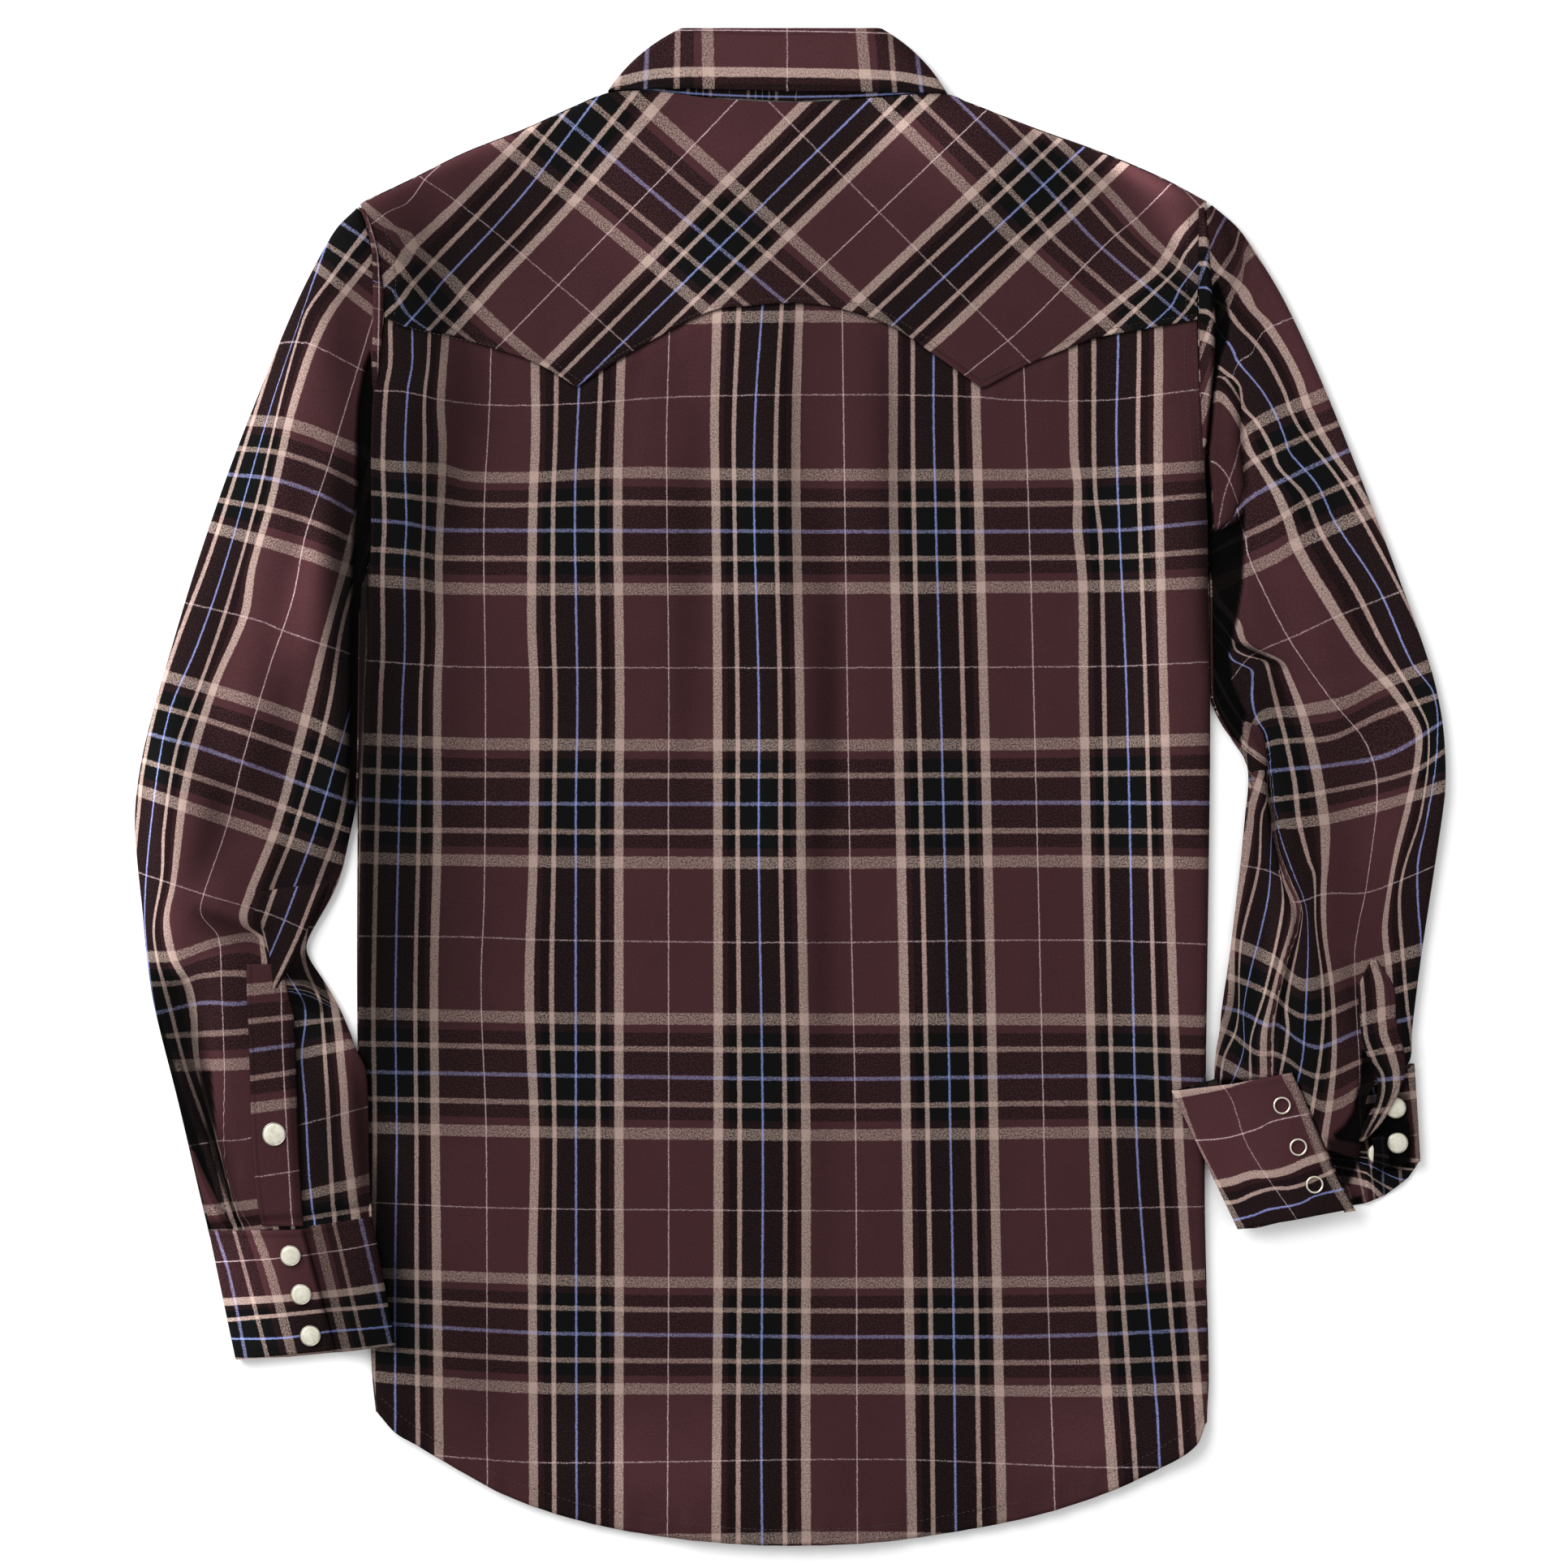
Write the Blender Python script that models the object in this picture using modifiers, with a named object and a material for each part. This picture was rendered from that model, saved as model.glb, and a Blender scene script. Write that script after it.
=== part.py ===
"""Western snap shirt, laid flat on its front with its back up.

Plan sizes are in millimetres: +X to the right, +Y towards the collar, measured from the middle
of the body. Heights are in millimetres above the surface that the shirt lies on. Every panel is
a grid laid out by a small function of two fractions and thickened inward to the cloth's wall.
"""

import math
from collections import namedtuple

import bmesh
import bpy
from mathutils import Vector

MM = 0.001

# Driving dimensions, in millimetres.
CLOTH = 1.2            # wall of every cloth piece
SEAM = 0.4             # gap that two sewn pieces keep
BODY_HALF = 235.0      # half the body's width
BODY_TOP = 5.4         # height of the back's outer face
CENTRE_RISE = 1.0      # the back stands this much higher over the centre band
SLEEVE_TOP = 5.4       # height of a sleeve's upper face
FOLD_REACH = 4.5       # how far a side fold rounds in from its edge
SIDE_SEAM_BACK = 3.2   # height of the back's edge along a side fold
SIDE_SEAM_FRONT = 2.3  # height of the front's edge along a side fold
UNDERARM = 126.0       # where the armhole ends and the side fold starts
BAND_HALF = 17.5       # half the width of the centre band
BAND_Z = 2.1           # outer face of the centre band, above the snaps' caps
OVERLAP_Z = 3.6        # outer face of the right front where it runs inside the band
WING_Z = 1.8           # outer face of the fronts over the collar's wings
FRONT_SHORTER = 16.0   # the fronts end this far above the back's hem
HEM_DROP = 1.6         # the back settles by this much past the fronts' hems
LEFT_CLIMB = 5.8       # the left sleeve's end climbs over the body's side fold
RIGHT_CLIMB = 1.6      # the right sleeve's end climbs on to the cuff beneath it
REST = 0.3             # gap between a snap and the cloth that it sits on
SNAP_RADIUS = 5.85
SNAP_HEIGHT = 1.8
SNAP_SIDES = 10
RING_RADIUS = 4.7
RING_WIRE = 0.55
FRONT_SNAPS = 7

FOLD_STEPS = (0.0, 0.15, 1.0, 2.4, FOLD_REACH)      # distances in from a side fold
SLEEVE_STEPS = (0.0, 0.4, 1.8, FOLD_REACH)          # the same on a sleeve

Material = namedtuple("Material", "name colour roughness metallic")
MAROON = Material("plaid_cloth", (0.065, 0.027, 0.030), 0.85, 0.0)
PEARL = Material("pearl_snap", (0.72, 0.70, 0.60), 0.25, 0.0)
METAL = Material("snap_ring", (0.70, 0.66, 0.56), 0.3, 1.0)

Edge = namedtuple("Edge", "y left right")
BODY_EDGES = (
    Edge(324.0, -234.5, 234.5),    # shoulder tips
    Edge(304.0, -229.0, 231.8),
    Edge(280.0, -223.0, 229.6),
    Edge(259.0, -220.6, 229.0),    # ends of the yoke seam
    Edge(220.0, -226.5, 230.0),
    Edge(190.0, -228.0, 232.0),
    Edge(158.0, -228.0, 234.3),
    Edge(126.0, -228.6, 235.0),    # underarms
    Edge(108.0, -233.6, 235.2),
    Edge(40.0, -235.0, 235.8),
    Edge(-5.0, -235.0, 235.5),
    Edge(-144.0, -235.0, 233.6),
    Edge(-230.0, -231.5, 232.8),
    Edge(-324.0, -227.0, 235.0),
    Edge(-350.0, -224.5, 234.0),
)

Point = namedtuple("Point", "x y")
SHOULDERS = (                      # the fold over the shoulders and the back of the neck
    Point(-234.5, 322.5), Point(-204.0, 337.0), Point(-177.0, 350.5), Point(-143.0, 364.0),
    Point(-112.0, 378.0), Point(-97.0, 384.0), Point(-73.0, 385.0), Point(-39.0, 381.0),
    Point(4.5, 378.7), Point(48.0, 381.0), Point(74.0, 383.2), Point(92.0, 383.0),
    Point(104.0, 378.0), Point(140.0, 364.0), Point(176.0, 351.0), Point(209.0, 337.0),
    Point(234.5, 323.5),
)
YOKE_POINT_LEFT = Point(-113.9, 221.2)
YOKE_POINT_RIGHT = Point(110.3, 220.3)
YOKE_SEAM_LEFT = (
    Point(-221.4, 259.9), Point(-209.7, 254.5), Point(-185.4, 250.4), Point(-158.0, 241.9),
    Point(-135.5, 234.2), YOKE_POINT_LEFT,
)
YOKE_SEAM_MIDDLE = (
    YOKE_POINT_LEFT, Point(-89.0, 237.4), Point(-63.0, 252.2), Point(-39.0, 263.5),
    Point(-16.7, 266.2), Point(0.5, 267.5), Point(20.3, 266.6), Point(35.6, 263.5),
    Point(59.9, 254.9), Point(82.4, 240.0), YOKE_POINT_RIGHT,
)
YOKE_SEAM_RIGHT = (
    YOKE_POINT_RIGHT, Point(137.3, 234.7), Point(150.8, 240.0), Point(172.8, 248.2),
    Point(198.0, 253.0), Point(228.6, 258.5),
)
HEM = (
    Point(-224.5, -346.0), Point(-215.0, -357.0), Point(-202.0, -365.0), Point(-180.0, -378.0),
    Point(-154.0, -392.0), Point(-117.0, -405.0), Point(-74.0, -414.0), Point(-26.0, -418.7),
    Point(0.0, -419.6), Point(40.0, -418.7), Point(74.0, -415.6), Point(133.0, -405.0),
    Point(176.0, -392.0), Point(207.0, -378.0), Point(229.0, -364.0), Point(234.0, -352.0),
)
FRONT_NECK = (                     # half the front neckline, x measured from the middle
    Point(17.5, 317.0), Point(30.0, 319.0), Point(50.0, 326.0), Point(72.0, 341.0),
    Point(88.0, 362.0), Point(97.0, 383.0),
)
WING_REACH = (                     # where the fronts start to climb over the collar's wings
    Point(0.0, 250.0), Point(72.0, 248.0), Point(86.0, 292.0), Point(97.0, 340.0),
    Point(108.0, 395.0),
)

# Columns across the body, as distances from the middle.
INNER_COLUMNS = (-205.0, -160.0, YOKE_POINT_LEFT.x, -80.0, -50.0, -22.0,
                 22.0, 50.0, 80.0, YOKE_POINT_RIGHT.x, 160.0, 205.0)
FRONT_COLUMNS = (205.0, 165.0, 128.0, 110.0, 98.0, 85.0, 70.0, 55.0, 40.0, 29.0)
YOKE_ROWS = (0.0, 0.25, 0.5, 0.75, 1.0)
BACK_ROWS = (0.0, 0.025, 0.05, 0.08, 0.115, 0.15, 0.185, 0.2206, 0.2437, 0.30, 0.36, 0.42,
             0.49, 0.56, 0.63, 0.70, 0.77, 0.84, 0.90, 0.95, 0.98, 1.0)

Fold = namedtuple("Fold", "x0 y0 x1 y1 width height")
BACK_FOLDS = (
    Fold(-60.0, 225.0, -88.0, 60.0, 12.0, -0.7),
    Fold(60.0, 230.0, 84.0, 70.0, 12.0, -0.7),
    Fold(-190.0, 200.0, -196.0, 20.0, 12.0, -0.6),
    Fold(196.0, 200.0, 190.0, 40.0, 12.0, -0.6),
    Fold(-95.0, -40.0, -100.0, -330.0, 16.0, 0.5),
    Fold(104.0, -60.0, 120.0, -330.0, 16.0, 0.5),
)
SLEEVE_FOLDS_LEFT = (
    Fold(-233.5, 245.0, -236.5, 150.0, 4.5, -2.2),      # trough beside the armhole
    Fold(-286.0, -78.0, -281.0, -102.0, 4.5, 1.6),      # the fold that hangs over the elbow
    Fold(-281.0, -102.0, -246.0, -50.0, 5.0, 2.0),
    Fold(-318.0, -68.0, -285.0, -82.0, 7.0, -1.6),
    Fold(-334.0, -178.0, -303.0, -243.0, 4.0, -2.2),    # pleats into the cuff
    Fold(-315.0, -196.0, -298.0, -243.0, 4.0, -2.2),
    Fold(-290.0, 150.0, -322.0, 30.0, 12.0, 1.2),
)
SLEEVE_FOLDS_RIGHT = (
    Fold(247.0, 140.0, 247.0, 75.0, 6.0, -2.6),         # hollow under the arm
    Fold(240.0, 250.0, 243.0, 175.0, 4.5, -2.2),
    Fold(256.0, 215.0, 262.0, 150.0, 5.0, 2.0),
    Fold(268.0, 70.0, 290.0, 60.0, 6.0, 2.2),           # creases in the elbow
    Fold(259.0, 50.0, 266.0, 10.0, 6.0, -1.8),
    Fold(263.0, 0.0, 282.0, -66.0, 5.0, 2.0),
    Fold(281.0, -50.0, 272.0, -140.0, 5.0, 2.2),
    Fold(292.0, -60.0, 285.0, -140.0, 5.0, -1.6),
)

# A sleeve's outer and inner edges in plan, and the heights that each crosswise thread joins:
# `along` is the distance down the cloth from the first blue thread of the cap.
Row = namedtuple("Row", "along outer_y inner_y")
OUTER_LEFT = (
    Point(-236.6, 320.0), Point(-246.6, 310.3), Point(-255.0, 296.8), Point(-268.7, 269.8),
    Point(-285.8, 229.3), Point(-306.9, 175.3), Point(-325.4, 121.3), Point(-341.6, 67.3),
    Point(-352.8, 26.8), Point(-357.8, -0.2), Point(-359.1, -20.0), Point(-357.8, -40.7),
    Point(-355.0, -67.7), Point(-352.4, -94.7), Point(-348.3, -121.7), Point(-334.8, -175.7),
    Point(-322.2, -229.7), Point(-318.6, -244.6),
)
INNER_LEFT = (
    Point(-229.0, UNDERARM), Point(-234.8, 112.0), Point(-236.6, 90.0), Point(-237.2, 40.0),
    Point(-237.4, -5.0), Point(-240.0, -27.0), Point(-247.0, -54.0), Point(-261.5, -81.0),
    Point(-264.0, -88.0), Point(-262.4, -95.0), Point(-254.0, -108.0), Point(-246.0, -122.0),
    Point(-240.3, -135.0), Point(-236.6, -144.0), Point(-231.0, -155.0), Point(-229.5, -171.0),
    Point(-228.6, -216.0), Point(-227.3, -237.0),
)
ROWS_LEFT = (
    Row(-16.0, 320.0, 319.5), Row(0.0, 310.0, 300.0), Row(31.5, 287.0, 261.7),
    Row(75.4, 246.8, 229.3), Row(119.0, 202.0, 183.4), Row(150.8, 173.5, 148.0),
    Row(182.0, 144.7, 119.5), Row(226.0, 102.4, 72.7), Row(269.5, 62.0, 23.0),
    Row(301.5, 30.0, -9.0), Row(333.0, 0.0, -37.0), Row(377.0, -47.5, -80.0),
    Row(420.5, -94.7, -90.0), Row(452.0, -125.0, -118.0), Row(483.7, -154.0, -143.0),
    Row(527.6, -193.7, -176.6), Row(571.0, -234.0, -225.0), Row(583.0, -244.4, -236.4),
)
LOWER_LEFT = (205, 226, 248, 270, 292, 313, 334, 355, 372, 386, 405, 422, 437, 452, 468, 484,
              505, 527, 550, 571, 583)

OUTER_RIGHT = (
    Point(237.0, 322.5), Point(251.1, 310.3), Point(261.0, 296.8), Point(277.2, 269.8),
    Point(296.1, 229.3), Point(318.2, 175.3), Point(338.9, 121.3), Point(358.2, 67.3),
    Point(364.5, 40.3), Point(366.6, 20.0), Point(366.8, -0.2), Point(365.4, -13.7),
    Point(361.4, -40.7), Point(353.3, -94.7), Point(348.3, -135.0), Point(343.5, -150.0),
    Point(335.0, -159.0), Point(325.0, -168.0), Point(321.0, -193.7), Point(318.0, -206.0),
)
INNER_RIGHT = (
    Point(235.5, UNDERARM), Point(236.6, 110.0), Point(237.2, 49.3), Point(240.3, 40.3),
    Point(248.0, 26.8), Point(256.4, 13.3), Point(257.4, -0.2), Point(256.0, -13.7),
    Point(253.4, -40.7), Point(247.0, -94.7), Point(243.0, -121.7), Point(239.4, -146.0),
    Point(243.0, -156.0), Point(255.0, -165.0), Point(263.0, -180.0), Point(267.8, -190.0),
)
ROWS_RIGHT = (
    Row(-45.0, 322.0, 319.5), Row(0.0, 315.7, 275.6), Row(31.5, 297.7, 247.3),
    Row(75.4, 259.4, 217.0), Row(119.0, 215.8, 184.3), Row(150.8, 186.0, 148.3),
    Row(182.0, 152.8, 110.0), Row(226.0, 109.0, 67.3), Row(269.5, 67.3, 40.3),
    Row(301.5, 35.8, 13.3), Row(333.0, 1.0, -22.7), Row(377.0, -44.0, -41.6),
    Row(420.5, -90.0, -85.7), Row(452.0, -127.6, -121.7), Row(483.7, -152.0, -146.0),
    Row(527.6, -190.0, -178.0), Row(545.0, -206.0, -190.0),
)
LOWER_RIGHT = (204, 226, 246, 262, 280, 301, 318, 334, 355, 377, 400, 420, 436, 452, 468, 484,
               500, 514, 528, 545)

# A sleeve's band in plan: its two long edges at several heights.
BAND_LEFT = (
    Edge(-113.0, -296.5, -274.0), Edge(-124.0, -296.0, -271.0), Edge(-136.0, -295.5, -270.2),
    Edge(-149.0, -295.0, -269.6), Edge(-194.0, -293.6, -268.2), Edge(-226.0, -291.0, -266.4),
    Edge(-240.5, -288.6, -265.6),
)
BAND_RIGHT = (
    Edge(-95.5, 325.0, 328.0), Edge(-110.5, 318.2, 337.5), Edge(-128.5, 319.0, 338.8),
    Edge(-139.7, 320.0, 341.4), Edge(-149.0, 323.0, 343.0), Edge(-160.0, 328.0, 342.0),
    Edge(-167.0, 329.6, 339.0),
)

# A cuff or collar is a ribbon: lines across it, each with its sewn end, its free end and the
# height of its outer face. Where `fold` is true the ribbon turns over along that line.
Line = namedtuple("Line", "top low z fold")
CUFF_LEFT = (
    Line(Point(-265.5, -245.0), Point(-248.0, -311.6), 5.7, False),    # overlapping end
    Line(Point(-318.2, -245.6), Point(-303.3, -317.0), 0.0, True),
    Line(Point(-290.0, -245.4), Point(-275.0, -316.0), 0.0, False),
    Line(Point(-262.0, -241.5), Point(-244.0, -313.0), 0.0, False),
    Line(Point(-227.3, -237.4), Point(-214.2, -308.4), 0.0, True),
    Line(Point(-262.0, -243.2), Point(-244.0, -312.2), 4.2, False),
    Line(Point(-275.0, -245.2), Point(-258.0, -313.0), 4.2, False),    # end underneath
)
CUFF_RIGHT = (
    Line(Point(284.8, -160.9), Point(312.8, -232.9), 9.3, False),      # folded end with rings
    Line(Point(250.0, -166.0), Point(283.0, -240.0), 9.3, False),
    Line(Point(217.4, -169.0), Point(254.2, -245.4), 0.0, True),
    Line(Point(236.0, -169.0), Point(262.0, -244.0), 5.7, False),
    Line(Point(252.0, -168.0), Point(275.0, -241.5), 0.0, False),
    Line(Point(303.8, -160.0), Point(308.3, -233.3), 0.0, False),
    Line(Point(334.0, -154.2), Point(332.0, -222.0), 0.0, False),
    Line(Point(349.7, -153.2), Point(353.0, -206.0), 0.0, True),
    Line(Point(333.0, -165.0), Point(324.0, -212.0), 5.4, False),      # end with pearl caps
)
COLLAR_FALL = (
    Line(Point(-6.0, 343.0), Point(-66.0, 268.0), 0.0, False),
    Line(Point(-34.0, 371.0), Point(-86.0, 322.0), 0.0, False),
    Line(Point(-57.5, 419.6), Point(-97.0, 385.4), 0.0, True),
    Line(Point(-28.0, 419.6), Point(-48.0, 386.2), 6.9, False),
    Line(Point(0.0, 419.6), Point(4.0, 384.6), 6.9, False),
    Line(Point(28.0, 419.6), Point(48.0, 384.4), 6.9, False),
    Line(Point(55.0, 419.6), Point(91.0, 383.4), 0.0, True),
    Line(Point(34.0, 371.0), Point(86.0, 322.0), 0.0, False),
    Line(Point(6.0, 343.0), Point(66.0, 268.0), 0.0, False),
)
COLLAR_STAND = (
    Line(Point(-1.0, 347.0), Point(-1.0, 318.0), WING_Z, False),
    Line(Point(-16.0, 349.0), Point(-17.5, 317.6), WING_Z, False),
    Line(Point(-30.0, 362.0), Point(-50.0, 326.8), WING_Z, False),
    Line(Point(-40.0, 384.0), Point(-72.0, 342.0), WING_Z, False),
    Line(Point(-54.0, 415.5), Point(-92.0, 386.8), WING_Z, True),
    Line(Point(-45.0, 417.6), Point(-73.0, 385.8), 5.1, False),
    Line(Point(-24.0, 417.8), Point(-39.0, 381.8), 5.1, False),
    Line(Point(2.0, 417.8), Point(4.5, 379.5), 5.1, False),
    Line(Point(26.0, 417.8), Point(48.0, 381.8), 5.1, False),
    Line(Point(43.0, 417.6), Point(74.0, 384.0), 5.1, False),
    Line(Point(51.5, 415.5), Point(86.6, 384.8), WING_Z, True),
    Line(Point(38.0, 384.0), Point(72.0, 342.0), WING_Z, False),
    Line(Point(30.0, 362.0), Point(50.0, 326.8), WING_Z, False),
    Line(Point(16.0, 349.0), Point(17.5, 317.6), WING_Z, False),
    Line(Point(1.0, 347.0), Point(1.0, 318.0), WING_Z, False),
)
RIBBON_REACH = 4.0                               # how far a ribbon's fold rounds in
RIBBON_TURNS = (-90, -60, -30, 0, 30, 60, 90)    # degrees round a ribbon's fold
RIBBON_STEP = 14.0                               # longest stretch between a ribbon's lines
RIBBON_ROWS = (0.0, 0.34, 0.67, 1.0)

SNAPS_ON_LEFT_CUFF = (Point(-272.5, -259.2), Point(-266.6, -280.6), Point(-261.5, -303.5))
SNAP_ON_LEFT_BAND = Point(-281.9, -192.8)
SNAPS_ON_RIGHT_CUFF = (Point(341.1, -177.5), Point(342.0, -196.9), Point(329.0, -203.0))
RINGS_ON_RIGHT_CUFF = (Point(277.2, -177.5), Point(286.2, -200.5), Point(295.2, -221.2))
FRONT_SNAP_TOP = 296.0
FRONT_SNAP_PITCH = 92.0


def ramp(value, start, end):
    """Smooth 0 to 1 as `value` goes from `start` to `end`."""
    part = min(1.0, max(0.0, (value - start) / (end - start)))
    return part * part * (3.0 - 2.0 * part)


def mix(low, high, part):
    return low + (high - low) * part


def curve(rows, key, value, at):
    """Column `value` of a table where column `key` reads `at`, on one smooth curve."""
    points = sorted((getattr(row, key), getattr(row, value)) for row in rows)
    if at <= points[0][0]:
        return points[0][1]
    if at >= points[-1][0]:
        return points[-1][1]
    last = len(points) - 1
    index = max(i for i in range(last) if points[i][0] <= at)

    def slope(i):
        before, after = points[max(i - 1, 0)], points[min(i + 1, last)]
        return (after[1] - before[1]) / (after[0] - before[0])

    (x0, y0), (x1, y1) = points[index], points[index + 1]
    span = x1 - x0
    t = (at - x0) / span
    return ((1 + 2 * t) * (1 - t) ** 2 * y0 + t * (1 - t) ** 2 * span * slope(index)
            + t * t * (3 - 2 * t) * y1 + t * t * (t - 1) * span * slope(index + 1))


def rounding(distance, reach=FOLD_REACH):
    """Height gained, 0 to 1, at a distance in from a rounded fold."""
    left_over = 1.0 - min(1.0, max(0.0, distance / reach))
    return math.sqrt(1.0 - left_over * left_over)


def creases(folds, x, y):
    """Sum of the soft ridges and troughs at a place."""
    total = 0.0
    for fold in folds:
        run = Vector((fold.x1 - fold.x0, fold.y1 - fold.y0))
        part = (Vector((x - fold.x0, y - fold.y0)).dot(run)) / run.length_squared
        inside = min(1.0, max(0.0, part))
        away = math.hypot(x - fold.x0 - inside * run.x, y - fold.y0 - inside * run.y)
        taper = min(1.0, 0.35 + 4.0 * inside * (1.0 - inside))
        total += fold.height * taper * math.exp(-(away / fold.width) ** 2)
    return total


# The body's plan.

def edge_x(side, y):
    return curve(BODY_EDGES, "y", side, y)


def body_x(u, y):
    """Place across the body: 0 at the left edge and 1 at the right one."""
    left, right = edge_x("left", y), edge_x("right", y)
    return (mix(-BODY_HALF, BODY_HALF, u) + (1 - u) ** 8 * (left + BODY_HALF)
            + u ** 8 * (right - BODY_HALF))


def across(x):
    return (x + BODY_HALF) / (2 * BODY_HALF)


def shoulder_y(x):
    return curve(SHOULDERS, "x", "y", x)


def hem_y(x):
    return curve(HEM, "x", "y", x)


def yoke_y(x):
    """The yoke's lower seam, with its two points."""
    if x < YOKE_POINT_LEFT.x:
        return curve(YOKE_SEAM_LEFT, "x", "y", x)
    if x < YOKE_POINT_RIGHT.x:
        return curve(YOKE_SEAM_MIDDLE, "x", "y", x)
    return curve(YOKE_SEAM_RIGHT, "x", "y", x)


def side_closed(y):
    """0 along an armhole, where the panels are cut, and 1 along a side fold."""
    return ramp(UNDERARM - y, 0.0, 12.0)


def shoulder_rounding(x, y):
    """Rounding over the shoulder fold; the neckline between the shoulders is cut, not folded."""
    on_neck = ramp(abs(x), 104.0, 97.0)
    return max(on_neck, rounding(shoulder_y(x) - y))


def side_rounding(x, y):
    distance = min(x - edge_x("left", y), edge_x("right", y) - x)
    return mix(1.0, rounding(distance), side_closed(y))


def back_height(x, y):
    """Outer face of the back and the yoke."""
    top = BODY_TOP + CENTRE_RISE * ramp(abs(x), 50.0, 24.0)
    top += creases(BACK_FOLDS, x, y) * ramp(BODY_HALF - abs(x), 8.0, 30.0)
    clear = ramp(abs(x), 46.0, 72.0) * ramp(BODY_HALF - abs(x), 12.0, 34.0)
    top -= HEM_DROP * clear * ramp(y - hem_y(x), 26.0, 4.0)
    return mix(SIDE_SEAM_BACK, top, side_rounding(x, y) * shoulder_rounding(x, y))


def body_columns():
    """Fractions across the body: close together round each side fold."""
    near = [step / (2 * BODY_HALF) for step in FOLD_STEPS]
    return near + [across(x) for x in INNER_COLUMNS] + [1 - u for u in reversed(near)]


def yoke_place(u, row):
    """A row is its drop below the shoulder fold and its fraction of the way to the seam."""
    drop, part = row
    top = shoulder_y(body_x(u, 330.0)) - drop
    y = mix(top, yoke_y(body_x(u, 250.0)), part)
    x = body_x(u, y)
    return x, y, back_height(x, y)


def back_place(u, part):
    top = yoke_y(body_x(u, 250.0)) - SEAM
    y = mix(top, hem_y(body_x(u, -352.0)), part)
    x = body_x(u, y)
    return x, y, back_height(x, y)


def side_rows(u):
    """Heights of the yoke's and the back's rows at the body's left (0) or right (1) edge."""
    yoke = [yoke_place(u, (FOLD_REACH, part))[1] for part in YOKE_ROWS]
    return yoke + [back_place(u, part)[1] for part in BACK_ROWS[1:]]


def front_outline(x):
    """Top edge of a front: the shoulder fold, then the neckline."""
    if abs(x) < FRONT_NECK[-1].x:
        return curve(FRONT_NECK, "x", "y", abs(x))
    return shoulder_y(x)


def front_height(x, y, overlap):
    """Outer face of a front, over the collar's wings and up to the centre band."""
    wings = WING_Z * ramp(y - curve(WING_REACH, "x", "y", abs(x)), 0.0, 14.0)
    centre = overlap * ramp(abs(x), 44.0, 21.0)
    rounded = side_rounding(x, y) * shoulder_rounding(x, y)
    return mix(SIDE_SEAM_FRONT, max(wings, centre), rounded)


def front_columns(side):
    near = [BODY_HALF - step for step in FOLD_STEPS]
    inner = [BAND_HALF + SEAM] if side < 0 else [19.0, 6.0, -8.0, -BAND_HALF]
    return near + list(FRONT_COLUMNS) + inner


def front_rows():
    return [(drop, None) for drop in FOLD_STEPS[:-1]] + [
        (FOLD_REACH, i) for i in range(len(YOKE_ROWS) + len(BACK_ROWS) - 1)]


def front_place(side, distance, row):
    """`distance` is measured from the middle towards the panel's own side fold."""
    overlap = BAND_Z if side < 0 else OVERLAP_Z
    rows = side_rows(0.0 if side < 0 else 1.0)
    u = across(side * distance)
    drop, index = row
    top = front_outline(body_x(u, 330.0)) - drop
    edge_share = ramp(BODY_HALF - distance, 0.0, 60.0)
    bottom = hem_y(body_x(u, -352.0)) + FRONT_SHORTER * edge_share
    part = 0.0 if index is None else (rows[0] - rows[index]) / (rows[0] - rows[-1])
    y = mix(top, bottom, part)
    x = body_x(u, y)
    return x, y, front_height(x, y, overlap)


# The sleeves' plan.

def left_rise(x, y):
    """The left sleeve and cuff climb over the body's side fold below the elbow."""
    edge = edge_x("left", y)
    return LEFT_CLIMB * ramp(y, -136.0, -150.0) * ramp(x, edge - 24.0, edge - 2.0)


def right_rise(_, y):
    """The right sleeve's end climbs on to the cuff that lies under it."""
    return RIGHT_CLIMB * ramp(y, -134.0, -148.0)


def flat(_x, _y):
    return 0.0


Sleeve = namedtuple("Sleeve", "side edge outer inner rows lower folds rise")
LEFT = Sleeve(-1, "left", OUTER_LEFT, INNER_LEFT, ROWS_LEFT, LOWER_LEFT, SLEEVE_FOLDS_LEFT,
              left_rise)
RIGHT = Sleeve(1, "right", OUTER_RIGHT, INNER_RIGHT, ROWS_RIGHT, LOWER_RIGHT,
               SLEEVE_FOLDS_RIGHT, right_rise)


def sleeve_rows(sleeve):
    """Distances down the sleeve's cloth: level with the body's rows as far as the underarm."""
    edge = side_rows(0.0 if sleeve.side < 0 else 1.0)
    cap = [curve(sleeve.rows, "inner_y", "along", y) for y in edge if y > UNDERARM - 18.0]
    return cap + [along for along in sleeve.lower if along > cap[-1] + 8.0]


def sleeve_ends(sleeve, along):
    """The inner and outer ends, in plan, of the crosswise thread at `along`."""
    outer_y = curve(sleeve.rows, "along", "outer_y", along)
    inner_y = curve(sleeve.rows, "along", "inner_y", along)
    outer = Vector((curve(sleeve.outer, "y", "x", outer_y), outer_y))
    if inner_y > UNDERARM - 1.0:
        inner_x = edge_x(sleeve.edge, inner_y) + sleeve.side * SEAM
    else:
        inner_x = curve(sleeve.inner, "y", "x", inner_y)
    return Vector((inner_x, inner_y)), outer


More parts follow.
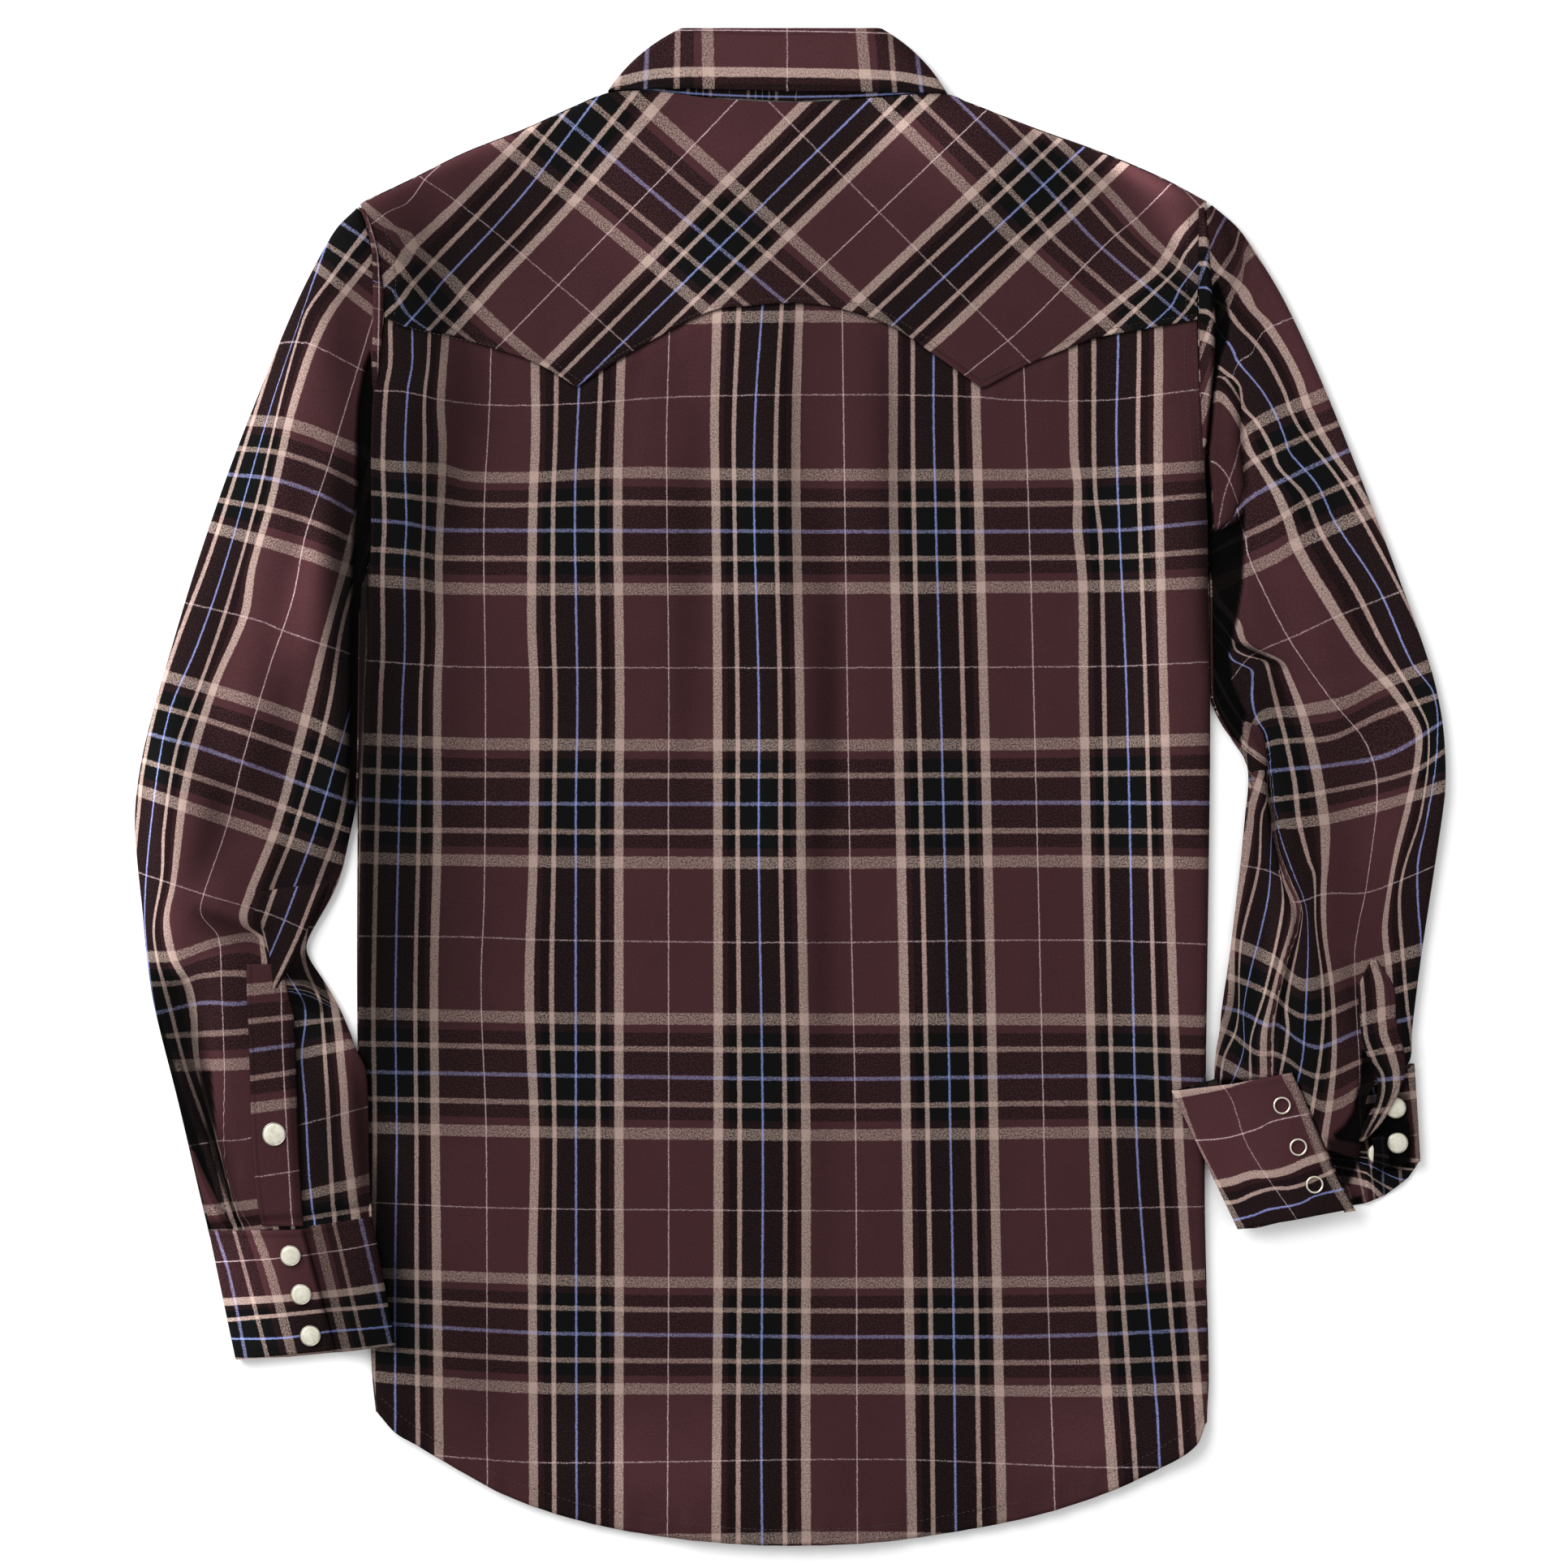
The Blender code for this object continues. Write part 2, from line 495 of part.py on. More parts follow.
def sleeve_section(length, closed):
    """Stops round a flattened sleeve, as (distance from the inner end, height share, layer)."""
    reach = min(FOLD_REACH, 0.3 * length)
    steps = [step / FOLD_REACH for step in SLEEVE_STEPS]
    middle = 0.5
    rounded = [(step * reach, rounding(step, 1.0)) for step in steps]
    top = [(s, 1.0 - closed * middle * (1.0 - f)) for s, f in rounded]
    top += [(mix(reach, length - reach, part), 1.0) for part in (0.2, 0.4, 0.6, 0.8)]
    top += [(length - s, middle + middle * f) for s, f in reversed(rounded)]
    under = [(length - s, middle - middle * f) for s, f in rounded[1:]]
    under += [(mix(length - reach, reach, part), 0.0) for part in (0.33, 0.67)]
    under += [(s, closed * middle * (1.0 - f)) for s, f in reversed(rounded)]
    return top, under


def sleeve_ring(sleeve, along):
    """The closed section of a sleeve at one crosswise thread."""
    inner, outer = sleeve_ends(sleeve, along)
    length = (outer - inner).length
    heading = (outer - inner) / length
    closed = side_closed(inner.y)
    top, under = sleeve_section(length, closed)
    ring = []
    for layer, stops in ((1.0, top), (0.0, under)):
        for distance, share in stops:
            place = inner + heading * distance
            z = SLEEVE_TOP * share + sleeve.rise(place.x, place.y)
            z += layer * share * creases(sleeve.folds, place.x, place.y) * ramp(share, 0.5, 1.0)
            ring.append((place.x, place.y, z))
    return ring


def sleeve_face(sleeve, x, y):
    """Height of a sleeve's upper face, away from its folded edges."""
    return SLEEVE_TOP + sleeve.rise(x, y) + creases(sleeve.folds, x, y)


# Making solids.

def make_material(look):
    material = bpy.data.materials.get(look.name) or bpy.data.materials.new(look.name)
    material.use_nodes = True
    shader = material.node_tree.nodes["Principled BSDF"]
    shader.inputs["Base Color"].default_value = (*look.colour, 1.0)
    shader.inputs["Roughness"].default_value = look.roughness
    shader.inputs["Metallic"].default_value = look.metallic
    material.diffuse_color = (*look.colour, 1.0)
    return material


def add_object(name, mesh, look, shirt):
    """Put a mesh in the shirt's collection under its empty, with its own material."""
    item = bpy.data.objects.new(name, mesh)
    material = make_material(look._replace(name=look.name + "_" + name))
    item.data.materials.append(material)
    bpy.data.collections["western_snap_shirt"].objects.link(item)
    item.parent = shirt
    return item


def add_panel(name, columns, rows, place, shirt, facing_up=True):
    """A grid laid out by place(column, row) and thickened inward to the cloth's wall."""
    mesh = bpy.data.meshes.new(name)
    grid = bmesh.new()
    bmesh.ops.create_grid(grid, x_segments=len(columns) - 1, y_segments=len(rows) - 1, size=1.0)
    for vertex in grid.verts:
        column = round((vertex.co.x + 1.0) / 2.0 * (len(columns) - 1))
        row = round((1.0 - vertex.co.y) / 2.0 * (len(rows) - 1))
        vertex.co = Vector(place(columns[column], rows[row])) * MM
    bmesh.ops.remove_doubles(grid, verts=grid.verts, dist=0.01 * MM)
    if not facing_up:
        bmesh.ops.reverse_faces(grid, faces=grid.faces)
    grid.to_mesh(mesh)
    grid.free()
    panel = add_object(name, mesh, MAROON, shirt)
    wall = panel.modifiers.new("cloth", "SOLIDIFY")
    wall.thickness = CLOTH * MM
    wall.offset = -1.0
    wall.use_quality_normals = True
    return panel


def add_sleeve(name, sleeve, shirt):
    """A sleeve cut flat, folded over at its outer edge and sewn along its inner one."""
    rings = [sleeve_ring(sleeve, along) for along in sleeve_rows(sleeve)]
    columns = range(len(rings[0]))
    return add_panel(name, columns, rings, lambda column, ring: ring[column], shirt,
                     facing_up=sleeve.side > 0)


def ribbon_stations(lines):
    """Lines across a ribbon, with its folds rounded and its long stretches divided."""
    stations = []
    for index, line in enumerate(lines):
        if not line.fold:
            stations.append((Vector(line.top), Vector(line.low), line.z))
            continue
        before, after = lines[index - 1], lines[index + 1]
        middle = (before.z + after.z) / 2.0
        for turn in RIBBON_TURNS:
            side = before if turn < 0 else after
            inset = RIBBON_REACH * (1.0 - math.cos(math.radians(turn)))
            z = mix(middle, side.z, abs(math.sin(math.radians(turn))))
            ends = []
            for own, other in ((line.top, side.top), (line.low, side.low)):
                towards = Vector(other) - Vector(own)
                ends.append(Vector(own) + towards.normalized() * inset)
            stations.append((ends[0], ends[1], z))
    divided = [stations[0]]
    for station in stations[1:]:
        last = divided[-1]
        count = math.ceil((station[0] - last[0]).length / RIBBON_STEP)
        for step in range(1, count):
            divided.append(tuple(mix(a, b, step / count) for a, b in zip(last, station)))
        divided.append(station)
    return divided


def add_ribbon(name, lines, rise, shirt, facing_up=True):
    """A cuff or collar piece: a strip that turns over along its folds."""
    def place(station, part):
        top, low, z = station
        spot = top.lerp(low, part)
        return spot.x, spot.y, z + rise(spot.x, spot.y)

    return add_panel(name, ribbon_stations(lines), RIBBON_ROWS, place, shirt, facing_up)


def add_sleeve_band(name, edges, sleeve, shirt):
    """A placket strip on a sleeve's upper face, made from that face moved out."""
    def place(part, edge):
        x = mix(edge.left, edge.right, part)
        return x, edge.y, sleeve_face(sleeve, x, edge.y) + SEAM + CLOTH

    return add_panel(name, (0.0, 0.33, 0.67, 1.0), edges, place, shirt)


def add_front_band(shirt):
    """The strip down the centre of the outer front, which carries the snaps."""
    top, bottom = FRONT_NECK[0].y, hem_y(0.0) + FRONT_SHORTER

    def place(x, part):
        return x, mix(top, bottom, part), BAND_Z

    columns = (-BAND_HALF, -6.0, 6.0, BAND_HALF)
    return add_panel("front_band", columns, [i / 8.0 for i in range(9)], place, shirt,
                     facing_up=False)


def turned(name, profile, sides, look, shirt):
    """A closed profile, top to bottom at +X, turned round the Z axis."""
    mesh = bpy.data.meshes.new(name)
    outline = bmesh.new()
    verts = [outline.verts.new((radius * MM, 0.0, height * MM)) for radius, height in profile]
    for first, second in zip(verts, verts[1:]):
        outline.edges.new((first, second))
    outline.to_mesh(mesh)
    outline.free()
    item = add_object(name, mesh, look, shirt)
    screw = item.modifiers.new("turn", "SCREW")
    screw.steps = screw.render_steps = sides
    screw.use_merge_vertices = True
    screw.merge_threshold = 0.00001
    screw.use_smooth_shade = True
    return item


def add_snap(name, place, seat, shirt, facing_up=True):
    """A pearl cap with a shallow dome; `seat` is the height of the face it sits on."""
    profile = ((0.0, SNAP_HEIGHT), (0.6 * SNAP_RADIUS, 0.9 * SNAP_HEIGHT),
               (0.93 * SNAP_RADIUS, 0.5 * SNAP_HEIGHT), (SNAP_RADIUS, 0.2 * SNAP_HEIGHT),
               (0.96 * SNAP_RADIUS, 0.0), (0.0, 0.0))
    snap = turned(name, profile, SNAP_SIDES, PEARL, shirt)
    gap = REST if facing_up else -REST
    snap.location = Vector((place.x, place.y, seat + gap)) * MM
    if not facing_up:
        snap.rotation_euler.x = math.pi
    return snap


def add_ring(name, place, seat, shirt):
    """The open metal ring of a snap's back."""
    bpy.ops.mesh.primitive_torus_add(major_segments=14, minor_segments=6,
                                     major_radius=RING_RADIUS * MM, minor_radius=RING_WIRE * MM)
    made = bpy.context.object
    mesh = made.data
    bpy.data.objects.remove(made)
    ring = add_object(name, mesh, METAL, shirt)
    ring.location = Vector((place.x, place.y, seat + REST + RING_WIRE)) * MM
    return ring


def centre_on_origin(shirt):
    """Move the whole shirt so that the middle of its base is the origin."""
    bpy.context.view_layer.update()
    graph = bpy.context.evaluated_depsgraph_get()
    corners = []
    for item in shirt.children:
        solid = item.evaluated_get(graph)
        corners += [solid.matrix_world @ vertex.co for vertex in solid.data.vertices]
    low = Vector([min(corner[axis] for corner in corners) for axis in range(3)])
    high = Vector([max(corner[axis] for corner in corners) for axis in range(3)])
    shirt.location = -Vector(((low.x + high.x) / 2, (low.y + high.y) / 2, low.z))


def build_shirt():
    for item in list(bpy.data.objects):
        bpy.data.objects.remove(item)
    collection = bpy.data.collections.new("western_snap_shirt")
    bpy.context.scene.collection.children.link(collection)
    shirt = bpy.data.objects.new("shirt", None)
    collection.objects.link(shirt)

    yoke_rows = [(drop, 0.0) for drop in FOLD_STEPS] + [(FOLD_REACH, p) for p in YOKE_ROWS[1:]]
    add_panel("yoke", body_columns(), yoke_rows, yoke_place, shirt)
    add_panel("back", body_columns(), BACK_ROWS, back_place, shirt)
    for name, side in (("front_left", -1), ("front_right", 1)):
        columns = front_columns(side)
        add_panel(name, columns, front_rows(), lambda c, r, s=side: front_place(s, c, r), shirt,
                  facing_up=side > 0)
    add_front_band(shirt)
    add_ribbon("collar_fall", COLLAR_FALL, flat, shirt)
    add_ribbon("collar_stand", COLLAR_STAND, flat, shirt)
    add_sleeve("sleeve_left", LEFT, shirt)
    add_sleeve("sleeve_right", RIGHT, shirt)
    add_sleeve_band("sleeve_band_left", BAND_LEFT, LEFT, shirt)
    add_sleeve_band("sleeve_band_right", BAND_RIGHT, RIGHT, shirt)
    add_ribbon("cuff_left", CUFF_LEFT, left_rise, shirt, facing_up=False)
    add_ribbon("cuff_right", CUFF_RIGHT, flat, shirt, facing_up=False)

    for number, place in enumerate(SNAPS_ON_LEFT_CUFF, 1):
        add_snap(f"snap_cuff_left_{number}", place, CUFF_LEFT[0].z, shirt)
    for number, place in enumerate(SNAPS_ON_RIGHT_CUFF, 1):
        add_snap(f"snap_cuff_right_{number}", place, CUFF_RIGHT[-1].z, shirt)
    for number, place in enumerate(RINGS_ON_RIGHT_CUFF, 1):
        add_ring(f"ring_cuff_right_{number}", place, CUFF_RIGHT[0].z, shirt)
    band_face = sleeve_face(LEFT, *SNAP_ON_LEFT_BAND) + SEAM + CLOTH
    add_snap("snap_band_left", SNAP_ON_LEFT_BAND, band_face, shirt)
    for number in range(FRONT_SNAPS):
        place = Point(0.0, FRONT_SNAP_TOP - number * FRONT_SNAP_PITCH)
        add_snap(f"snap_front_{number + 1}", place, BAND_Z, shirt, facing_up=False)
    centre_on_origin(shirt)


build_shirt()
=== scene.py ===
"""Looks of a western snap shirt that lies flat with its back up.

Sizes that the shirt shares with its solids are in millimetres: +X to the right, +Y towards the
collar, both from the middle of the body, and heights above the surface beneath. The plaid, the
creases, the painted shade and highlights of the cloth, and the stitching are charted on a drafting
grid of 0.45 mm steps, counted to the right and down from the corner of the cutting sheet.
"""

import logging
import math
from dataclasses import dataclass
from enum import Enum
from typing import Callable, Sequence

import bpy
import numpy as np
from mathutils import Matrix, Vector

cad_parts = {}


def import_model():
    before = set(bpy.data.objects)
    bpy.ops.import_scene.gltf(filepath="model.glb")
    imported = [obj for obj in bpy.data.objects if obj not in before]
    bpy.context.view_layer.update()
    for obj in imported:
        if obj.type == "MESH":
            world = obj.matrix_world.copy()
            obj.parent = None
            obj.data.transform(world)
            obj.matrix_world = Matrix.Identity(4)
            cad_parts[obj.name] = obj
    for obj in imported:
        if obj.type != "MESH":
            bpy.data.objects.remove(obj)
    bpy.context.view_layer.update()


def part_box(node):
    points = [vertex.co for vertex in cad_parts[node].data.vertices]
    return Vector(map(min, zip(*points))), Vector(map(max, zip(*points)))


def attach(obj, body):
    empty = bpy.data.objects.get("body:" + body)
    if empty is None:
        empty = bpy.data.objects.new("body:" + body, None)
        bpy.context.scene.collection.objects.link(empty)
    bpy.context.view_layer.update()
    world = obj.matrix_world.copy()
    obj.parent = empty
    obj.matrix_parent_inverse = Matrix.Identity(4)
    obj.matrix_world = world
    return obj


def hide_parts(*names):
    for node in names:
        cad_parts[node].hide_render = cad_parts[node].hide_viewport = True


LOG = logging.getLogger("shirt")
MM = 0.001
BODY = "root"

# The drafting grid.
GRID_STEP = 0.45
GRID_X = 965.0
GRID_Y = 969.5
WARP_REPEAT = 226.0     # grid steps from one lengthwise blue thread to the next
WEFT_REPEAT = 335.0     # the same for crosswise blue threads

# Sizes that several pieces share, in millimetres.
FOLD_REACH = 4.5        # how far a laid fold rounds in
UNDERARM = 126.0        # where the armholes end and the side folds begin
SEAM = 0.4
WING_Z = 1.8            # height at which the collar's wings lie
FRONT_NECK_TOP = 317.0

# How the shown cloth is made, in millimetres.
WALL = 0.8              # its thickness
PITCH = 2.6             # spacing of its grid
LAP_PITCH = 1.2         # the same across a lap
LAP_SINK = 0.7          # how far a lap's edges sink into the cloth beneath
LEAST_FADE = 0.8        # length in which a lap's end always sinks away

Points = tuple[tuple[float, float], ...]
Colour = tuple[float, float, float]
Array = np.ndarray
Face = Callable[[Array, Array], tuple[Array, Array]]    # height and painted shade at a place in plan
Rise = Callable[[Array, Array], Array]                  # height alone
Socket = bpy.types.NodeSocket


class Strand(Enum):
    """Coloured threads of one plaid repeat, by how far they lie from its blue thread."""

    BLUE = (0.0, 0.0)
    THIN = (27.0, 34.0)
    THICK = (52.0, 70.0)
    WHITE = (113.0, 167.5)

    @property
    def warp(self) -> float:
        """Distance from the blue thread in the lengthwise threads, in grid steps."""
        return self.value[0]

    @property
    def weft(self) -> float:
        """Distance from the blue thread in the crosswise threads, in grid steps."""
        return self.value[1]


BLUE, THIN, THICK, WHITE = Strand


class Side(Enum):
    """A side of the shirt as it lies, with the sign of its X."""

    LEFT = -1
    RIGHT = 1


def ramp(value: Array, start: float, end: float) -> Array:
    """Smooth 0 to 1 as a value goes from start to end."""
    part = np.clip((np.asarray(value, float) - start) / (end - start), 0.0, 1.0)
    return part * part * (3.0 - 2.0 * part)


def bell(away: Array, width: float) -> Array:
    """How deep a soft groove is at a distance from its middle, 0 to 1."""
    return np.exp(-(away / width) ** 2)


def deepen(dark: Array, more: Array) -> Array:
    """Darkness of one shade laid over another, each 0 to 1."""
    return 1.0 - (1.0 - dark) * (1.0 - more)


def rounding(distance: Array, reach: float = FOLD_REACH) -> Array:
    """Share of a rounded fold's height that is reached at a distance in from its edge."""
    left_over = 1.0 - np.clip(np.asarray(distance, float) / reach, 0.0, 1.0)
    return np.sqrt(1.0 - left_over * left_over)


def track(points: Points | Array, at: Array, run_on: bool = False) -> Array:
    """Follow a smooth curve through points.

    Args:
        points: Pairs of a key and its value.
        at: Keys to read the curve at.
        run_on: Whether the curve goes straight on past its ends, and doesn't stay level there.

    Returns:
        The curve's value at each key.
    """
    keys, values = np.array(sorted(map(tuple, points)), float).T
    at = np.asarray(at, float)
    steps = np.diff(values) / np.diff(keys)
    inner = (values[2:] - values[:-2]) / (keys[2:] - keys[:-2])
    slopes = np.concatenate((steps[:1], inner, steps[-1:]))
    index = np.clip(np.searchsorted(keys, at, side="right") - 1, 0, len(keys) - 2)
    span = keys[index + 1] - keys[index]
    t = np.clip((at - keys[index]) / span, 0.0, 1.0)
    curve = ((1 + 2 * t) * (1 - t) ** 2 * values[index] + t * (1 - t) ** 2 * span * slopes[index]
             + t * t * (3 - 2 * t) * values[index + 1] + t * t * (t - 1) * span * slopes[index + 1])
    if run_on:
        curve = curve + np.minimum(at - keys[0], 0.0) * slopes[0]
        curve = curve + np.maximum(at - keys[-1], 0.0) * slopes[-1]
    return curve


def way(text: str) -> Array:
    """Places on the drafting grid, written as "across,down" with blanks between them."""
    return np.array([pair.split(",") for pair in text.split()], float)


def lengths_along(line: Array) -> Array:
    """How far along a line each of its points lies."""
    return np.concatenate(([0.0], np.cumsum(np.hypot(*np.diff(line, axis=0).T))))


def points_along(line: Array, at: Array) -> Array:
    """Points of a line at given lengths along it."""
    along = lengths_along(line)
    return np.stack([np.interp(at, along, line[:, 0]), np.interp(at, along, line[:, 1])], axis=1)


def grid_x(x: Array) -> Array:
    """Millimetres to the right of the middle, as steps on the drafting grid."""
    return np.asarray(x, float) / GRID_STEP + GRID_X


def grid_y(y: Array) -> Array:
    """Millimetres towards the collar, as steps down the drafting grid."""
    return GRID_Y - np.asarray(y, float) / GRID_STEP


def plan_x(gx: Array) -> Array:
    """Steps across the drafting grid, as millimetres to the right of the middle."""
    return (np.asarray(gx, float) - GRID_X) * GRID_STEP


def plan_y(gy: Array) -> Array:
    """Steps down the drafting grid, as millimetres towards the collar."""
    return (GRID_Y - np.asarray(gy, float)) * GRID_STEP


def wavering(x: Array, y: Array, height: float, pitch: float) -> Array:
    """Faint unevenness of laid cloth, from a few crossing waves.

    Args:
        x: Millimetres across.
        y: Millimetres along.
        height: Greatest height, in millimetres.
        pitch: Length of the longest wave, in millimetres.

    Returns:
        The height in millimetres.
    """
    k = 2.0 * math.pi / pitch
    waves = np.sin(k * (x + 0.31 * y) + 0.7) + 0.7 * np.sin(1.7 * k * (x - 0.22 * y) + 2.1)
    waves += 0.5 * np.sin(2.3 * k * (0.55 * x + 0.8 * y) + 4.0)
    return height * waves / 2.2


def placed(name: str, data: bpy.types.ID) -> bpy.types.Object:
    """Put a new object into the scene.

    Args:
        name: Its name.
        data: Its mesh, light or camera.

    Returns:
        The object.
    """
    made = bpy.data.objects.new(name, data)
    bpy.context.scene.collection.objects.link(made)
    return made


# How the plaid lies.

@dataclass(frozen=True)
class Thread:
    """One coloured thread of the plaid as it lies on the shirt."""

    repeat: int
    strand: Strand
    path: str                  # its run on the drafting grid
    before: bool = False       # the strand lies before its repeat's blue thread
    off: float = 0.0           # how far past the strand the line runs, in grid steps

    def place(self, warp: bool) -> float:
        """Place in the cloth, in grid steps from the first blue thread.

        Args:
            warp: Whether this is a lengthwise thread.

        Returns:
            The place.
        """
        offset = self.strand.warp if warp else self.strand.weft
        pitch = WARP_REPEAT if warp else WEFT_REPEAT
        return self.repeat * pitch + (-offset if self.before else offset) + self.off


@dataclass(frozen=True)
class Chart:
    """Where the lengthwise and crosswise threads of a piece run on the drafting grid."""

    warps: tuple[Thread, ...]
    wefts: tuple[Thread, ...]
    warps_upright: bool = True
    wefts_upright: bool = False

    def cloth(self, x: Array, y: Array) -> tuple[Array, Array]:
        """Places in the cloth of points on the shirt.

        Args:
            x: Millimetres across.
            y: Millimetres along.

        Returns:
            The places across the warp and along the weft, in repeats.
        """
        gx, gy = grid_x(x).ravel(), grid_y(y).ravel()
        warp = self._between(self.warps, True, self.warps_upright, gx, gy)
        weft = self._between(self.wefts, False, self.wefts_upright, gx, gy)
        shape = np.shape(x)
        return (warp / WARP_REPEAT).reshape(shape), (weft / WEFT_REPEAT).reshape(shape)

    @staticmethod
    def _between(threads: Sequence[Thread], warp: bool, upright: bool, gx: Array,
                 gy: Array) -> Array:
        """Interpolate the place in the cloth between neighbouring threads.

        Args:
            threads: The charted threads of one direction.
            warp: Whether they are lengthwise threads.
            upright: Whether each runs down the grid, and not across it.
            gx: Grid places across.
            gy: Grid places down.

        Returns:
            The place in the cloth, in grid steps.
        """
        key, across = (gy, gx) if upright else (gx, gy)
        ordered = sorted(threads, key=lambda thread: thread.place(warp))
        places = np.array([thread.place(warp) for thread in ordered])
        lines = []
        for thread in ordered:
            line = way(thread.path)
            lines.append(track(line[:, ::-1] if upright else line, key, run_on=True))
        apart = 0.5 * np.arange(len(lines))[:, None]
        lines = np.maximum.accumulate(np.stack(lines) - apart, axis=0) + apart
        index = np.clip((lines <= across).sum(axis=0) - 1, 0, len(lines) - 2)
        column = np.arange(len(across))
        low, high = lines[index, column], lines[index + 1, column]
        part = (across - low) / np.maximum(high - low, 0.5)
        found = places[index] + part * (places[index + 1] - places[index])
        found = np.where(across < lines[0], places[0] + across - lines[0], found)
        return np.where(across > lines[-1], places[-1] + across - lines[-1], found)


@dataclass(frozen=True)
class StraightChart:
    """Threads that run straight down and across the grid from one blue crossing."""

    blue_x: float
    blue_y: float

    def cloth(self, x: Array, y: Array) -> tuple[Array, Array]:
        """Places in the cloth of points on the shirt, in repeats."""
        return (grid_x(x) - self.blue_x) / WARP_REPEAT, (grid_y(y) - self.blue_y) / WEFT_REPEAT


@dataclass(frozen=True)
class Crease:
    """A soft ridge, or a trough if its height is negative, along a grid line, with painted shade in it.
    """

    path: str
    height: float              # millimetres
    left: float                # how far it reaches to the left of the line's heading, in steps
    right: float               # and to the right
    dark: float = 0.0          # painted shade down in it, or a painted highlight if negative
    sharp: float = 2.0         # higher is flatter inside with steeper sides

    def relief_and_painted_shade(self, gx: Array, gy: Array) -> tuple[Array, Array]:
        """Height and painted shade that the crease adds.

        Args:
            gx: Grid places across.
            gy: Grid places down.

        Returns:
            The height in millimetres and the painted shade, 0 to 1.
        """
        line = way(self.path)
        runs = np.diff(line, axis=0)
        starts = lengths_along(line)
        best = np.full(np.shape(gx), 1e9)
        side, along = np.zeros(np.shape(gx)), np.zeros(np.shape(gx))
        for start, run, length, offset in zip(line[:-1], runs, np.hypot(*runs.T), starts):
            dx, dy = gx - start[0], gy - start[1]
            part = np.clip((dx * run[0] + dy * run[1]) / length ** 2, 0.0, 1.0)
            away = np.hypot(dx - part * run[0], dy - part * run[1])
            nearer = away < best
            best = np.where(nearer, away, best)
            side = np.where(nearer, run[0] * dy - run[1] * dx, side)
            along = np.where(nearer, offset + part * length, along)
        share = along / starts[-1]
        taper = np.sqrt(np.clip(4.0 * share * (1.0 - share) + 0.04, 0.0, 1.0))
        reach = np.where(side < 0.0, self.left, self.right)
        shape = taper * np.exp(-(best / reach) ** self.sharp)
        return self.height * shape, self.dark * shape


@dataclass(frozen=True)
class Hollow:
    """A pocket between layers where the cloth drops away, with the shadow in it painted as darkness."""

    path: str                  # round it on the drafting grid
    depth: float               # millimetres
    # painted shadow in the pocket, 0 to 1, or a painted highlight if negative
    dark: float
    soft: float = 5.0          # how far its brim slopes, in steps

    def relief_and_painted_shade(self, gx: Array, gy: Array) -> tuple[Array, Array]:
        """Height and painted shadow that the pocket adds.

        Args:
            gx: Grid places across.
            gy: Grid places down.

        Returns:
            The height in millimetres and the painted shadow, 0 to 1.
        """
        inside = np.zeros(np.shape(gx), bool)
        away = np.full(np.shape(gx), 1e9)
        outline = way(self.path)
        for (ax, ay), (bx, by) in zip(outline, np.roll(outline, -1, axis=0)):
            run = np.array([bx - ax, by - ay])
            part = np.clip(((gx - ax) * run[0] + (gy - ay) * run[1]) / (run @ run), 0.0, 1.0)
            away = np.minimum(away, np.hypot(gx - ax - part * run[0], gy - ay - part * run[1]))
            if ay != by:
                crosses = (ay > gy) != (by > gy)
                inside ^= crosses & (gx < ax + (gy - ay) / (by - ay) * (bx - ax))
        share = ramp(np.where(inside, away, -away), -0.5 * self.soft, 0.5 * self.soft)
        return -self.depth * share, self.dark * share


Fold = Crease | Hollow


def relief_and_painted_shade(folds: Sequence[Fold], x: Array, y: Array) -> tuple[Array, Array]:
    """Total height and painted shade of several creases and hollows.

    Args:
        folds: The creases and hollows.
        x: Millimetres across.
        y: Millimetres along.

    Returns:
        The height in millimetres and the painted shade, 0 to 1.
    """
    gx, gy = grid_x(x), grid_y(y)
    height, total = np.zeros(np.shape(gx)), np.zeros(np.shape(gx))
    for fold in folds:
        rise, dark = fold.relief_and_painted_shade(gx, gy)
        height += rise
        total = deepen(total, dark)
    return height, total


@dataclass(frozen=True)
class Lap:
    """A piece's own cloth that laps over the rest of it, such as a fold or a rolled seam."""

    left: str                  # its edges, down the drafting grid
    right: str
    chart: Chart | StraightChart
    rise: float = 1.5          # millimetres above the cloth beneath
    reach: tuple[float, float] = (1.6, 1.6)        # how far its left and right edges round in
    shade: tuple[float, float, float] = (0.15, 0.0, 0.15)      # painted shade at its left, middle and right; negative is a painted highlight
    fade: tuple[float, float] = (0.0, 0.0)         # lengths that sink away at its two ends

    def sheet(self, base: Face) -> "Sheet":
        """The lap's cloth.

        Args:
            base: Height and darkness of the cloth beneath.

        Returns:
            base: Height and painted shade of the cloth beneath.
        """
        left, right = self._spaced(self.left), self._spaced(self.right)
        width = np.hypot(*(right - left).T)[:, None] * GRID_STEP
        part = np.linspace(0.0, 1.0, max(8, round(float(width.max()) / LAP_PITCH)))[None, :]
        x = plan_x(left[:, :1] + (right - left)[:, :1] * part)
        y = plan_y(left[:, 1:] + (right - left)[:, 1:] * part)
        share = rounding(width * part, self.reach[0]) * rounding(width * (1 - part), self.reach[1])
        down = lengths_along((left + right) / 2.0)[:, None] * GRID_STEP
        share = share * ramp(down, -0.01, max(self.fade[0], LEAST_FADE))
        share = share * ramp(down[-1] - down, -0.01, max(self.fade[1], LEAST_FADE))
        height, dark = base(x, y)
        z = height - LAP_SINK + (self.rise + LAP_SINK) * share
        shade = np.interp(part, (0.0, 0.5, 1.0), self.shade) + 0.0 * x
        # painted shade: the lap's own, over a little of the shade beneath
        return Sheet.charted(x, y, z, self.chart, deepen(0.3 * dark, shade))

    @staticmethod
    def _spaced(path: str, count: int = 60) -> Array:
        """Evenly spaced grid places along a line."""
        line = way(path)
        return points_along(line, np.linspace(0.0, lengths_along(line)[-1], count))


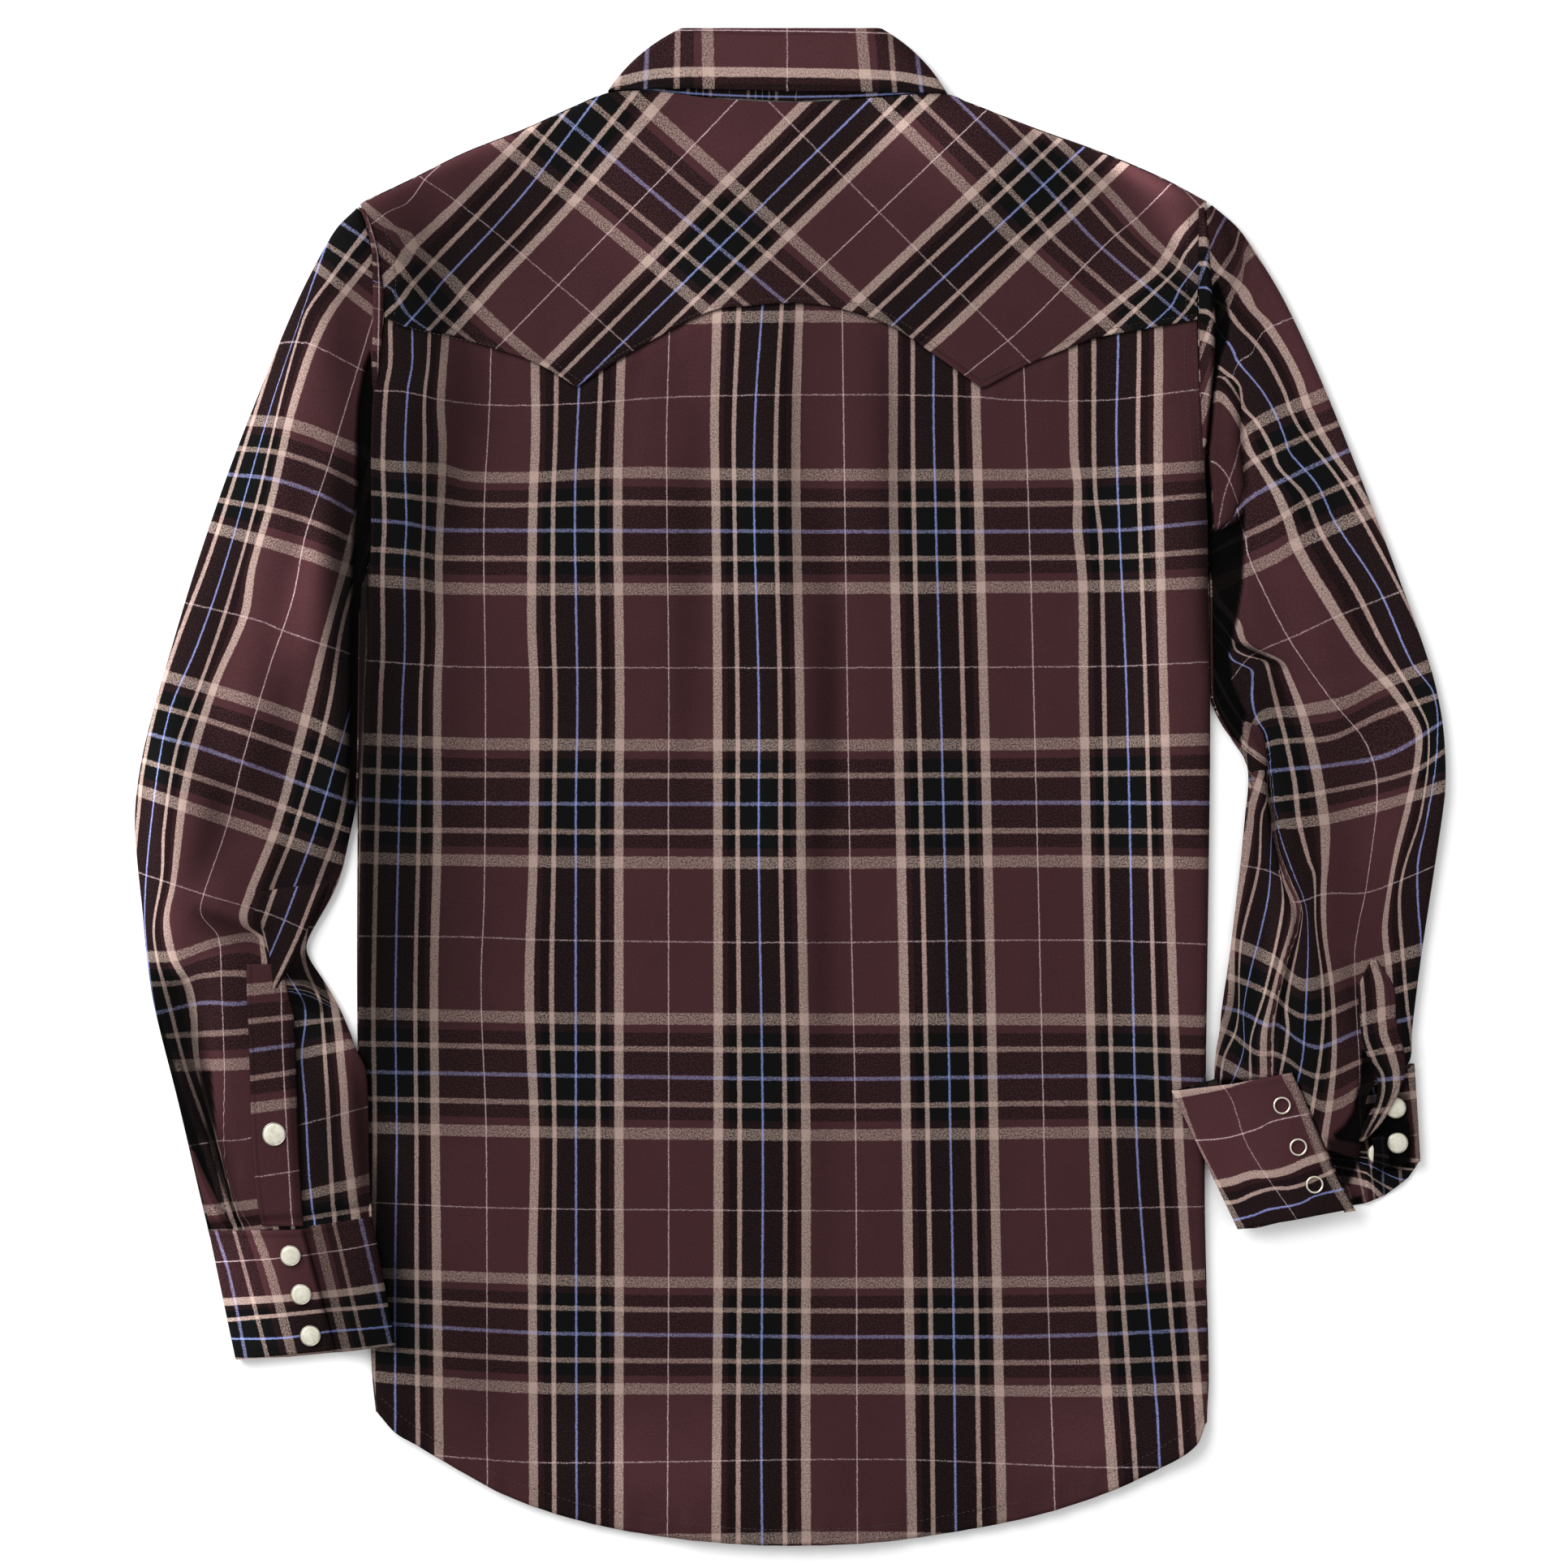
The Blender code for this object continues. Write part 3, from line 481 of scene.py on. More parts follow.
@dataclass(frozen=True)
class Seam:
    """A row of topstitching along a line on the drafting grid."""

    path: str
    pitch: float = 2.6         # millimetres from stitch to stitch

    def centres(self, base: Face) -> Array:
        """Centres of the stitches, with their heights.

        Args:
            base: Height and painted shade of the cloth beneath.

        Returns:
            Places in millimetres.
        """
        line = way(self.path)
        at = np.arange(0.0, lengths_along(line)[-1], self.pitch / GRID_STEP)
        gx, gy = points_along(line, at).T
        x, y = plan_x(gx), plan_y(gy)
        return np.stack([x, y, base(x, y)[0]], axis=1)


# Finishes.

class Nodes:
    """Short calls for building one material's nodes."""

    def __init__(self, name: str) -> None:
        """Start a material with an empty node tree.

        Args:
            name: The material's name.
        """
        self.material = bpy.data.materials.new(name)
        self.material.use_nodes = True
        self.tree = self.material.node_tree
        self.shader = self.tree.nodes["Principled BSDF"]

    def add(self, kind: str, **settings: object) -> bpy.types.Node:
        """Add a node.

        Args:
            kind: Its type.
            settings: Its properties.

        Returns:
            The node.
        """
        node = self.tree.nodes.new(kind)
        for name, value in settings.items():
            setattr(node, name, value)
        return node

    def feed(self, socket: Socket, value: object) -> None:
        """Link an output into a socket, or set the socket to a constant.

        Args:
            socket: The input.
            value: The output or the constant.
        """
        if isinstance(value, bpy.types.NodeSocket):
            self.tree.links.new(value, socket)
        else:
            socket.default_value = value

    def math(self, operation: str, *values: object) -> Socket:
        """Combine numbers.

        Args:
            operation: The Math node's operation.
            values: Outputs or constants, in the order of its inputs.

        Returns:
            The result.
        """
        node = self.add("ShaderNodeMath", operation=operation)
        for socket, value in zip(node.inputs, values):
            self.feed(socket, value)
        return node.outputs[0]

    def noise(self, vector: Socket, scale: float, detail: float = 2.0,
              distortion: float = 0.0) -> Socket:
        """Noise texture.

        Args:
            vector: Where it is read.
            scale: How fine it is.
            detail: How many finer layers it has.
            distortion: How twisted it is.

        Returns:
            A number from 0 to 1.
        """
        node = self.add("ShaderNodeTexNoise")
        self.feed(node.inputs["Vector"], vector)
        node.inputs["Scale"].default_value = scale
        node.inputs["Detail"].default_value = detail
        node.inputs["Distortion"].default_value = distortion
        return node.outputs["Fac"]

    def mix(self, factor: object, first: object, second: object, blend: str = "MIX") -> Socket:
        """Mix two colours.

        Args:
            factor: Share of the second.
            first: The first colour.
            second: The second colour.
            blend: How they are blended.

        Returns:
            The mixed colour.
        """
        node = self.add("ShaderNodeMix", data_type="RGBA", blend_type=blend)
        for name, value in (("Factor", factor), ("A", first), ("B", second)):
            self.feed(node.inputs[name], value)
        return node.outputs["Result"]

    def dim(self, colour: Socket, share: Socket) -> Socket:
        """Multiply a colour by a number.

        Args:
            colour: The colour.
            share: The number.

        Returns:
            The dimmed colour.
        """
        grey = self.add("ShaderNodeCombineColor")
        for socket in grey.inputs:
            self.feed(socket, share)
        return self.mix(1.0, colour, grey.outputs[0], "MULTIPLY")

    def grain(self, *fineness: float) -> Socket:
        """Noise on the piece's own place, with the scale, detail and distortion of its grain."""
        return self.noise(self.add("ShaderNodeTexCoord").outputs["Object"], *fineness)

    def colour(self, factor: Socket, dark: Colour, light: Colour) -> None:
        """Colour the surface between two colours by a factor."""
        mixed = self.mix(factor, (*dark, 1.0), (*light, 1.0))
        self.feed(self.shader.inputs["Base Color"], mixed)

    def finished(self, **levels: float) -> bpy.types.Material:
        """Set what is the same all over the surface.

        Args:
            levels: Levels by their sockets' names, with _ for a blank.

        Returns:
            The material.
        """
        for name, level in levels.items():
            self.shader.inputs[name.replace("_", " ")].default_value = level
        return self.material


@dataclass(frozen=True)
class Band:
    """A stripe of the sett, out to a distance from the blue thread in grid steps."""

    out_to: float
    colour: Colour


MAROON: Colour = (0.0389, 0.0142, 0.0164)
BROWN: Colour = (0.020, 0.008, 0.009)
CHARCOAL: Colour = (0.0056, 0.0057, 0.0056)
BLACK: Colour = (0.0046, 0.0036, 0.0040)
CREAM: Colour = (0.262, 0.190, 0.166)
PALE: Colour = (0.42, 0.31, 0.32)
WARP_BLUE: Colour = (0.140, 0.175, 0.370)
WEFT_BLUE: Colour = (0.155, 0.165, 0.290)

WARP_SETT = (Band(1.2, WARP_BLUE), Band(24.5, CHARCOAL), Band(29.8, CREAM), Band(40.0, BLACK),
             Band(47.0, BROWN), Band(58.0, CREAM), Band(112.5, MAROON), Band(113.0, PALE))
WEFT_SETT = (Band(2.3, WEFT_BLUE), Band(31.0, CHARCOAL), Band(37.5, CREAM), Band(54.0, CHARCOAL),
             Band(64.0, MAROON), Band(78.5, CREAM), Band(166.9, MAROON), Band(167.5, PALE))


@dataclass(frozen=True)
class PlaidCloth:
    """Soft twill of dyed yarns, woven to the two setts."""

    name: str = "plaid_twill"
    warp_share: float = 0.65       # how much of the face the lengthwise yarns take
    speckle: float = 1.9           # how far uneven yarns break up the weave
    uneven: float = 1.25           # how fine that unevenness is
    ribs: float = 6.3              # twill ribs, in radians a millimetre
    wobble: float = 0.007          # sideways unevenness of the stripes, in repeats
    dark_from: float = 0.0208      # brightness below which black yarns swallow the light
    dark_least: float = 0.40       # what is left of the light at most
    fibre_tone: float = 0.62       # how much the fibres, the mottling and the rest give to the tone
    mottle_tone: float = 0.22
    plain_tone: float = 0.67
    roughness: float = 0.88
    bump: float = 0.12             # millimetres

    def build(self) -> bpy.types.Material:
        """Make the cloth's material.

        Returns:
            The material.
        """
        nodes = Nodes(self.name)
        uv = nodes.add("ShaderNodeUVMap", uv_map="Threads").outputs["UV"]
        split = nodes.add("ShaderNodeSeparateXYZ")
        nodes.feed(split.inputs[0], uv)
        warp_mm = nodes.math("MULTIPLY", split.outputs[0], WARP_REPEAT * GRID_STEP)
        weft_mm = nodes.math("MULTIPLY", split.outputs[1], WEFT_REPEAT * GRID_STEP)
        combined = nodes.add("ShaderNodeCombineXYZ")
        nodes.feed(combined.inputs[0], warp_mm)
        nodes.feed(combined.inputs[1], weft_mm)
        place = combined.outputs[0]

        centred = nodes.math("SUBTRACT", nodes.noise(place, 0.35), 0.5)
        wobble = nodes.math("MULTIPLY", centred, self.wobble)
        warp = self._sett(nodes, split.outputs[0], wobble, WARP_SETT)
        weft = self._sett(nodes, split.outputs[1], wobble, WEFT_SETT)
        weave = self._weave(nodes, place, nodes.math("ADD", warp_mm, weft_mm))
        cloth = nodes.mix(weave, weft, warp)

        bulk = nodes.add("ShaderNodeRGBToBW")
        nodes.feed(bulk.inputs[0], cloth)
        depth = nodes.math("POWER", nodes.math("DIVIDE", bulk.outputs[0], self.dark_from), 2.0)
        depth = nodes.math("MINIMUM", nodes.math("MAXIMUM", depth, self.dark_least), 1.0)
        cloth = nodes.dim(cloth, depth)

        fibres = nodes.noise(place, 0.75, 3.0)
        mottle = nodes.math("MULTIPLY", nodes.noise(place, 0.05, 3.0), self.mottle_tone)
        tone = nodes.math("ADD", nodes.math("MULTIPLY", fibres, self.fibre_tone), mottle)
        cloth = nodes.dim(cloth, nodes.math("ADD", tone, self.plain_tone))
        # Painted shade: the shade attribute darkens the colour in creases, hollows and shaded parts,
        # and lightens it where negative.
        shade = nodes.add("ShaderNodeAttribute", attribute_name="shade").outputs["Fac"]
        cloth = nodes.dim(cloth, nodes.math("SUBTRACT", 1.0, shade))

        nodes.feed(nodes.shader.inputs["Base Color"], cloth)
        bump = nodes.add("ShaderNodeBump")
        bump.inputs["Strength"].default_value = 0.35
        bump.inputs["Distance"].default_value = self.bump * MM
        nodes.feed(bump.inputs["Height"], nodes.math("ADD", weave, fibres))
        nodes.feed(nodes.shader.inputs["Normal"], bump.outputs[0])
        return nodes.finished(Roughness=self.roughness, Specular_IOR_Level=0.05)

    def _weave(self, nodes: Nodes, place: Socket, diagonal: Socket) -> Socket:
        """Share of the lengthwise yarns over the face: twill ribs broken by uneven yarns.

        Args:
            nodes: The material's nodes.
            place: Place in the cloth, in millimetres.
            diagonal: Millimetres across the ribs.

        Returns:
            The share.
        """
        ribs = nodes.math("SINE", nodes.math("MULTIPLY", diagonal, self.ribs))
        uneven = nodes.math("SUBTRACT", nodes.noise(place, self.uneven, 1.0), 0.5)
        share = nodes.math("MULTIPLY_ADD", uneven, self.speckle, self.warp_share)
        share = nodes.math("MULTIPLY_ADD", ribs, 0.10, share)
        return nodes.math("MINIMUM", nodes.math("MAXIMUM", share, 0.0), 1.0)

    @staticmethod
    def _sett(nodes: Nodes, repeats: Socket, wobble: Socket, sett: Sequence[Band]) -> Socket:
        """Colour of one direction's yarns.

        Args:
            nodes: The material's nodes.
            repeats: Place across these yarns, in repeats.
            wobble: Small sideways unevenness, in repeats.
            sett: The stripes from the blue thread out to the middle of the repeat.

        Returns:
            The colour.
        """
        folded = nodes.math("PINGPONG", nodes.math("ADD", repeats, wobble), 0.5)
        colours = nodes.add("ShaderNodeValToRGB")
        nodes.feed(colours.inputs[0], nodes.math("MULTIPLY", folded, 2.0))
        stops = colours.color_ramp
        half = sett[-1].out_to
        soft = 0.5 / half
        first = stops.elements[0]
        first.position, first.color = 0.0, (*sett[0].colour, 1.0)
        stops.elements.remove(stops.elements[1])
        for band, following in zip(sett, sett[1:]):
            edge = band.out_to / half
            stops.elements.new(edge - soft).color = (*band.colour, 1.0)
            stops.elements.new(edge + soft).color = (*following.colour, 1.0)
        return colours.outputs[0]


@dataclass(frozen=True)
class Pearl:
    """Cream pearl of a snap's cap, faintly clouded."""

    name: str = "pearl_cap"
    dark: Colour = (0.40, 0.375, 0.295)
    light: Colour = (0.62, 0.60, 0.51)

    def build(self) -> bpy.types.Material:
        """Make the pearl's material.

        Returns:
            The material.
        """
        nodes = Nodes(self.name)
        cloud = nodes.math("MULTIPLY_ADD", nodes.grain(260.0, 3.0, 1.2), 1.8, -0.4)
        nodes.colour(cloud, self.dark, self.light)
        return nodes.finished(Roughness=0.28, Coat_Weight=0.35, Coat_Roughness=0.12)


@dataclass(frozen=True)
class Metal:
    """Pale plated metal, lightly brushed."""

    name: str
    light: Colour
    dark: Colour
    roughness: float = 0.32

    def build(self) -> bpy.types.Material:
        """Make the metal's material.

        Returns:
            The material.
        """
        nodes = Nodes(self.name)
        worn = nodes.grain(900.0, 3.0)
        nodes.colour(worn, self.dark, self.light)
        nodes.feed(nodes.shader.inputs["Roughness"],
                   nodes.math("MULTIPLY_ADD", worn, 0.2, self.roughness - 0.1))
        return nodes.finished(Metallic=1.0)


@dataclass(frozen=True)
class SewingThread:
    """Dull twisted sewing thread."""

    name: str = "seam_thread"
    light: Colour = (0.030, 0.014, 0.015)
    dark: Colour = (0.015, 0.007, 0.0075)

    def build(self) -> bpy.types.Material:
        """Make the thread's material.

        Returns:
            The material.
        """
        nodes = Nodes(self.name)
        nodes.colour(nodes.grain(2500.0, 1.0), self.dark, self.light)
        return nodes.finished(Roughness=0.7)


@dataclass(frozen=True)
class Paper:
    """Plain matt white paper, with the faintest grain."""

    name: str = "white_paper"

    def build(self) -> bpy.types.Material:
        """Make the paper's material.

        Returns:
            The material.
        """
        nodes = Nodes(self.name)
        nodes.colour(nodes.grain(40.0, 2.0), (0.93, 0.93, 0.93), (0.95, 0.95, 0.95))
        return nodes.finished(Roughness=0.95, Specular_IOR_Level=0.0)


# Making meshes.

@dataclass
class Sheet:
    """A grid of cloth: rows down it and columns across, with places in millimetres."""

    x: Array
    y: Array
    z: Array
    warp: Array
    weft: Array
    # painted shade, 0 to 1; negative values paint a highlight
    shade: Array
    facing_up: bool = True     # whether rows run down and columns to the right

    @classmethod
    def charted(cls, x: Array, y: Array, z: Array, chart: Chart | StraightChart, shade: Array,
                facing_up: bool = True) -> "Sheet":
        """A sheet whose threads follow a chart."""
        return cls(x, y, z, *chart.cloth(x, y), shade, facing_up)


@dataclass(frozen=True)
class Origin:
    """Where the middle of the body lies in the frame, in metres."""

    x: float
    y: float

    @classmethod
    def from_frame(cls) -> "Origin":
        """Find the middle from the centre band's solid."""
        low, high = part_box("front_band")
        return cls((low.x + high.x) / 2.0, high.y - FRONT_NECK_TOP * MM)

    def place(self, x: Array, y: Array, z: Array) -> Array:
        """Millimetres in plan and height, as points in the frame in metres."""
        points = np.stack([np.ravel(x), np.ravel(y), np.ravel(z)], axis=1) * MM
        return points + np.array([self.x, self.y, 0.0])


@dataclass(frozen=True)
class Stitch:
    """The shape of one stitch, in millimetres."""

    length: float = 1.9
    full: float = 1.2          # length over which it has its full thickness
    width: float = 0.34
    top: float = 0.24          # height of its middle
    tips: float = 0.08         # height of its two ends
    sunk: float = 0.02         # height of its sides

    def points(self, centre: Array, run: Array, side: Array) -> list[Array]:
        """Four cross-sections of three points each.

        Args:
            centre: Its middle.
            run: Direction along it.
            side: Direction across it.

        Returns:
            The points, from one end to the other.
        """
        tip, full = self.length / 2.0, self.full / 2.0
        made = []
        for at, share in ((-tip, 0.0), (-full, 1.0), (full, 1.0), (tip, 0.0)):
            middle = centre + run * at
            aside = side * self.width / 2.0 * share
            made.append(middle + aside + (0.0, 0.0, self.sunk))
            made.append(middle + (0.0, 0.0, self.tips + (self.top - self.tips) * share))
            made.append(middle - aside + (0.0, 0.0, self.sunk))
        return made


class Workshop:
    """Turns sheets and rows of stitches into finished pieces that ride on the frame."""

    def __init__(self, origin: Origin) -> None:
        """Keep the origin and make the finishes once.

        Args:
            origin: The middle of the body.
        """
        self.origin = origin
        self.cloth = PlaidCloth().build()
        self.thread = SewingThread().build()
        self.pearl = Pearl().build()
        self.rim = Metal("snap_rim", (0.36, 0.33, 0.27), (0.252, 0.231, 0.189)).build()
        self.ring = Metal("ring_metal", (0.80, 0.75, 0.62), (0.56, 0.525, 0.434)).build()

    def sheet(self, node: str, *sheets: Sheet) -> bpy.types.Object:
        """Make a cloth piece from one or more grids, in place of its solid.

        Args:
            node: The solid's name.
            sheets: The outer faces of the cloth.

        Returns:
            The piece.
        """
        points, faces, start = [], [], 0
        for sheet in sheets:
            rows, columns = sheet.x.shape
            number = np.arange(rows * columns).reshape(rows, columns) + start
            corners = [number[:-1, :-1], number[1:, :-1], number[1:, 1:], number[:-1, 1:]]
            if not sheet.facing_up:
                corners.reverse()
            faces.append(np.stack([corner.ravel() for corner in corners], axis=1))
            points.append(self.origin.place(sheet.x, sheet.y, sheet.z))
            start += rows * columns
        corner = np.concatenate(faces)
        mesh = bpy.data.meshes.new(node + "_cloth")
        mesh.from_pydata(np.concatenate(points).tolist(), [], corner.tolist())
        threads = mesh.uv_layers.new(name="Threads")
        warp = np.concatenate([sheet.warp.ravel() for sheet in sheets])
        weft = np.concatenate([sheet.weft.ravel() for sheet in sheets])
        pairs = np.stack([warp, weft], axis=1)[corner.ravel()]
        threads.data.foreach_set("uv", pairs.astype(np.float32).ravel())
        # the painted shade of all sheets, kept in the cloth's shade attribute
        shade = mesh.attributes.new("shade", "FLOAT", "POINT")
        values = np.concatenate([sheet.shade.ravel() for sheet in sheets])
        shade.data.foreach_set("value", values.astype(np.float32))
        mesh.shade_smooth()
        mesh.materials.append(self.cloth)
        piece = placed(mesh.name, mesh)
        solid = piece.modifiers.new("wall", "SOLIDIFY")
        solid.thickness = WALL * MM
        solid.offset = -1.0
        return self.stand_in(piece, "plaid_cloth", node)

    def stitches(self, name: str, seams: Sequence[Seam], base: Face) -> None:
        """Make rows of topstitching.

        Args:
            name: The rows' name.
            seams: The rows.
            base: Height and painted shade of the cloth beneath.
        """
        stitch = Stitch()
        points, faces = [], []
        for seam in seams:
            centres = seam.centres(base)
            along = np.gradient(centres, axis=0)
            along /= np.maximum(np.linalg.norm(along, axis=1), 1e-6)[:, None]
            aside = np.cross(along, (0.0, 0.0, 1.0))
            for centre, run, side in zip(centres, along, aside):
                for a in range(len(points), len(points) + 9, 3):
                    faces += [(a, a + 3, a + 4, a + 1), (a + 1, a + 4, a + 5, a + 2)]
                points += stitch.points(centre, run, side)
        mesh = bpy.data.meshes.new(name)
        mesh.from_pydata(self.origin.place(*np.array(points).T).tolist(), [], faces)
        mesh.materials.append(self.thread)
        mesh.shade_smooth()
        self.stand_in(placed(name, mesh), "plaid_cloth")

    def stand_in(self, piece: bpy.types.Object, slot: str, *nodes: str) -> bpy.types.Object:
        """Let a piece ride on the shirt in place of its solids.

        Args:
            piece: The piece.
            slot: What it is made of; not used.
            nodes: The solids that it replaces.

        Returns:
            The piece.
        """
        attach(piece, BODY)
        if nodes:
            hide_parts(*nodes)
        LOG.info("%s: %d points", piece.name, len(piece.data.vertices))
        return piece


# The body.

BODY_EDGE_LEFT = ((324, -234.5), (304, -229), (280, -223), (259, -220.6), (220, -226.5), (190, -228),
    (158, -228), (126, -228.6), (108, -233.6), (40, -235), (-5, -235), (-144, -235), (-230, -231.5),
    (-324, -227), (-350, -224.5))
BODY_EDGE_RIGHT = ((324, 234.5), (304, 231.8), (280, 229.6), (259, 229), (220, 230), (190, 232),
    (158, 234.3), (126, 235), (108, 235.2), (40, 235.8), (-5, 235.5), (-144, 233.6), (-230, 232.8),
    (-324, 235), (-350, 234))
SHOULDERS = ((-234.5, 322.5), (-204, 337), (-177, 350.5), (-143, 364), (-112, 378), (-97, 384),
    (-73, 385), (-39, 381), (4.5, 378.7), (48, 381), (74, 383.2), (92, 383), (104, 378), (140, 364),
    (176, 351), (209, 337), (234.5, 323.5))
YOKE_POINT_LEFT = (-113.9, 221.2)
YOKE_POINT_RIGHT = (110.3, 220.3)
YOKE_SEAM_LEFT = ((-221.4, 259.9), (-209.7, 254.5), (-185.4, 250.4), (-158, 241.9), (-135.5, 234.2),
    YOKE_POINT_LEFT)
YOKE_SEAM_MIDDLE = (YOKE_POINT_LEFT, (-89, 237.4), (-63, 252.2), (-39, 263.5), (-16.7, 266.2),
    (0.5, 267.5), (20.3, 266.6), (35.6, 263.5), (59.9, 254.9), (82.4, 240), YOKE_POINT_RIGHT)
YOKE_SEAM_RIGHT = (YOKE_POINT_RIGHT, (137.3, 234.7), (150.8, 240), (172.8, 248.2), (198, 253),
    (228.6, 258.5))
HEM = ((-224.5, -346), (-215, -357), (-202, -365), (-180, -378), (-154, -392), (-117, -405),
    (-74, -414), (-26, -418.7), (0, -419.6), (40, -418.7), (74, -415.6), (133, -405), (176, -392),
    (207, -378), (229, -364), (234, -352))
FRONT_NECK = ((17.5, 317), (30, 319), (50, 326), (72, 341), (88, 362), (97, 383))
WING_REACH = ((0, 250), (72, 248), (86, 292), (97, 340), (108, 395))

BACK_CHART = Chart(
    warps=(
        Thread(0, BLUE, "509,405 509,450 504,480 500,560 502,645 499.5,700 500,800 497,860 488.5,1220 "
            "490,1400 488,1560 488,1760"),
        Thread(0, THICK, "549,414 543,498 546,550 541,690 542,780 539,860 539,1040 535,1220 541,1760"),
        Thread(0, WHITE, "606,430 604,500 597,640 599,860 597.5,1100 593.5,1220 600,1400 601,1810"),
        Thread(1, THICK, "660,450 661,540 658,620 656,770 660,860 658,1060 653,1220 660,1400 657,1560 "
            "658,1760", before=True),
        Thread(1, BLUE, "714,478 709,620 712,860 710,1000 711,1860"),
        Thread(2, THICK, "883,430 881,530 883,620 885,860 885.5,1560 884,1740", before=True),
        Thread(2, BLUE, "940,375 931,500 929,620 935,860 935,1060 940,1400 938,1740 939,1890"),
        Thread(2, WHITE, "1039,500 1047,1060 1054,1400 1056,1860"),
        Thread(3, THICK, "1101,500 1101,620 1114,1220 1124,1860", before=True),
        Thread(3, BLUE, "1150,430 1150,530 1163.5,1060 1173.5,1560 1177,1860"),
        Thread(3, WHITE, "1260,430 1271,770 1289.5,1560 1299,1860"),
        Thread(4, THICK, "1322,430 1323,560 1328,600 1327,650 1334,720 1335,860 1347,1400 1353,1560 "
            "1372,1830", before=True),
        Thread(4, THIN, "1347,430 1348,600 1355,660 1358,760 1366,1220 1372,1400 1380,1560 1400,1830",
            before=True),
        Thread(4, BLUE, "1377,416 1375,560 1387.5,860 1399.5,1400 1410,1560 1425,1740 1429,1830"),
        Thread(4, THICK, "1426,416 1426,620 1451,1400 1476,1740")),
    wefts=(
        Thread(-1, WHITE, "460,483 490,483 515,487 540,493 600,500 700,499 835,490 1080,487.5 "
            "1200,490 1250,494 1360,494 1475,481"),
        Thread(0, THICK, "450,571 480,576 545,580 580,589 655,590 760,584 930,587 1300,586 1480,577",
            before=True),
        Thread(0, BLUE, "450,641 500,645 540,653 600,654 1360,654.5 1485,644"),
        Thread(0, THICK, "450,714 520,719 545,724 780,725 1380,721 1485,717"),
        Thread(0, WHITE, "450,814 575,822 1360,821.5 1485,816"),
        Thread(1, THICK, "450,912 600,918 1240,918.5 1485,912", before=True),
        Thread(1, BLUE, "450,985 520,989 965,990.5 1240,989 1485,989.5"),
        Thread(1, WHITE, "450,1153 575,1154 690,1158 1000,1161 1240,1158 1360,1158.5 1485,1163"),
        Thread(2, THICK, "450,1249 700,1255 1360,1257 1485,1259", before=True),
        Thread(2, BLUE, "450,1320 1000,1328.5 1360,1325 1480,1330"),
        Thread(2, WHITE, "450,1480 575,1486 690,1488.5 1000,1490.5 1240,1489.5 1485,1485.5"),
        Thread(3, THICK, "450,1568 690,1577 835,1580 1360,1578 1480,1570", before=True),
        Thread(3, BLUE, "450,1627 575,1636 690,1641.5 1240,1645.5 1480,1637"),
        Thread(3, WHITE, "480,1786 575,1795 690,1800.5 1080,1796 1360,1806.5 1440,1806")))
YOKE_CHART = Chart(
    warps=(
        Thread(-1, WHITE, "545,203 526,221 502,252 480,262 466,272", before=True),
        Thread(-1, THICK, "656,159 545,271 507,307 497,326 473,350", before=True),
        Thread(-1, THIN, "672,172 632,222 511,350 495,372 474,391", before=True),
        Thread(-1, BLUE, "700,169 654,230 609,282 545,350 526,374 502,401"),
        Thread(-1, WHITE, "907,127 640,402"),
        Thread(0, BLUE, "1072,124 712,478"),
        Thread(0, WHITE, "1213,139 969,372"),
        Thread(1, BLUE, "1335,183 1100,401"),
        Thread(1, WHITE, "1441,229 1401,269 1366,298 1262,403 1195,458"),
        Thread(2, THICK, "1483,257 1454,288 1442,312 1424,336 1380,371", before=True),
        Thread(2, THIN, "1476,293 1459,314 1447,336 1391,389", before=True),
        Thread(2, BLUE, "1472,331 1454,355 1442,379 1410,408"),
        Thread(2, THIN, "1472,365 1462,381 1447,398")),
    wefts=(
        Thread(0, BLUE, "461,349 480,355 490,367 500,384 509,394 526,406"),
        Thread(0, THIN, "465,302 485,319 511,353 543,389 570,412"),
        Thread(0, THICK, "456,262 480,281 497,288 507,305 545,336 581,374 622,413 661,446"),
        Thread(0, WHITE, "518,219 570,255 700,362 777,430"),
        Thread(1, BLUE, "700,151 965,372"),
        Thread(1, WHITE, "951,131 1240,420"),
        Thread(2, BLUE, "1178,124 1285,229 1343,293 1380,327 1460,394")),
    wefts_upright=True)
BACK_CREASES = (
    Crease("790,445 775,520 768,640", -0.9, 16, 22),
    Crease("845,420 848,620 846,860 850,1000", -1.3, 20, 26),
    Crease("900,400 905,640 900,900", 0.8, 22, 26),
    Crease("1020,400 1018,640 1022,900 1015,1100", -1.4, 20, 24),
    Crease("1064,410 1070,960", 1.0, 22, 22),
    Crease("1105,430 1118,620 1120,800", -0.8, 16, 18),
    Crease("560,440 548,560 556,700 548,900 556,1150", 0.9, 16, 22),
    Crease("520,440 522,620 518,900", -0.8, 12, 16),
    Crease("730,560 735,760 728,1000", 0.7, 20, 24),
    Crease("1250,480 1262,700 1255,980", -0.8, 26, 22),
    Crease("1330,470 1352,900", 0.8, 20, 18),
    Crease("700,1180 690,1420 705,1700", 0.7, 26, 30),
    Crease("880,1150 875,1400 885,1800", -0.7, 30, 34),
    Crease("1050,1200 1062,1500 1058,1820", 0.7, 34, 28),
    Crease("1260,1250 1250,1500 1262,1780", -0.7, 28, 32))
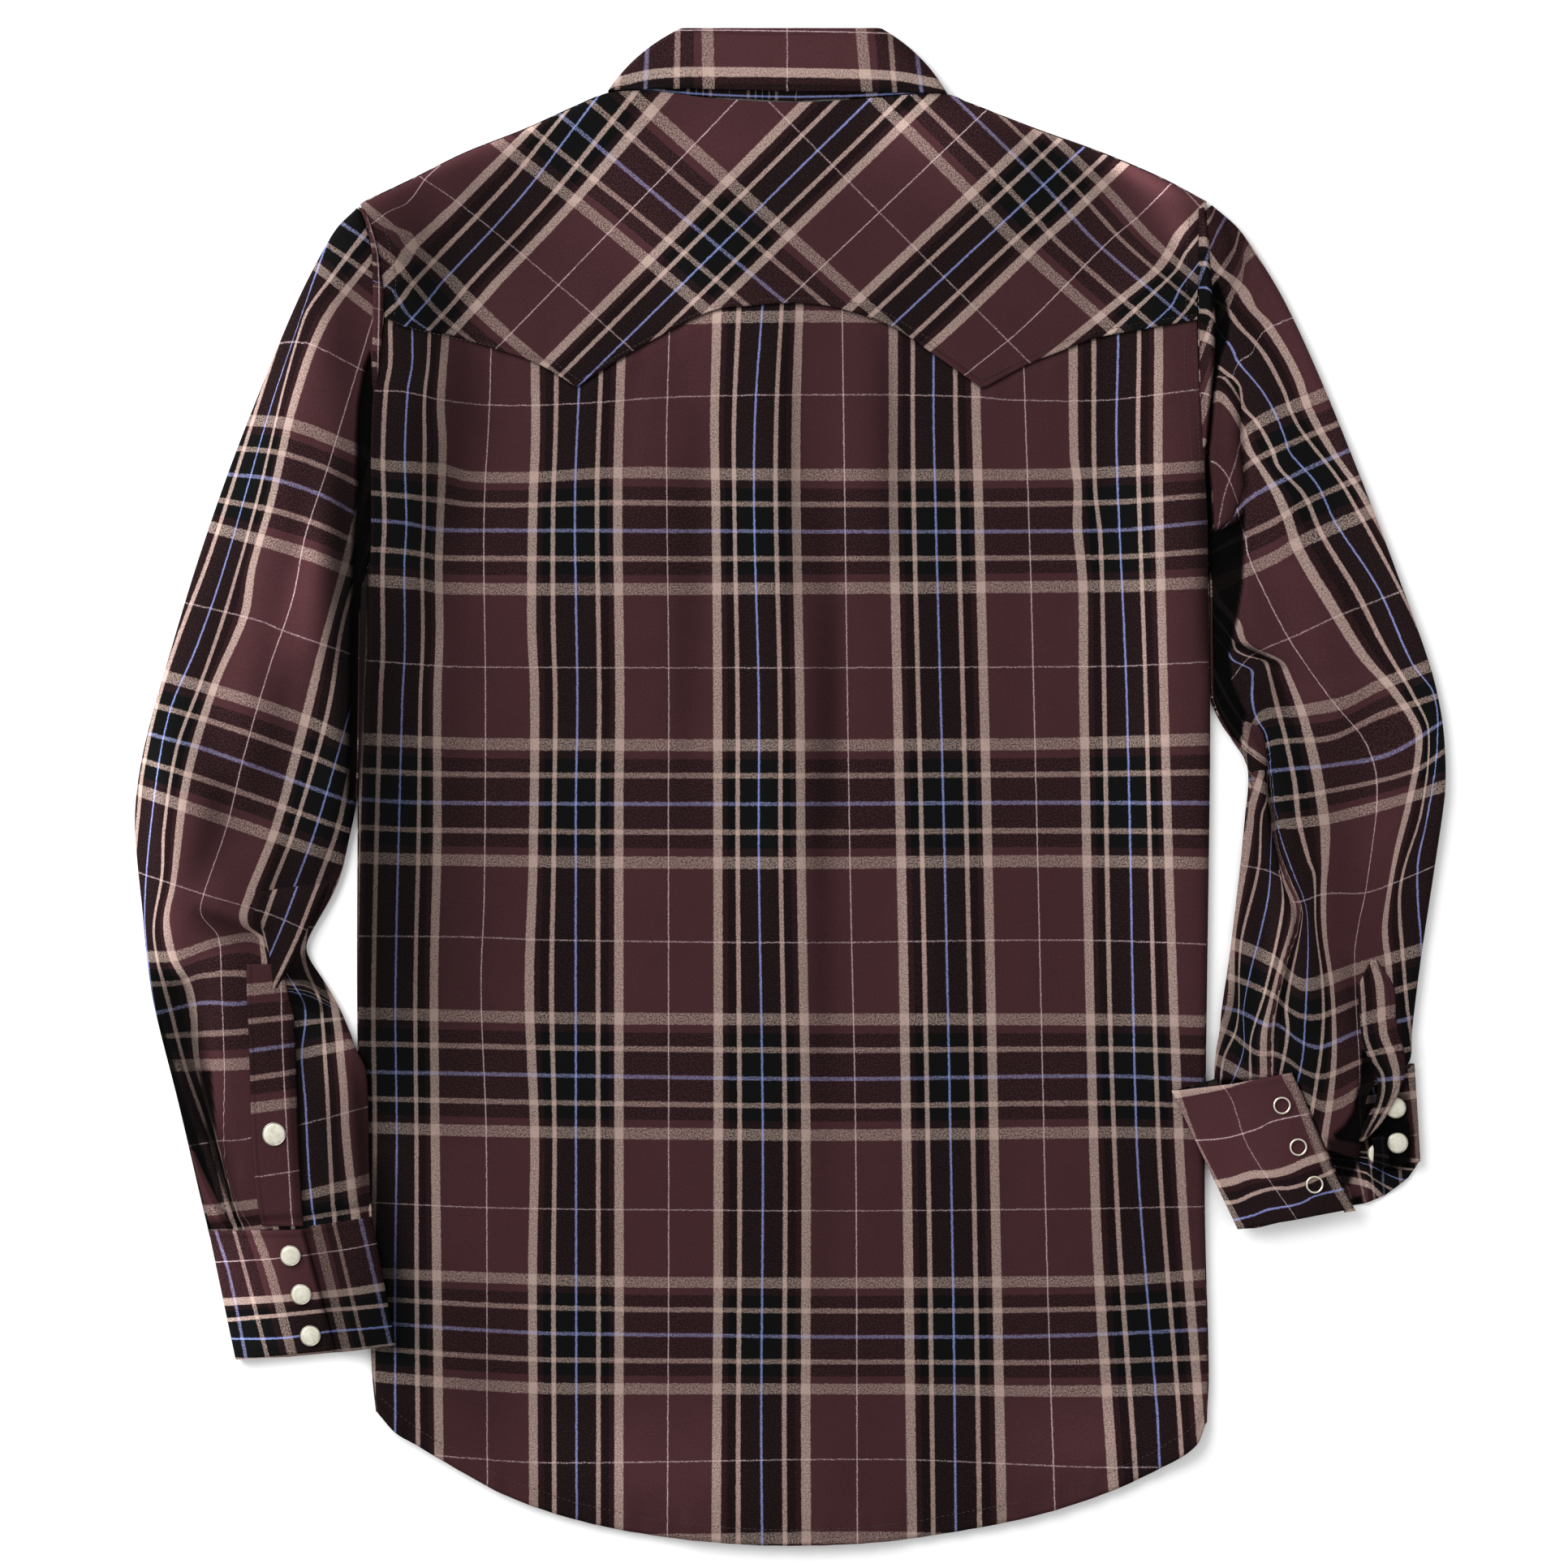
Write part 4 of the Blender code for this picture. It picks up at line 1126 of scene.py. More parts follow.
# Painted shade and highlights on the back and the yoke: darker along the edges, in the armhole gap and
# along soft folds, paler where negative. Only their darkness is used.
BODY_PAINTED_SHADE = (
    Crease("450,700 450,1420", 0.0, 150, 8, 0.66),
    Crease("460,1420 498,1680", 0.0, 26, 26, 0.88),
    Crease("535,470 537,580 530,800", 0.0, 30, 34, 0.5),
    Crease("1002,560 1014,1720", 0.0, 24, 24, 0.2),
    Crease("530,1540 650,1860", 0.0, 60, 60, 0.24),
    Crease("1128,1040 1132,1140 1130,1250", 0.0, 24, 24, -0.25),
    Crease("560,1790 760,1802 960,1806", 0.0, 70, 60, -0.35),
    Crease("1240,1790 1400,1770 1520,1730", 0.0, 60, 60, -0.38),
    Crease("720,160 960,180 1160,150", 0.0, 60, 60, -0.24),
    Crease("480,260 560,440 572,520 555,660", 0.0, 40, 40, 0.52),
    Crease("560,200 600,260 640,330", 0.0, 30, 30, 0.28),
    Crease("975,380 975,780", -0.4, 15, 15, 0.42),
    Crease("1092,400 1100,700", -0.4, 18, 18, 0.38),
    Crease("855,500 858,900", 0.0, 14, 14, 0.3),
    Crease("1026,700 1024,1020", -0.3, 12, 12, 0.35),
    Crease("925,400 925,640 932,900 935,1240", 0.4, 24, 24, -0.28),
    Crease("1396,300 1412,1300", 0.5, 44, 46, -0.6),
    Crease("700,190 790,270 850,350 876,440", 0.0, 50, 50, -0.4),
    Crease("1060,110 1150,160 1210,230", 0.0, 50, 50, -0.5),
    Crease("440,258 520,214 600,180 740,128", 0.0, 12, 12, -0.7),
    Crease("1190,124 1300,168 1490,258", 0.0, 12, 12, -0.8),
    Crease("1012,640 1010,1340", 0.0, 18, 14, 0.3),
    Crease("838,560 842,1040", 0.0, 14, 14, 0.22),
    Crease("500,220 560,380", 0.0, 45, 45, 0.38),
    Crease("1486,500 1486,820", 0.0, 8, 14, 0.7),
    Crease("1350,166 1430,244 1480,330", 0.0, 20, 18, -1.2),
    Crease("464,400 446,980 446,1300 452,1690", 0.0, 28, 22, 0.4),
    Crease("1484,1300 1488,980 1486,700", 0.0, 12, 26, 0.25),
    Hollow("430,600 456,640 457,690 455,760 451,860 447,940 441,1000 430,1000", 0.0, 0.96, 6.0))
YOKE_STITCHES = (
    Seam("486,398 513,407 565,419 626,431 683,447 714,470 765,437 825,405 876,380 927,370 1010,369 "
        "1070,377 1096,389 1150,422 1210,470 1270,438 1300,425 1350,410 1404,399 1470,389"),
    Seam("461,254 473,276 485,319 489,343 487,392"),
    Seam("1466,250 1462,300 1460,388"))
BACK_STITCHES = (
    Seam("1458,403 1459,460 1464,524 1468,570"),
    Seam("1470,401 1472,460 1475,524 1479,590"),
    Seam("472,1722 500,1748 522,1764 570,1792 627,1822 708,1850 800,1870 906,1881 965,1883 1053,1881 "
        "1128,1873 1258,1849 1352,1820 1418,1789 1462,1762 1476,1745", 2.9))


@dataclass(frozen=True)
class ShirtBody:
    """The back, the yoke and the fronts, which share the body's outline and heights."""

    half: float = 235.0            # half the body's width, straightened
    height: float = 5.4
    centre_rise: float = 1.0       # how much higher it lies over the centre band
    seam_back: float = 3.2         # height of the back's lower edge along a side fold
    seam_front: float = 2.3        # height of the fronts' edge there
    hem_drop: float = 1.6
    front_shorter: float = 16.0    # how far the fronts' hem stops short of the back's
    band_half: float = 17.5        # half the centre band's width
    band_z: float = 2.1
    overlap_z: float = 3.6         # height of the inner front where it laps over the outer one
    tuck: float = 3.0              # how far the back runs up under the yoke
    stitch: float = 3.6            # from the yoke's edge to its stitching
    hem_stitch: float = 6.2        # from the hem's edge to its stitching
    shoulder_y: float = 330.0      # where the columns are read for the shoulders' outline
    seam_y: float = 250.0          # the same for the yoke's seam
    hem_y: float = -352.0          # and for the hem
    back_rows: int = 246
    yoke_rows: int = 80
    front_rows: int = 170
    front_columns: int = 58
    band_rows: int = 240
    band_columns: int = 15
    front_blue: tuple[float, float] = (711.0, 1176.0)      # the fronts' blue threads on the grid
    blue_y: float = 655.0

    def edge(self, side: Side, y: Array) -> Array:
        """X of the body's left or right edge at a height in plan."""
        return track(BODY_EDGE_LEFT if side is Side.LEFT else BODY_EDGE_RIGHT, y)

    def across(self, u: Array, y: Array) -> Array:
        """X at a fraction across the body.

        Args:
            u: The fraction, 0 at the left edge and 1 at the right one.
            y: Millimetres along.

        Returns:
            Millimetres across.
        """
        left, right = self.edge(Side.LEFT, y), self.edge(Side.RIGHT, y)
        straight = self.half * (2.0 * u - 1.0)
        return straight + (1 - u) ** 8 * (left + self.half) + u ** 8 * (right - self.half)

    def yoke_seam(self, x: Array) -> Array:
        """Y of the yoke's lower seam, with its two points."""
        seam = np.where(x < YOKE_POINT_LEFT[0], track(YOKE_SEAM_LEFT, x), track(YOKE_SEAM_MIDDLE, x))
        return np.where(x < YOKE_POINT_RIGHT[0], seam, track(YOKE_SEAM_RIGHT, x))

    def side_closed(self, y: Array) -> Array:
        """0 along an armhole and 1 along a side fold."""
        return ramp(UNDERARM - y, 0.0, 12.0)

    def rounded(self, x: Array, y: Array) -> Array:
        """Share of the full height, less than 1 round the side and shoulder folds.

        Args:
            x: Millimetres across.
            y: Millimetres along.

        Returns:
            The share.
        """
        on_neck = ramp(np.abs(x), 104.0, 97.0)
        shoulder = np.maximum(on_neck, rounding(track(SHOULDERS, x) - y))
        distance = np.minimum(x - self.edge(Side.LEFT, y), self.edge(Side.RIGHT, y) - x)
        closed = self.side_closed(y)
        return (1.0 - closed + closed * rounding(distance)) * shoulder

    def top(self, x: Array, y: Array) -> tuple[Array, Array]:
        """Outer face of the back and the yoke.

        Args:
            x: Millimetres across.
            y: Millimetres along.

        Returns:
            The height, and the painted shade of the creases and of the body's shaded and lit parts.
        """
        height = self.height + self.centre_rise * ramp(np.abs(x), 60.0, 14.0)
        from_side = self.half - np.abs(x)
        rise, dark = relief_and_painted_shade(BACK_CREASES, x, y)
        height = height + (rise + wavering(x, y, 0.45, 88.0)) * ramp(from_side, 5.0, 26.0)
        clear = ramp(np.abs(x), 46.0, 72.0) * ramp(from_side, 12.0, 34.0)
        height = height - self.hem_drop * clear * ramp(y - track(HEM, x), 26.0, 4.0)
        z = self.seam_back + (height - self.seam_back) * self.rounded(x, y)
        # only the painted shade of the second table is used here, not its heights
        return z, deepen(dark, relief_and_painted_shade(BODY_PAINTED_SHADE, x, y)[1])

    def columns(self) -> Array:
        """Fractions across the body, close together round each side fold."""
        near = self._turned() / (2.0 * self.half)
        inner = np.linspace(near[-1], 1.0 - near[-1], round(2.0 * self.half / PITCH))
        return np.concatenate([near[:-1], inner, 1.0 - near[-2::-1]])[None, :]

    @staticmethod
    def _turned(count: int = 8) -> Array:
        """Distances in from a fold's edge, for even turns round it."""
        return FOLD_REACH * (1.0 - np.cos(np.radians(np.linspace(0.0, 90.0, count))))

    @staticmethod
    def _pucker(along: Array, away: Array, reach: float) -> Array:
        """Small gathers of the cloth along a sewn line."""
        wave = np.sin(along / 2.9) + 0.6 * np.sin(along / 1.7 + 1.0)
        return wave * bell(away, reach)

    def back_face(self, x: Array, y: Array) -> tuple[Array, Array]:
        """Height and painted shade of the back, with its seam and hem.

        Args:
            x: Millimetres across.
            y: Millimetres along.

        Returns:
            The height and the painted shade.
        """
        z, dark = self.top(x, y)
        below = self.yoke_seam(x) - y
        z = z - 1.0 * ramp(below, 5.0, -0.5) + 0.25 * self._pucker(x, below - 5.0, 8.0)
        hem = y - track(HEM, x)
        z = z + 0.5 * ramp(hem, 7.5, 5.5) - 0.3 * bell(hem - self.hem_stitch, 0.8)
        z = z + 0.45 * self._pucker(x, hem - 5.0, 9.0)
        # painted shade: a shadow line along the yoke's edge, and a darker line in the hem's stitching
        # groove
        dark = deepen(dark, 0.6 * bell(below, 1.4))
        return z, deepen(dark, 0.3 * bell(hem - self.hem_stitch - 0.2, 0.9))

    def back(self) -> Sheet:
        """The back, from under the yoke to the hem.

        Returns:
            The outer face.
        """
        u = self.columns()
        part = np.linspace(0.0, 1.0, self.back_rows)[:, None]
        seam = self.yoke_seam(self.across(u, self.seam_y)) + self.tuck
        y = seam + (track(HEM, self.across(u, self.hem_y)) - seam) * part
        x = self.across(u, y)
        z, dark = self.back_face(x, y)
        return Sheet.charted(x, y, z, BACK_CHART, dark)

    def yoke_face(self, x: Array, y: Array) -> tuple[Array, Array]:
        """Height and painted shade of the yoke, with its stitched edge.

        Args:
            x: Millimetres across.
            y: Millimetres along.

        Returns:
            The height and the painted shade.
        """
        z, dark = self.top(x, y)
        above = y - self.yoke_seam(x)
        z = z + 0.55 * ramp(above, 6.0, 1.0) * self.rounded(x, y) + 0.2 * self._pucker(x, above, 7.0)
        z = z - 0.35 * bell(above - self.stitch, 0.7)
        # painted shade: a darker line in the stitching groove
        return z, deepen(dark, 0.3 * bell(above - self.stitch, 0.8))

    def yoke(self) -> Sheet:
        """The yoke, from the shoulder fold to its two-pointed seam.

        Returns:
            The outer face.
        """
        u = self.columns()
        shoulders = track(SHOULDERS, self.across(u, self.shoulder_y))
        top, part = self._from_fold(shoulders, self.yoke_rows)
        y = top + (self.yoke_seam(self.across(u, self.seam_y)) - top) * part
        x = self.across(u, y)
        z, dark = self.yoke_face(x, y)
        return Sheet.charted(x, y, z, YOKE_CHART, dark)

    def _from_fold(self, fold: Array, count: int) -> tuple[Array, Array]:
        """Rows that turn round a fold and then go on down the cloth.

        Args:
            fold: Y of the fold's edge in each column.
            count: How many rows there are beyond the fold.

        Returns:
            Where each row starts, and the share of the rest of its way that it is down.
        """
        near = self._turned(7)[:-1]
        drop = np.concatenate([near, np.full(count, FOLD_REACH)])
        part = np.concatenate([np.zeros(len(near)), np.linspace(0.0, 1.0, count)])
        return fold - drop[:, None], part[:, None]

    def front(self, side: Side) -> Sheet:
        """A front panel, from its side fold to the centre.

        Args:
            side: Which front.

        Returns:
            The panel's outer face, which looks down.
        """
        outer = side is Side.LEFT
        inner = self.band_half + SEAM if outer else -self.band_half
        near = self.half - self._turned(7)[:-1]
        rest = np.linspace(self.half - FOLD_REACH, inner, self.front_columns)
        distance = np.concatenate([near, rest])
        u = ((side.value * distance + self.half) / (2.0 * self.half))[None, :]
        at = self.across(u, self.shoulder_y)
        neck = np.abs(at) < FRONT_NECK[-1][0]
        outline = np.where(neck, track(FRONT_NECK, np.abs(at)), track(SHOULDERS, at))
        top, part = self._from_fold(outline, self.front_rows)
        share = ramp(self.half - distance, 0.0, 60.0)[None, :]
        bottom = track(HEM, self.across(u, self.hem_y)) + self.front_shorter * share
        y = top + (bottom - top) * part
        x = self.across(u, y)
        wings = WING_Z * ramp(y - track(WING_REACH, np.abs(x)), 0.0, 14.0)
        centre = (self.band_z if outer else self.overlap_z) * ramp(np.abs(x), 44.0, 21.0)
        z = np.maximum(wings, centre)
        z = self.seam_front + (z - self.seam_front) * self.rounded(x, y)
        chart = StraightChart(self.front_blue[0 if outer else 1], self.blue_y)
        return Sheet.charted(x, y, z, chart, np.zeros(x.shape), facing_up=outer)

    def band(self) -> Sheet:
        """The strip down the centre of the outer front.

        Returns:
            Its outer face, which looks down.
        """
        bottom = float(track(HEM, 0.0)) + self.front_shorter
        x, y = np.meshgrid(np.linspace(-self.band_half, self.band_half, self.band_columns),
                           np.linspace(FRONT_NECK_TOP, bottom, self.band_rows))
        z = self.band_z + 0.3 * bell(np.abs(x) - self.band_half + 5.0, 0.8)
        chart = StraightChart(GRID_X, self.blue_y)
        return Sheet.charted(x, y, z, chart, np.zeros(x.shape), facing_up=False)

    def dress(self, shop: Workshop) -> None:
        """Make the body's pieces.

        Args:
            shop: Makes the pieces.
        """
        under = ["front_left", "front_right"]
        back = shop.sheet("back", self.back())
        yoke = shop.sheet("yoke", self.yoke())
        for side, node in zip(Side, under):
            shop.sheet(node, self.front(side))
        shop.sheet("front_band", self.band())
        shop.stitches("yoke_stitches", YOKE_STITCHES, self.yoke_face)
        shop.stitches("back_stitches", BACK_STITCHES, self.back_face)


# The sleeves.

LEFT_CHART = Chart(
    warps=(
        Thread(0, THIN, "338,442 262,680 220,790 195,870 178,950 173,1000", before=True),
        Thread(0, BLUE, "370,400 335,505 275,710 245,795 210,880 190,1000 180,1120 186,1200 200,1290"),
        Thread(0, THIN, "455,285 410,342 375,393 318,620 285,735 250,840 220,920 204,1020 202,1076 "
            "191,1154 217,1266 233,1321 262,1400 292,1510"),
        Thread(0, THICK, "460,322 400,400 362,500 335,620 312,700 303,760 265,845 230,965 215,1087 "
            "206,1136 215,1181 233,1210 241,1243 245,1310 268,1400 300,1510"),
        Thread(0, WHITE, "438,470 405,580 378,660 362,740 335,820 303,930 281,1020 253,1103 250,1127 "
            "271,1154 275,1221 278,1310 280,1450 310,1513"),
        Thread(1, THICK, "452,600 435,670 400,800 375,900 342,1020 304,1118 304,1140 326,1156 "
            "330,1300 340,1510", before=True),
        Thread(1, THIN, "472,600 455,670 425,760 405,880 365,1020 326,1140 350,1220 352,1350 "
            "362,1510", before=True),
        Thread(1, BLUE, "497,600 452,790 437,860 391,1020 344,1154 350,1190 377,1240 373,1300 "
            "378,1360 382,1440 388,1500"),
        Thread(1, THIN, "522,600 500,690 437,925 417,1020 390,1096 378,1145 376,1185 397,1240 "
            "413,1500"),
        Thread(1, THICK, "545,600 520,720 466,960 440,1040 398,1150 398,1190 412,1240 424,1330 "
            "428,1400 440,1500")),
    wefts=(
        Thread(0, BLUE, "423,277 458,301"),
        Thread(0, THIN, "403,302 460,341"),
        Thread(0, THICK, "393,330 460,385"),
        Thread(0, WHITE, "348,424 366,423 388,427 438,452"),
        Thread(1, THICK, "305,520 360,526 440,556", before=True),
        Thread(1, BLUE, "283,585 340,592 400,612 441,635"),
        Thread(1, THICK, "260,648 380,682 425,700"),
        Thread(1, WHITE, "230,743 320,765 352,778 430,805"),
        Thread(2, THICK, "208,835 300,862 380,890 430,913", before=True),
        Thread(2, BLUE, "188,905 260,925 425,985"),
        Thread(2, THICK, "172,972 420,1057"),
        Thread(2, WHITE, "173,1075 255,1102 340,1128 373,1140 420,1146"),
        Thread(3, THICK, "183,1180 220,1178 275,1158 330,1158 345,1205 380,1215 412,1234",
            before=True),
        Thread(3, THIN, "188,1212 225,1210 250,1202 305,1200 340,1216 380,1221 412,1238", before=True),
        Thread(3, BLUE, "193,1248 250,1235 305,1235 340,1220 380,1225 412,1241"),
        Thread(3, BLUE, "193,1256 250,1243 305,1243 340,1224 380,1229 412,1245", off=8.0),
        Thread(3, THIN, "215,1275 308,1269 440,1250"),
        Thread(3, THICK, "240,1310 308,1308 430,1285"),
        Thread(3, WHITE, "240,1410 270,1405 305,1402 455,1362"),
        Thread(4, THICK, "250,1490 318,1483 376,1473 457,1452", before=True),
        Thread(4, THIN, "260,1517 318,1512 378,1500 457,1487", before=True)))
RIGHT_CHART = Chart(
    warps=(
        Thread(-2, THICK, "1480,850 1500,905 1520,940 1540,965 1546,975 1523,1123 1519,1165 1517,1233 "
            "1500,1290 1494,1320", before=True),
        Thread(-2, THIN, "1482,850 1503,905 1530,950 1553,985 1550,1065 1529,1150 1525,1190 1525,1243 "
            "1521,1270 1506,1302 1502,1339", before=True),
        Thread(-2, BLUE, "1484,850 1505,905 1533,950 1560,990 1564,1041 1562,1097 1551,1150 1537,1203 "
            "1530,1243 1531,1291 1519,1326"),
        Thread(-2, THIN, "1485,850 1506,906 1562,990 1567,1041 1578,1085 1578,1123 1557,1222 "
            "1543,1265 1538,1286 1539,1331"),
        Thread(-2, THICK, "1486,850 1507,907 1563,990 1568,1041 1580,1085 1590,1110 1592,1129 "
            "1588,1150 1577,1182 1560,1245 1554,1275 1553,1330"),
        Thread(-2, THICK, "1487,850 1508,908 1565,990 1569,1041 1584,1085 1596,1112 1598,1129 "
            "1593,1150 1582,1182 1566,1245 1562,1275 1562,1330", off=9.0),
        Thread(-1, THICK, "1480,800 1500,870 1528,913 1556,941 1560,975 1571,1041 1586,1085 1598,1112 "
            "1600,1129 1595,1150 1584,1182 1568,1245 1564,1275 1564,1330", before=True),
        Thread(-1, THIN, "1480,800 1505,850 1534,894 1557,919 1573,1041 1588,1085 1600,1112 1602,1135 "
            "1583,1238 1585,1270 1575,1323", before=True),
        Thread(-1, BLUE, "1480,760 1495,782 1513,803 1518,814 1540,825 1542,838 1541,862 1546,884 "
            "1558,905 1568,996 1575,1030 1589,1070 1605,1110 1609,1137 1609,1190 1603,1297 1598,1326"),
        Thread(-1, THIN, "1480,740 1517,788 1522,803 1538,810 1555,813 1560,823 1592,958 1598,1012 "
            "1611,1060 1618,1078 1619,1137 1627,1203 1629,1257 1623,1310 1613,1374"),
        Thread(-1, THICK, "1480,700 1500,742 1521,766 1529,791 1544,801 1558,806 1576,815 1583,826 "
            "1605,887 1630,1012 1630,1057 1627,1097 1629,1150 1639,1217 1642,1283 1639,1337 1629,1403"),
        Thread(-1, WHITE, "1501,560 1533,662 1536,684 1552,722 1587,789 1635,859 1680,914 1695,970 "
            "1682,1091 1671,1145 1667,1179 1672,1300"),
        Thread(0, THICK, "1480,474 1526,524 1530,540 1536,556 1552,578 1568,604 1584,639 1597,678 "
            "1646,759 1680,811 1717,852 1746,896 1748,922 1735,985 1720,1044 1707,1116 1704,1149 "
            "1709,1188 1715,1300", before=True),
        Thread(0, THIN, "1480,430 1498,451 1519,468 1525,478 1529,502 1546,521 1565,553 1574,578 "
            "1605,610 1628,660 1670,730 1700,790 1740,860 1758,900 1750,1000 1728,1070 1722,1106 "
            "1726,1172 1732,1238 1737,1270", before=True),
        Thread(0, BLUE, "1480,385 1494,400 1507,417 1517,432 1523,447 1552,482 1568,508 1581,540 "
            "1587,559 1620,597 1643,645 1695,724 1737,817 1765,855 1768,920 1757,1000 1745,1060 "
            "1745,1110 1749,1155 1755,1260"),
        Thread(0, THIN, "1480,355 1490,367 1507,379 1524,403 1543,422 1560,444 1581,486 1587,505 "
            "1600,530 1640,580 1660,610 1720,720 1768,820 1792,890 1790,1000 1772,1100 1776,1250"),
        Thread(0, THICK, "1480,305 1490,321 1500,333 1517,345 1531,360 1541,381 1560,401 1594,460 "
            "1610,505 1640,560 1675,610 1745,735 1785,820 1815,890 1812,1000 1797,1100 1801,1250")),
    wefts=(
        Thread(0, BLUE, "1480,318 1491,304 1498,288 1512,264 1525,250"),
        Thread(0, THIN, "1480,364 1520,309 1526,284 1534,268"),
        Thread(0, THICK, "1480,410 1498,394 1512,374 1519,357 1529,341 1532,319 1543,307 1556,300"),
        Thread(0, WHITE, "1480,520 1508,487 1524,449 1541,437 1548,420 1560,407 1590,393"),
        Thread(1, THICK, "1500,600 1520,560 1537,530 1634,487", before=True),
        Thread(1, THIN, "1500,640 1515,613 1520,594 1539,572 1600,543 1648,523", before=True),
        Thread(1, BLUE, "1500,660 1536,617 1600,583 1660,556"),
        Thread(1, THIN, "1533,660 1568,644 1600,623 1674,589"),
        Thread(1, THICK, "1530,704 1568,687 1600,668 1685,631"),
        Thread(1, WHITE, "1512,845 1520,832 1536,812 1556,800 1592,785 1648,759 1725,729"),
        Thread(2, THICK, "1530,925 1546,889 1560,880 1592,878 1640,871 1660,866 1700,845 1760,822",
            before=True),
        Thread(2, THIN, "1530,945 1560,918 1592,913 1640,909 1700,880 1770,858", before=True),
        Thread(2, BLUE, "1530,965 1560,951 1640,943 1710,930 1775,890"),
        Thread(2, THIN, "1530,992 1560,986 1608,980 1740,950 1778,925"),
        Thread(2, THICK, "1530,1032 1560,1023 1576,1015 1640,1006 1780,967"),
        Thread(2, WHITE, "1529,1063 1577,1080 1584,1098 1593,1111 1629,1101 1677,1100 1700,1094 "
            "1765,1067"),
        Thread(3, THICK, "1500,1160 1522,1165 1567,1185 1597,1211 1610,1214 1637,1206 1677,1191 "
            "1750,1170", before=True),
        Thread(3, THIN, "1500,1200 1525,1207 1567,1226 1583,1241 1597,1250 1618,1253 1639,1247 "
            "1669,1235 1745,1212", before=True),
        Thread(3, BLUE, "1500,1240 1529,1247 1559,1262 1573,1262 1602,1283 1623,1289 1645,1282 "
            "1671,1271 1740,1253"),
        Thread(3, THIN, "1503,1266 1519,1275 1535,1289 1549,1297 1567,1297 1586,1306 1602,1318 "
            "1621,1325 1639,1322 1674,1307 1740,1290"),
        Thread(3, THICK, "1495,1302 1538,1326 1554,1329 1580,1338 1602,1347 1629,1361 1650,1357 "
            "1674,1342 1740,1325"),
        Thread(3, WHITE, "1495,1400 1602,1444 1674,1440 1740,1425")))
# Creases and hollows of the left sleeve. Their darkness is painted shade, deepest in the armhole gap,
# the elbow and the pleats, and negative darkness is a painted highlight; those at height 0 are painted
# shade or highlight alone.
LEFT_FOLDS_AND_PAINTED_SHADE = (
    Hollow("457,436 450,452 442,500 440,544 441,604 436,664 434,760 432,860 430,940 429,985 450,985 "
        "455,900 460,760 466,664 468,604 468,544 464,470", 3.0, 0.985, 4.0),
    Crease("425,470 432,560 433,700 412,1000", 1.2, 14, 20),
    Crease("412,470 405,640 385,800 360,930", 0.8, 26, 22, -0.1),
    Crease("352,470 318,760 262,1000", 1.6, 30, 26, -0.32),
    Crease("395,520 372,660 362,760 330,900 305,1040", -1.5, 18, 18, 0.14),
    Crease("300,640 268,780 225,900 205,1040", -1.0, 18, 18, 0.1),
    Crease("222,860 200,960 192,1080", 0.8, 12, 12, -0.12),
    Crease("370,700 352,800 322,930", 1.2, 12, 14, -0.25),
    Crease("300,1040 246,1130", 1.6, 26, 24, -0.25),
    Crease("240,1118 262,1132 300,1146 330,1152", -2.6, 10, 22, 0.55),
    Crease("232,1196 262,1182 300,1184", 0.9, 14, 14, -0.1),
    Hollow("200,1255 214,1300 220,1322 233,1362 246,1400 262,1450 272,1482 290,1515 281,1515 262,1478 "
        "250,1448 240,1420 232,1400 216,1345 203,1300 194,1262", 1.2, 0.93, 3.0),
    Hollow("246,1318 262,1318 266,1360 268,1400 277,1438 281,1460 285,1475 301,1515 299,1515 290,1495 "
        "277,1466 266,1436 256,1402 251,1360", 1.0, 0.93, 3.0),
    Hollow("180,1195 230,1200 256,1300 262,1400 240,1400 208,1320 186,1230", 0.2, 0.62, 18.0),
    Crease("215,1308 249,1410", 1.0, 3, 3, -0.6),
    Crease("300,1420 300,1510", 0.8, 10, 10, -0.1),
    Hollow("230,1504 262,1506 300,1502 380,1496 462,1481 490,1480 490,1540 230,1540", 3.4, -0.35,
        12.0),
    Crease("425,280 418,480 418,720", 0.0, 30, 30, 0.45),
    Crease("280,950 240,1090", 0.0, 18, 18, 0.42),
    Crease("356,1030 322,1150", 0.0, 16, 16, 0.4),
    Crease("372,380 245,800 205,920 185,1050 186,1200", 0.0, 60, 44, -0.45),
    Crease("408,1330 426,1560", 0.0, 22, 22, 0.45),
    Crease("226,1290 262,1400 304,1540", 0.0, 14, 8, 0.5),
    Crease("330,420 262,650 212,800 180,930 170,1020 186,1230", 0.0, 30, 30, -0.55),
    Crease("440,230 400,330 340,520", 0.0, 28, 28, -0.65),
    Crease("414,450 406,580 380,820", 0.0, 16, 26, -0.5),
    Crease("198,920 197,1060 206,1220", 0.0, 24, 24, -0.45),
    Crease("262,1170 272,1400", 0.0, 14, 14, -0.5),
    Crease("447,560 440,1080", 0.0, 10, 12, 0.6),
    Crease("440,940 410,1040 376,1095 346,1160", 0.0, 28, 22, 0.45),
    Crease("354,800 340,900 318,1010", 0.0, 24, 24, 0.32),
    Crease("248,880 282,1100", 0.0, 26, 26, 0.3),
    Crease("330,1180 338,1330", 0.0, 26, 26, 0.4),
    Crease("444,1320 450,1520", 0.0, 24, 10, 0.5),
    Crease("424,560 412,840", 0.0, 24, 24, 0.72),
    Crease("436,660 430,1010", 0.0, 20, 20, 0.8),
    Crease("388,630 350,840", 0.0, 20, 20, -0.55),
    Crease("371,1236 368,1300 370,1400 378,1512", -2.4, 7, 9, 0.85),
    Crease("400,1245 424,1500", 1.6, 14, 16, -0.05),
    Crease("440,1300 457,1490", -1.5, 12, 10, 0.5),
    Hollow("378,1166 366,1190 345,1206 382,1216 412,1236 400,1205", 1.4, 0.75, 6.0),
    Hollow("345,1224 382,1226 412,1241 395,1250 362,1238", 1.0, 0.7, 8.0))
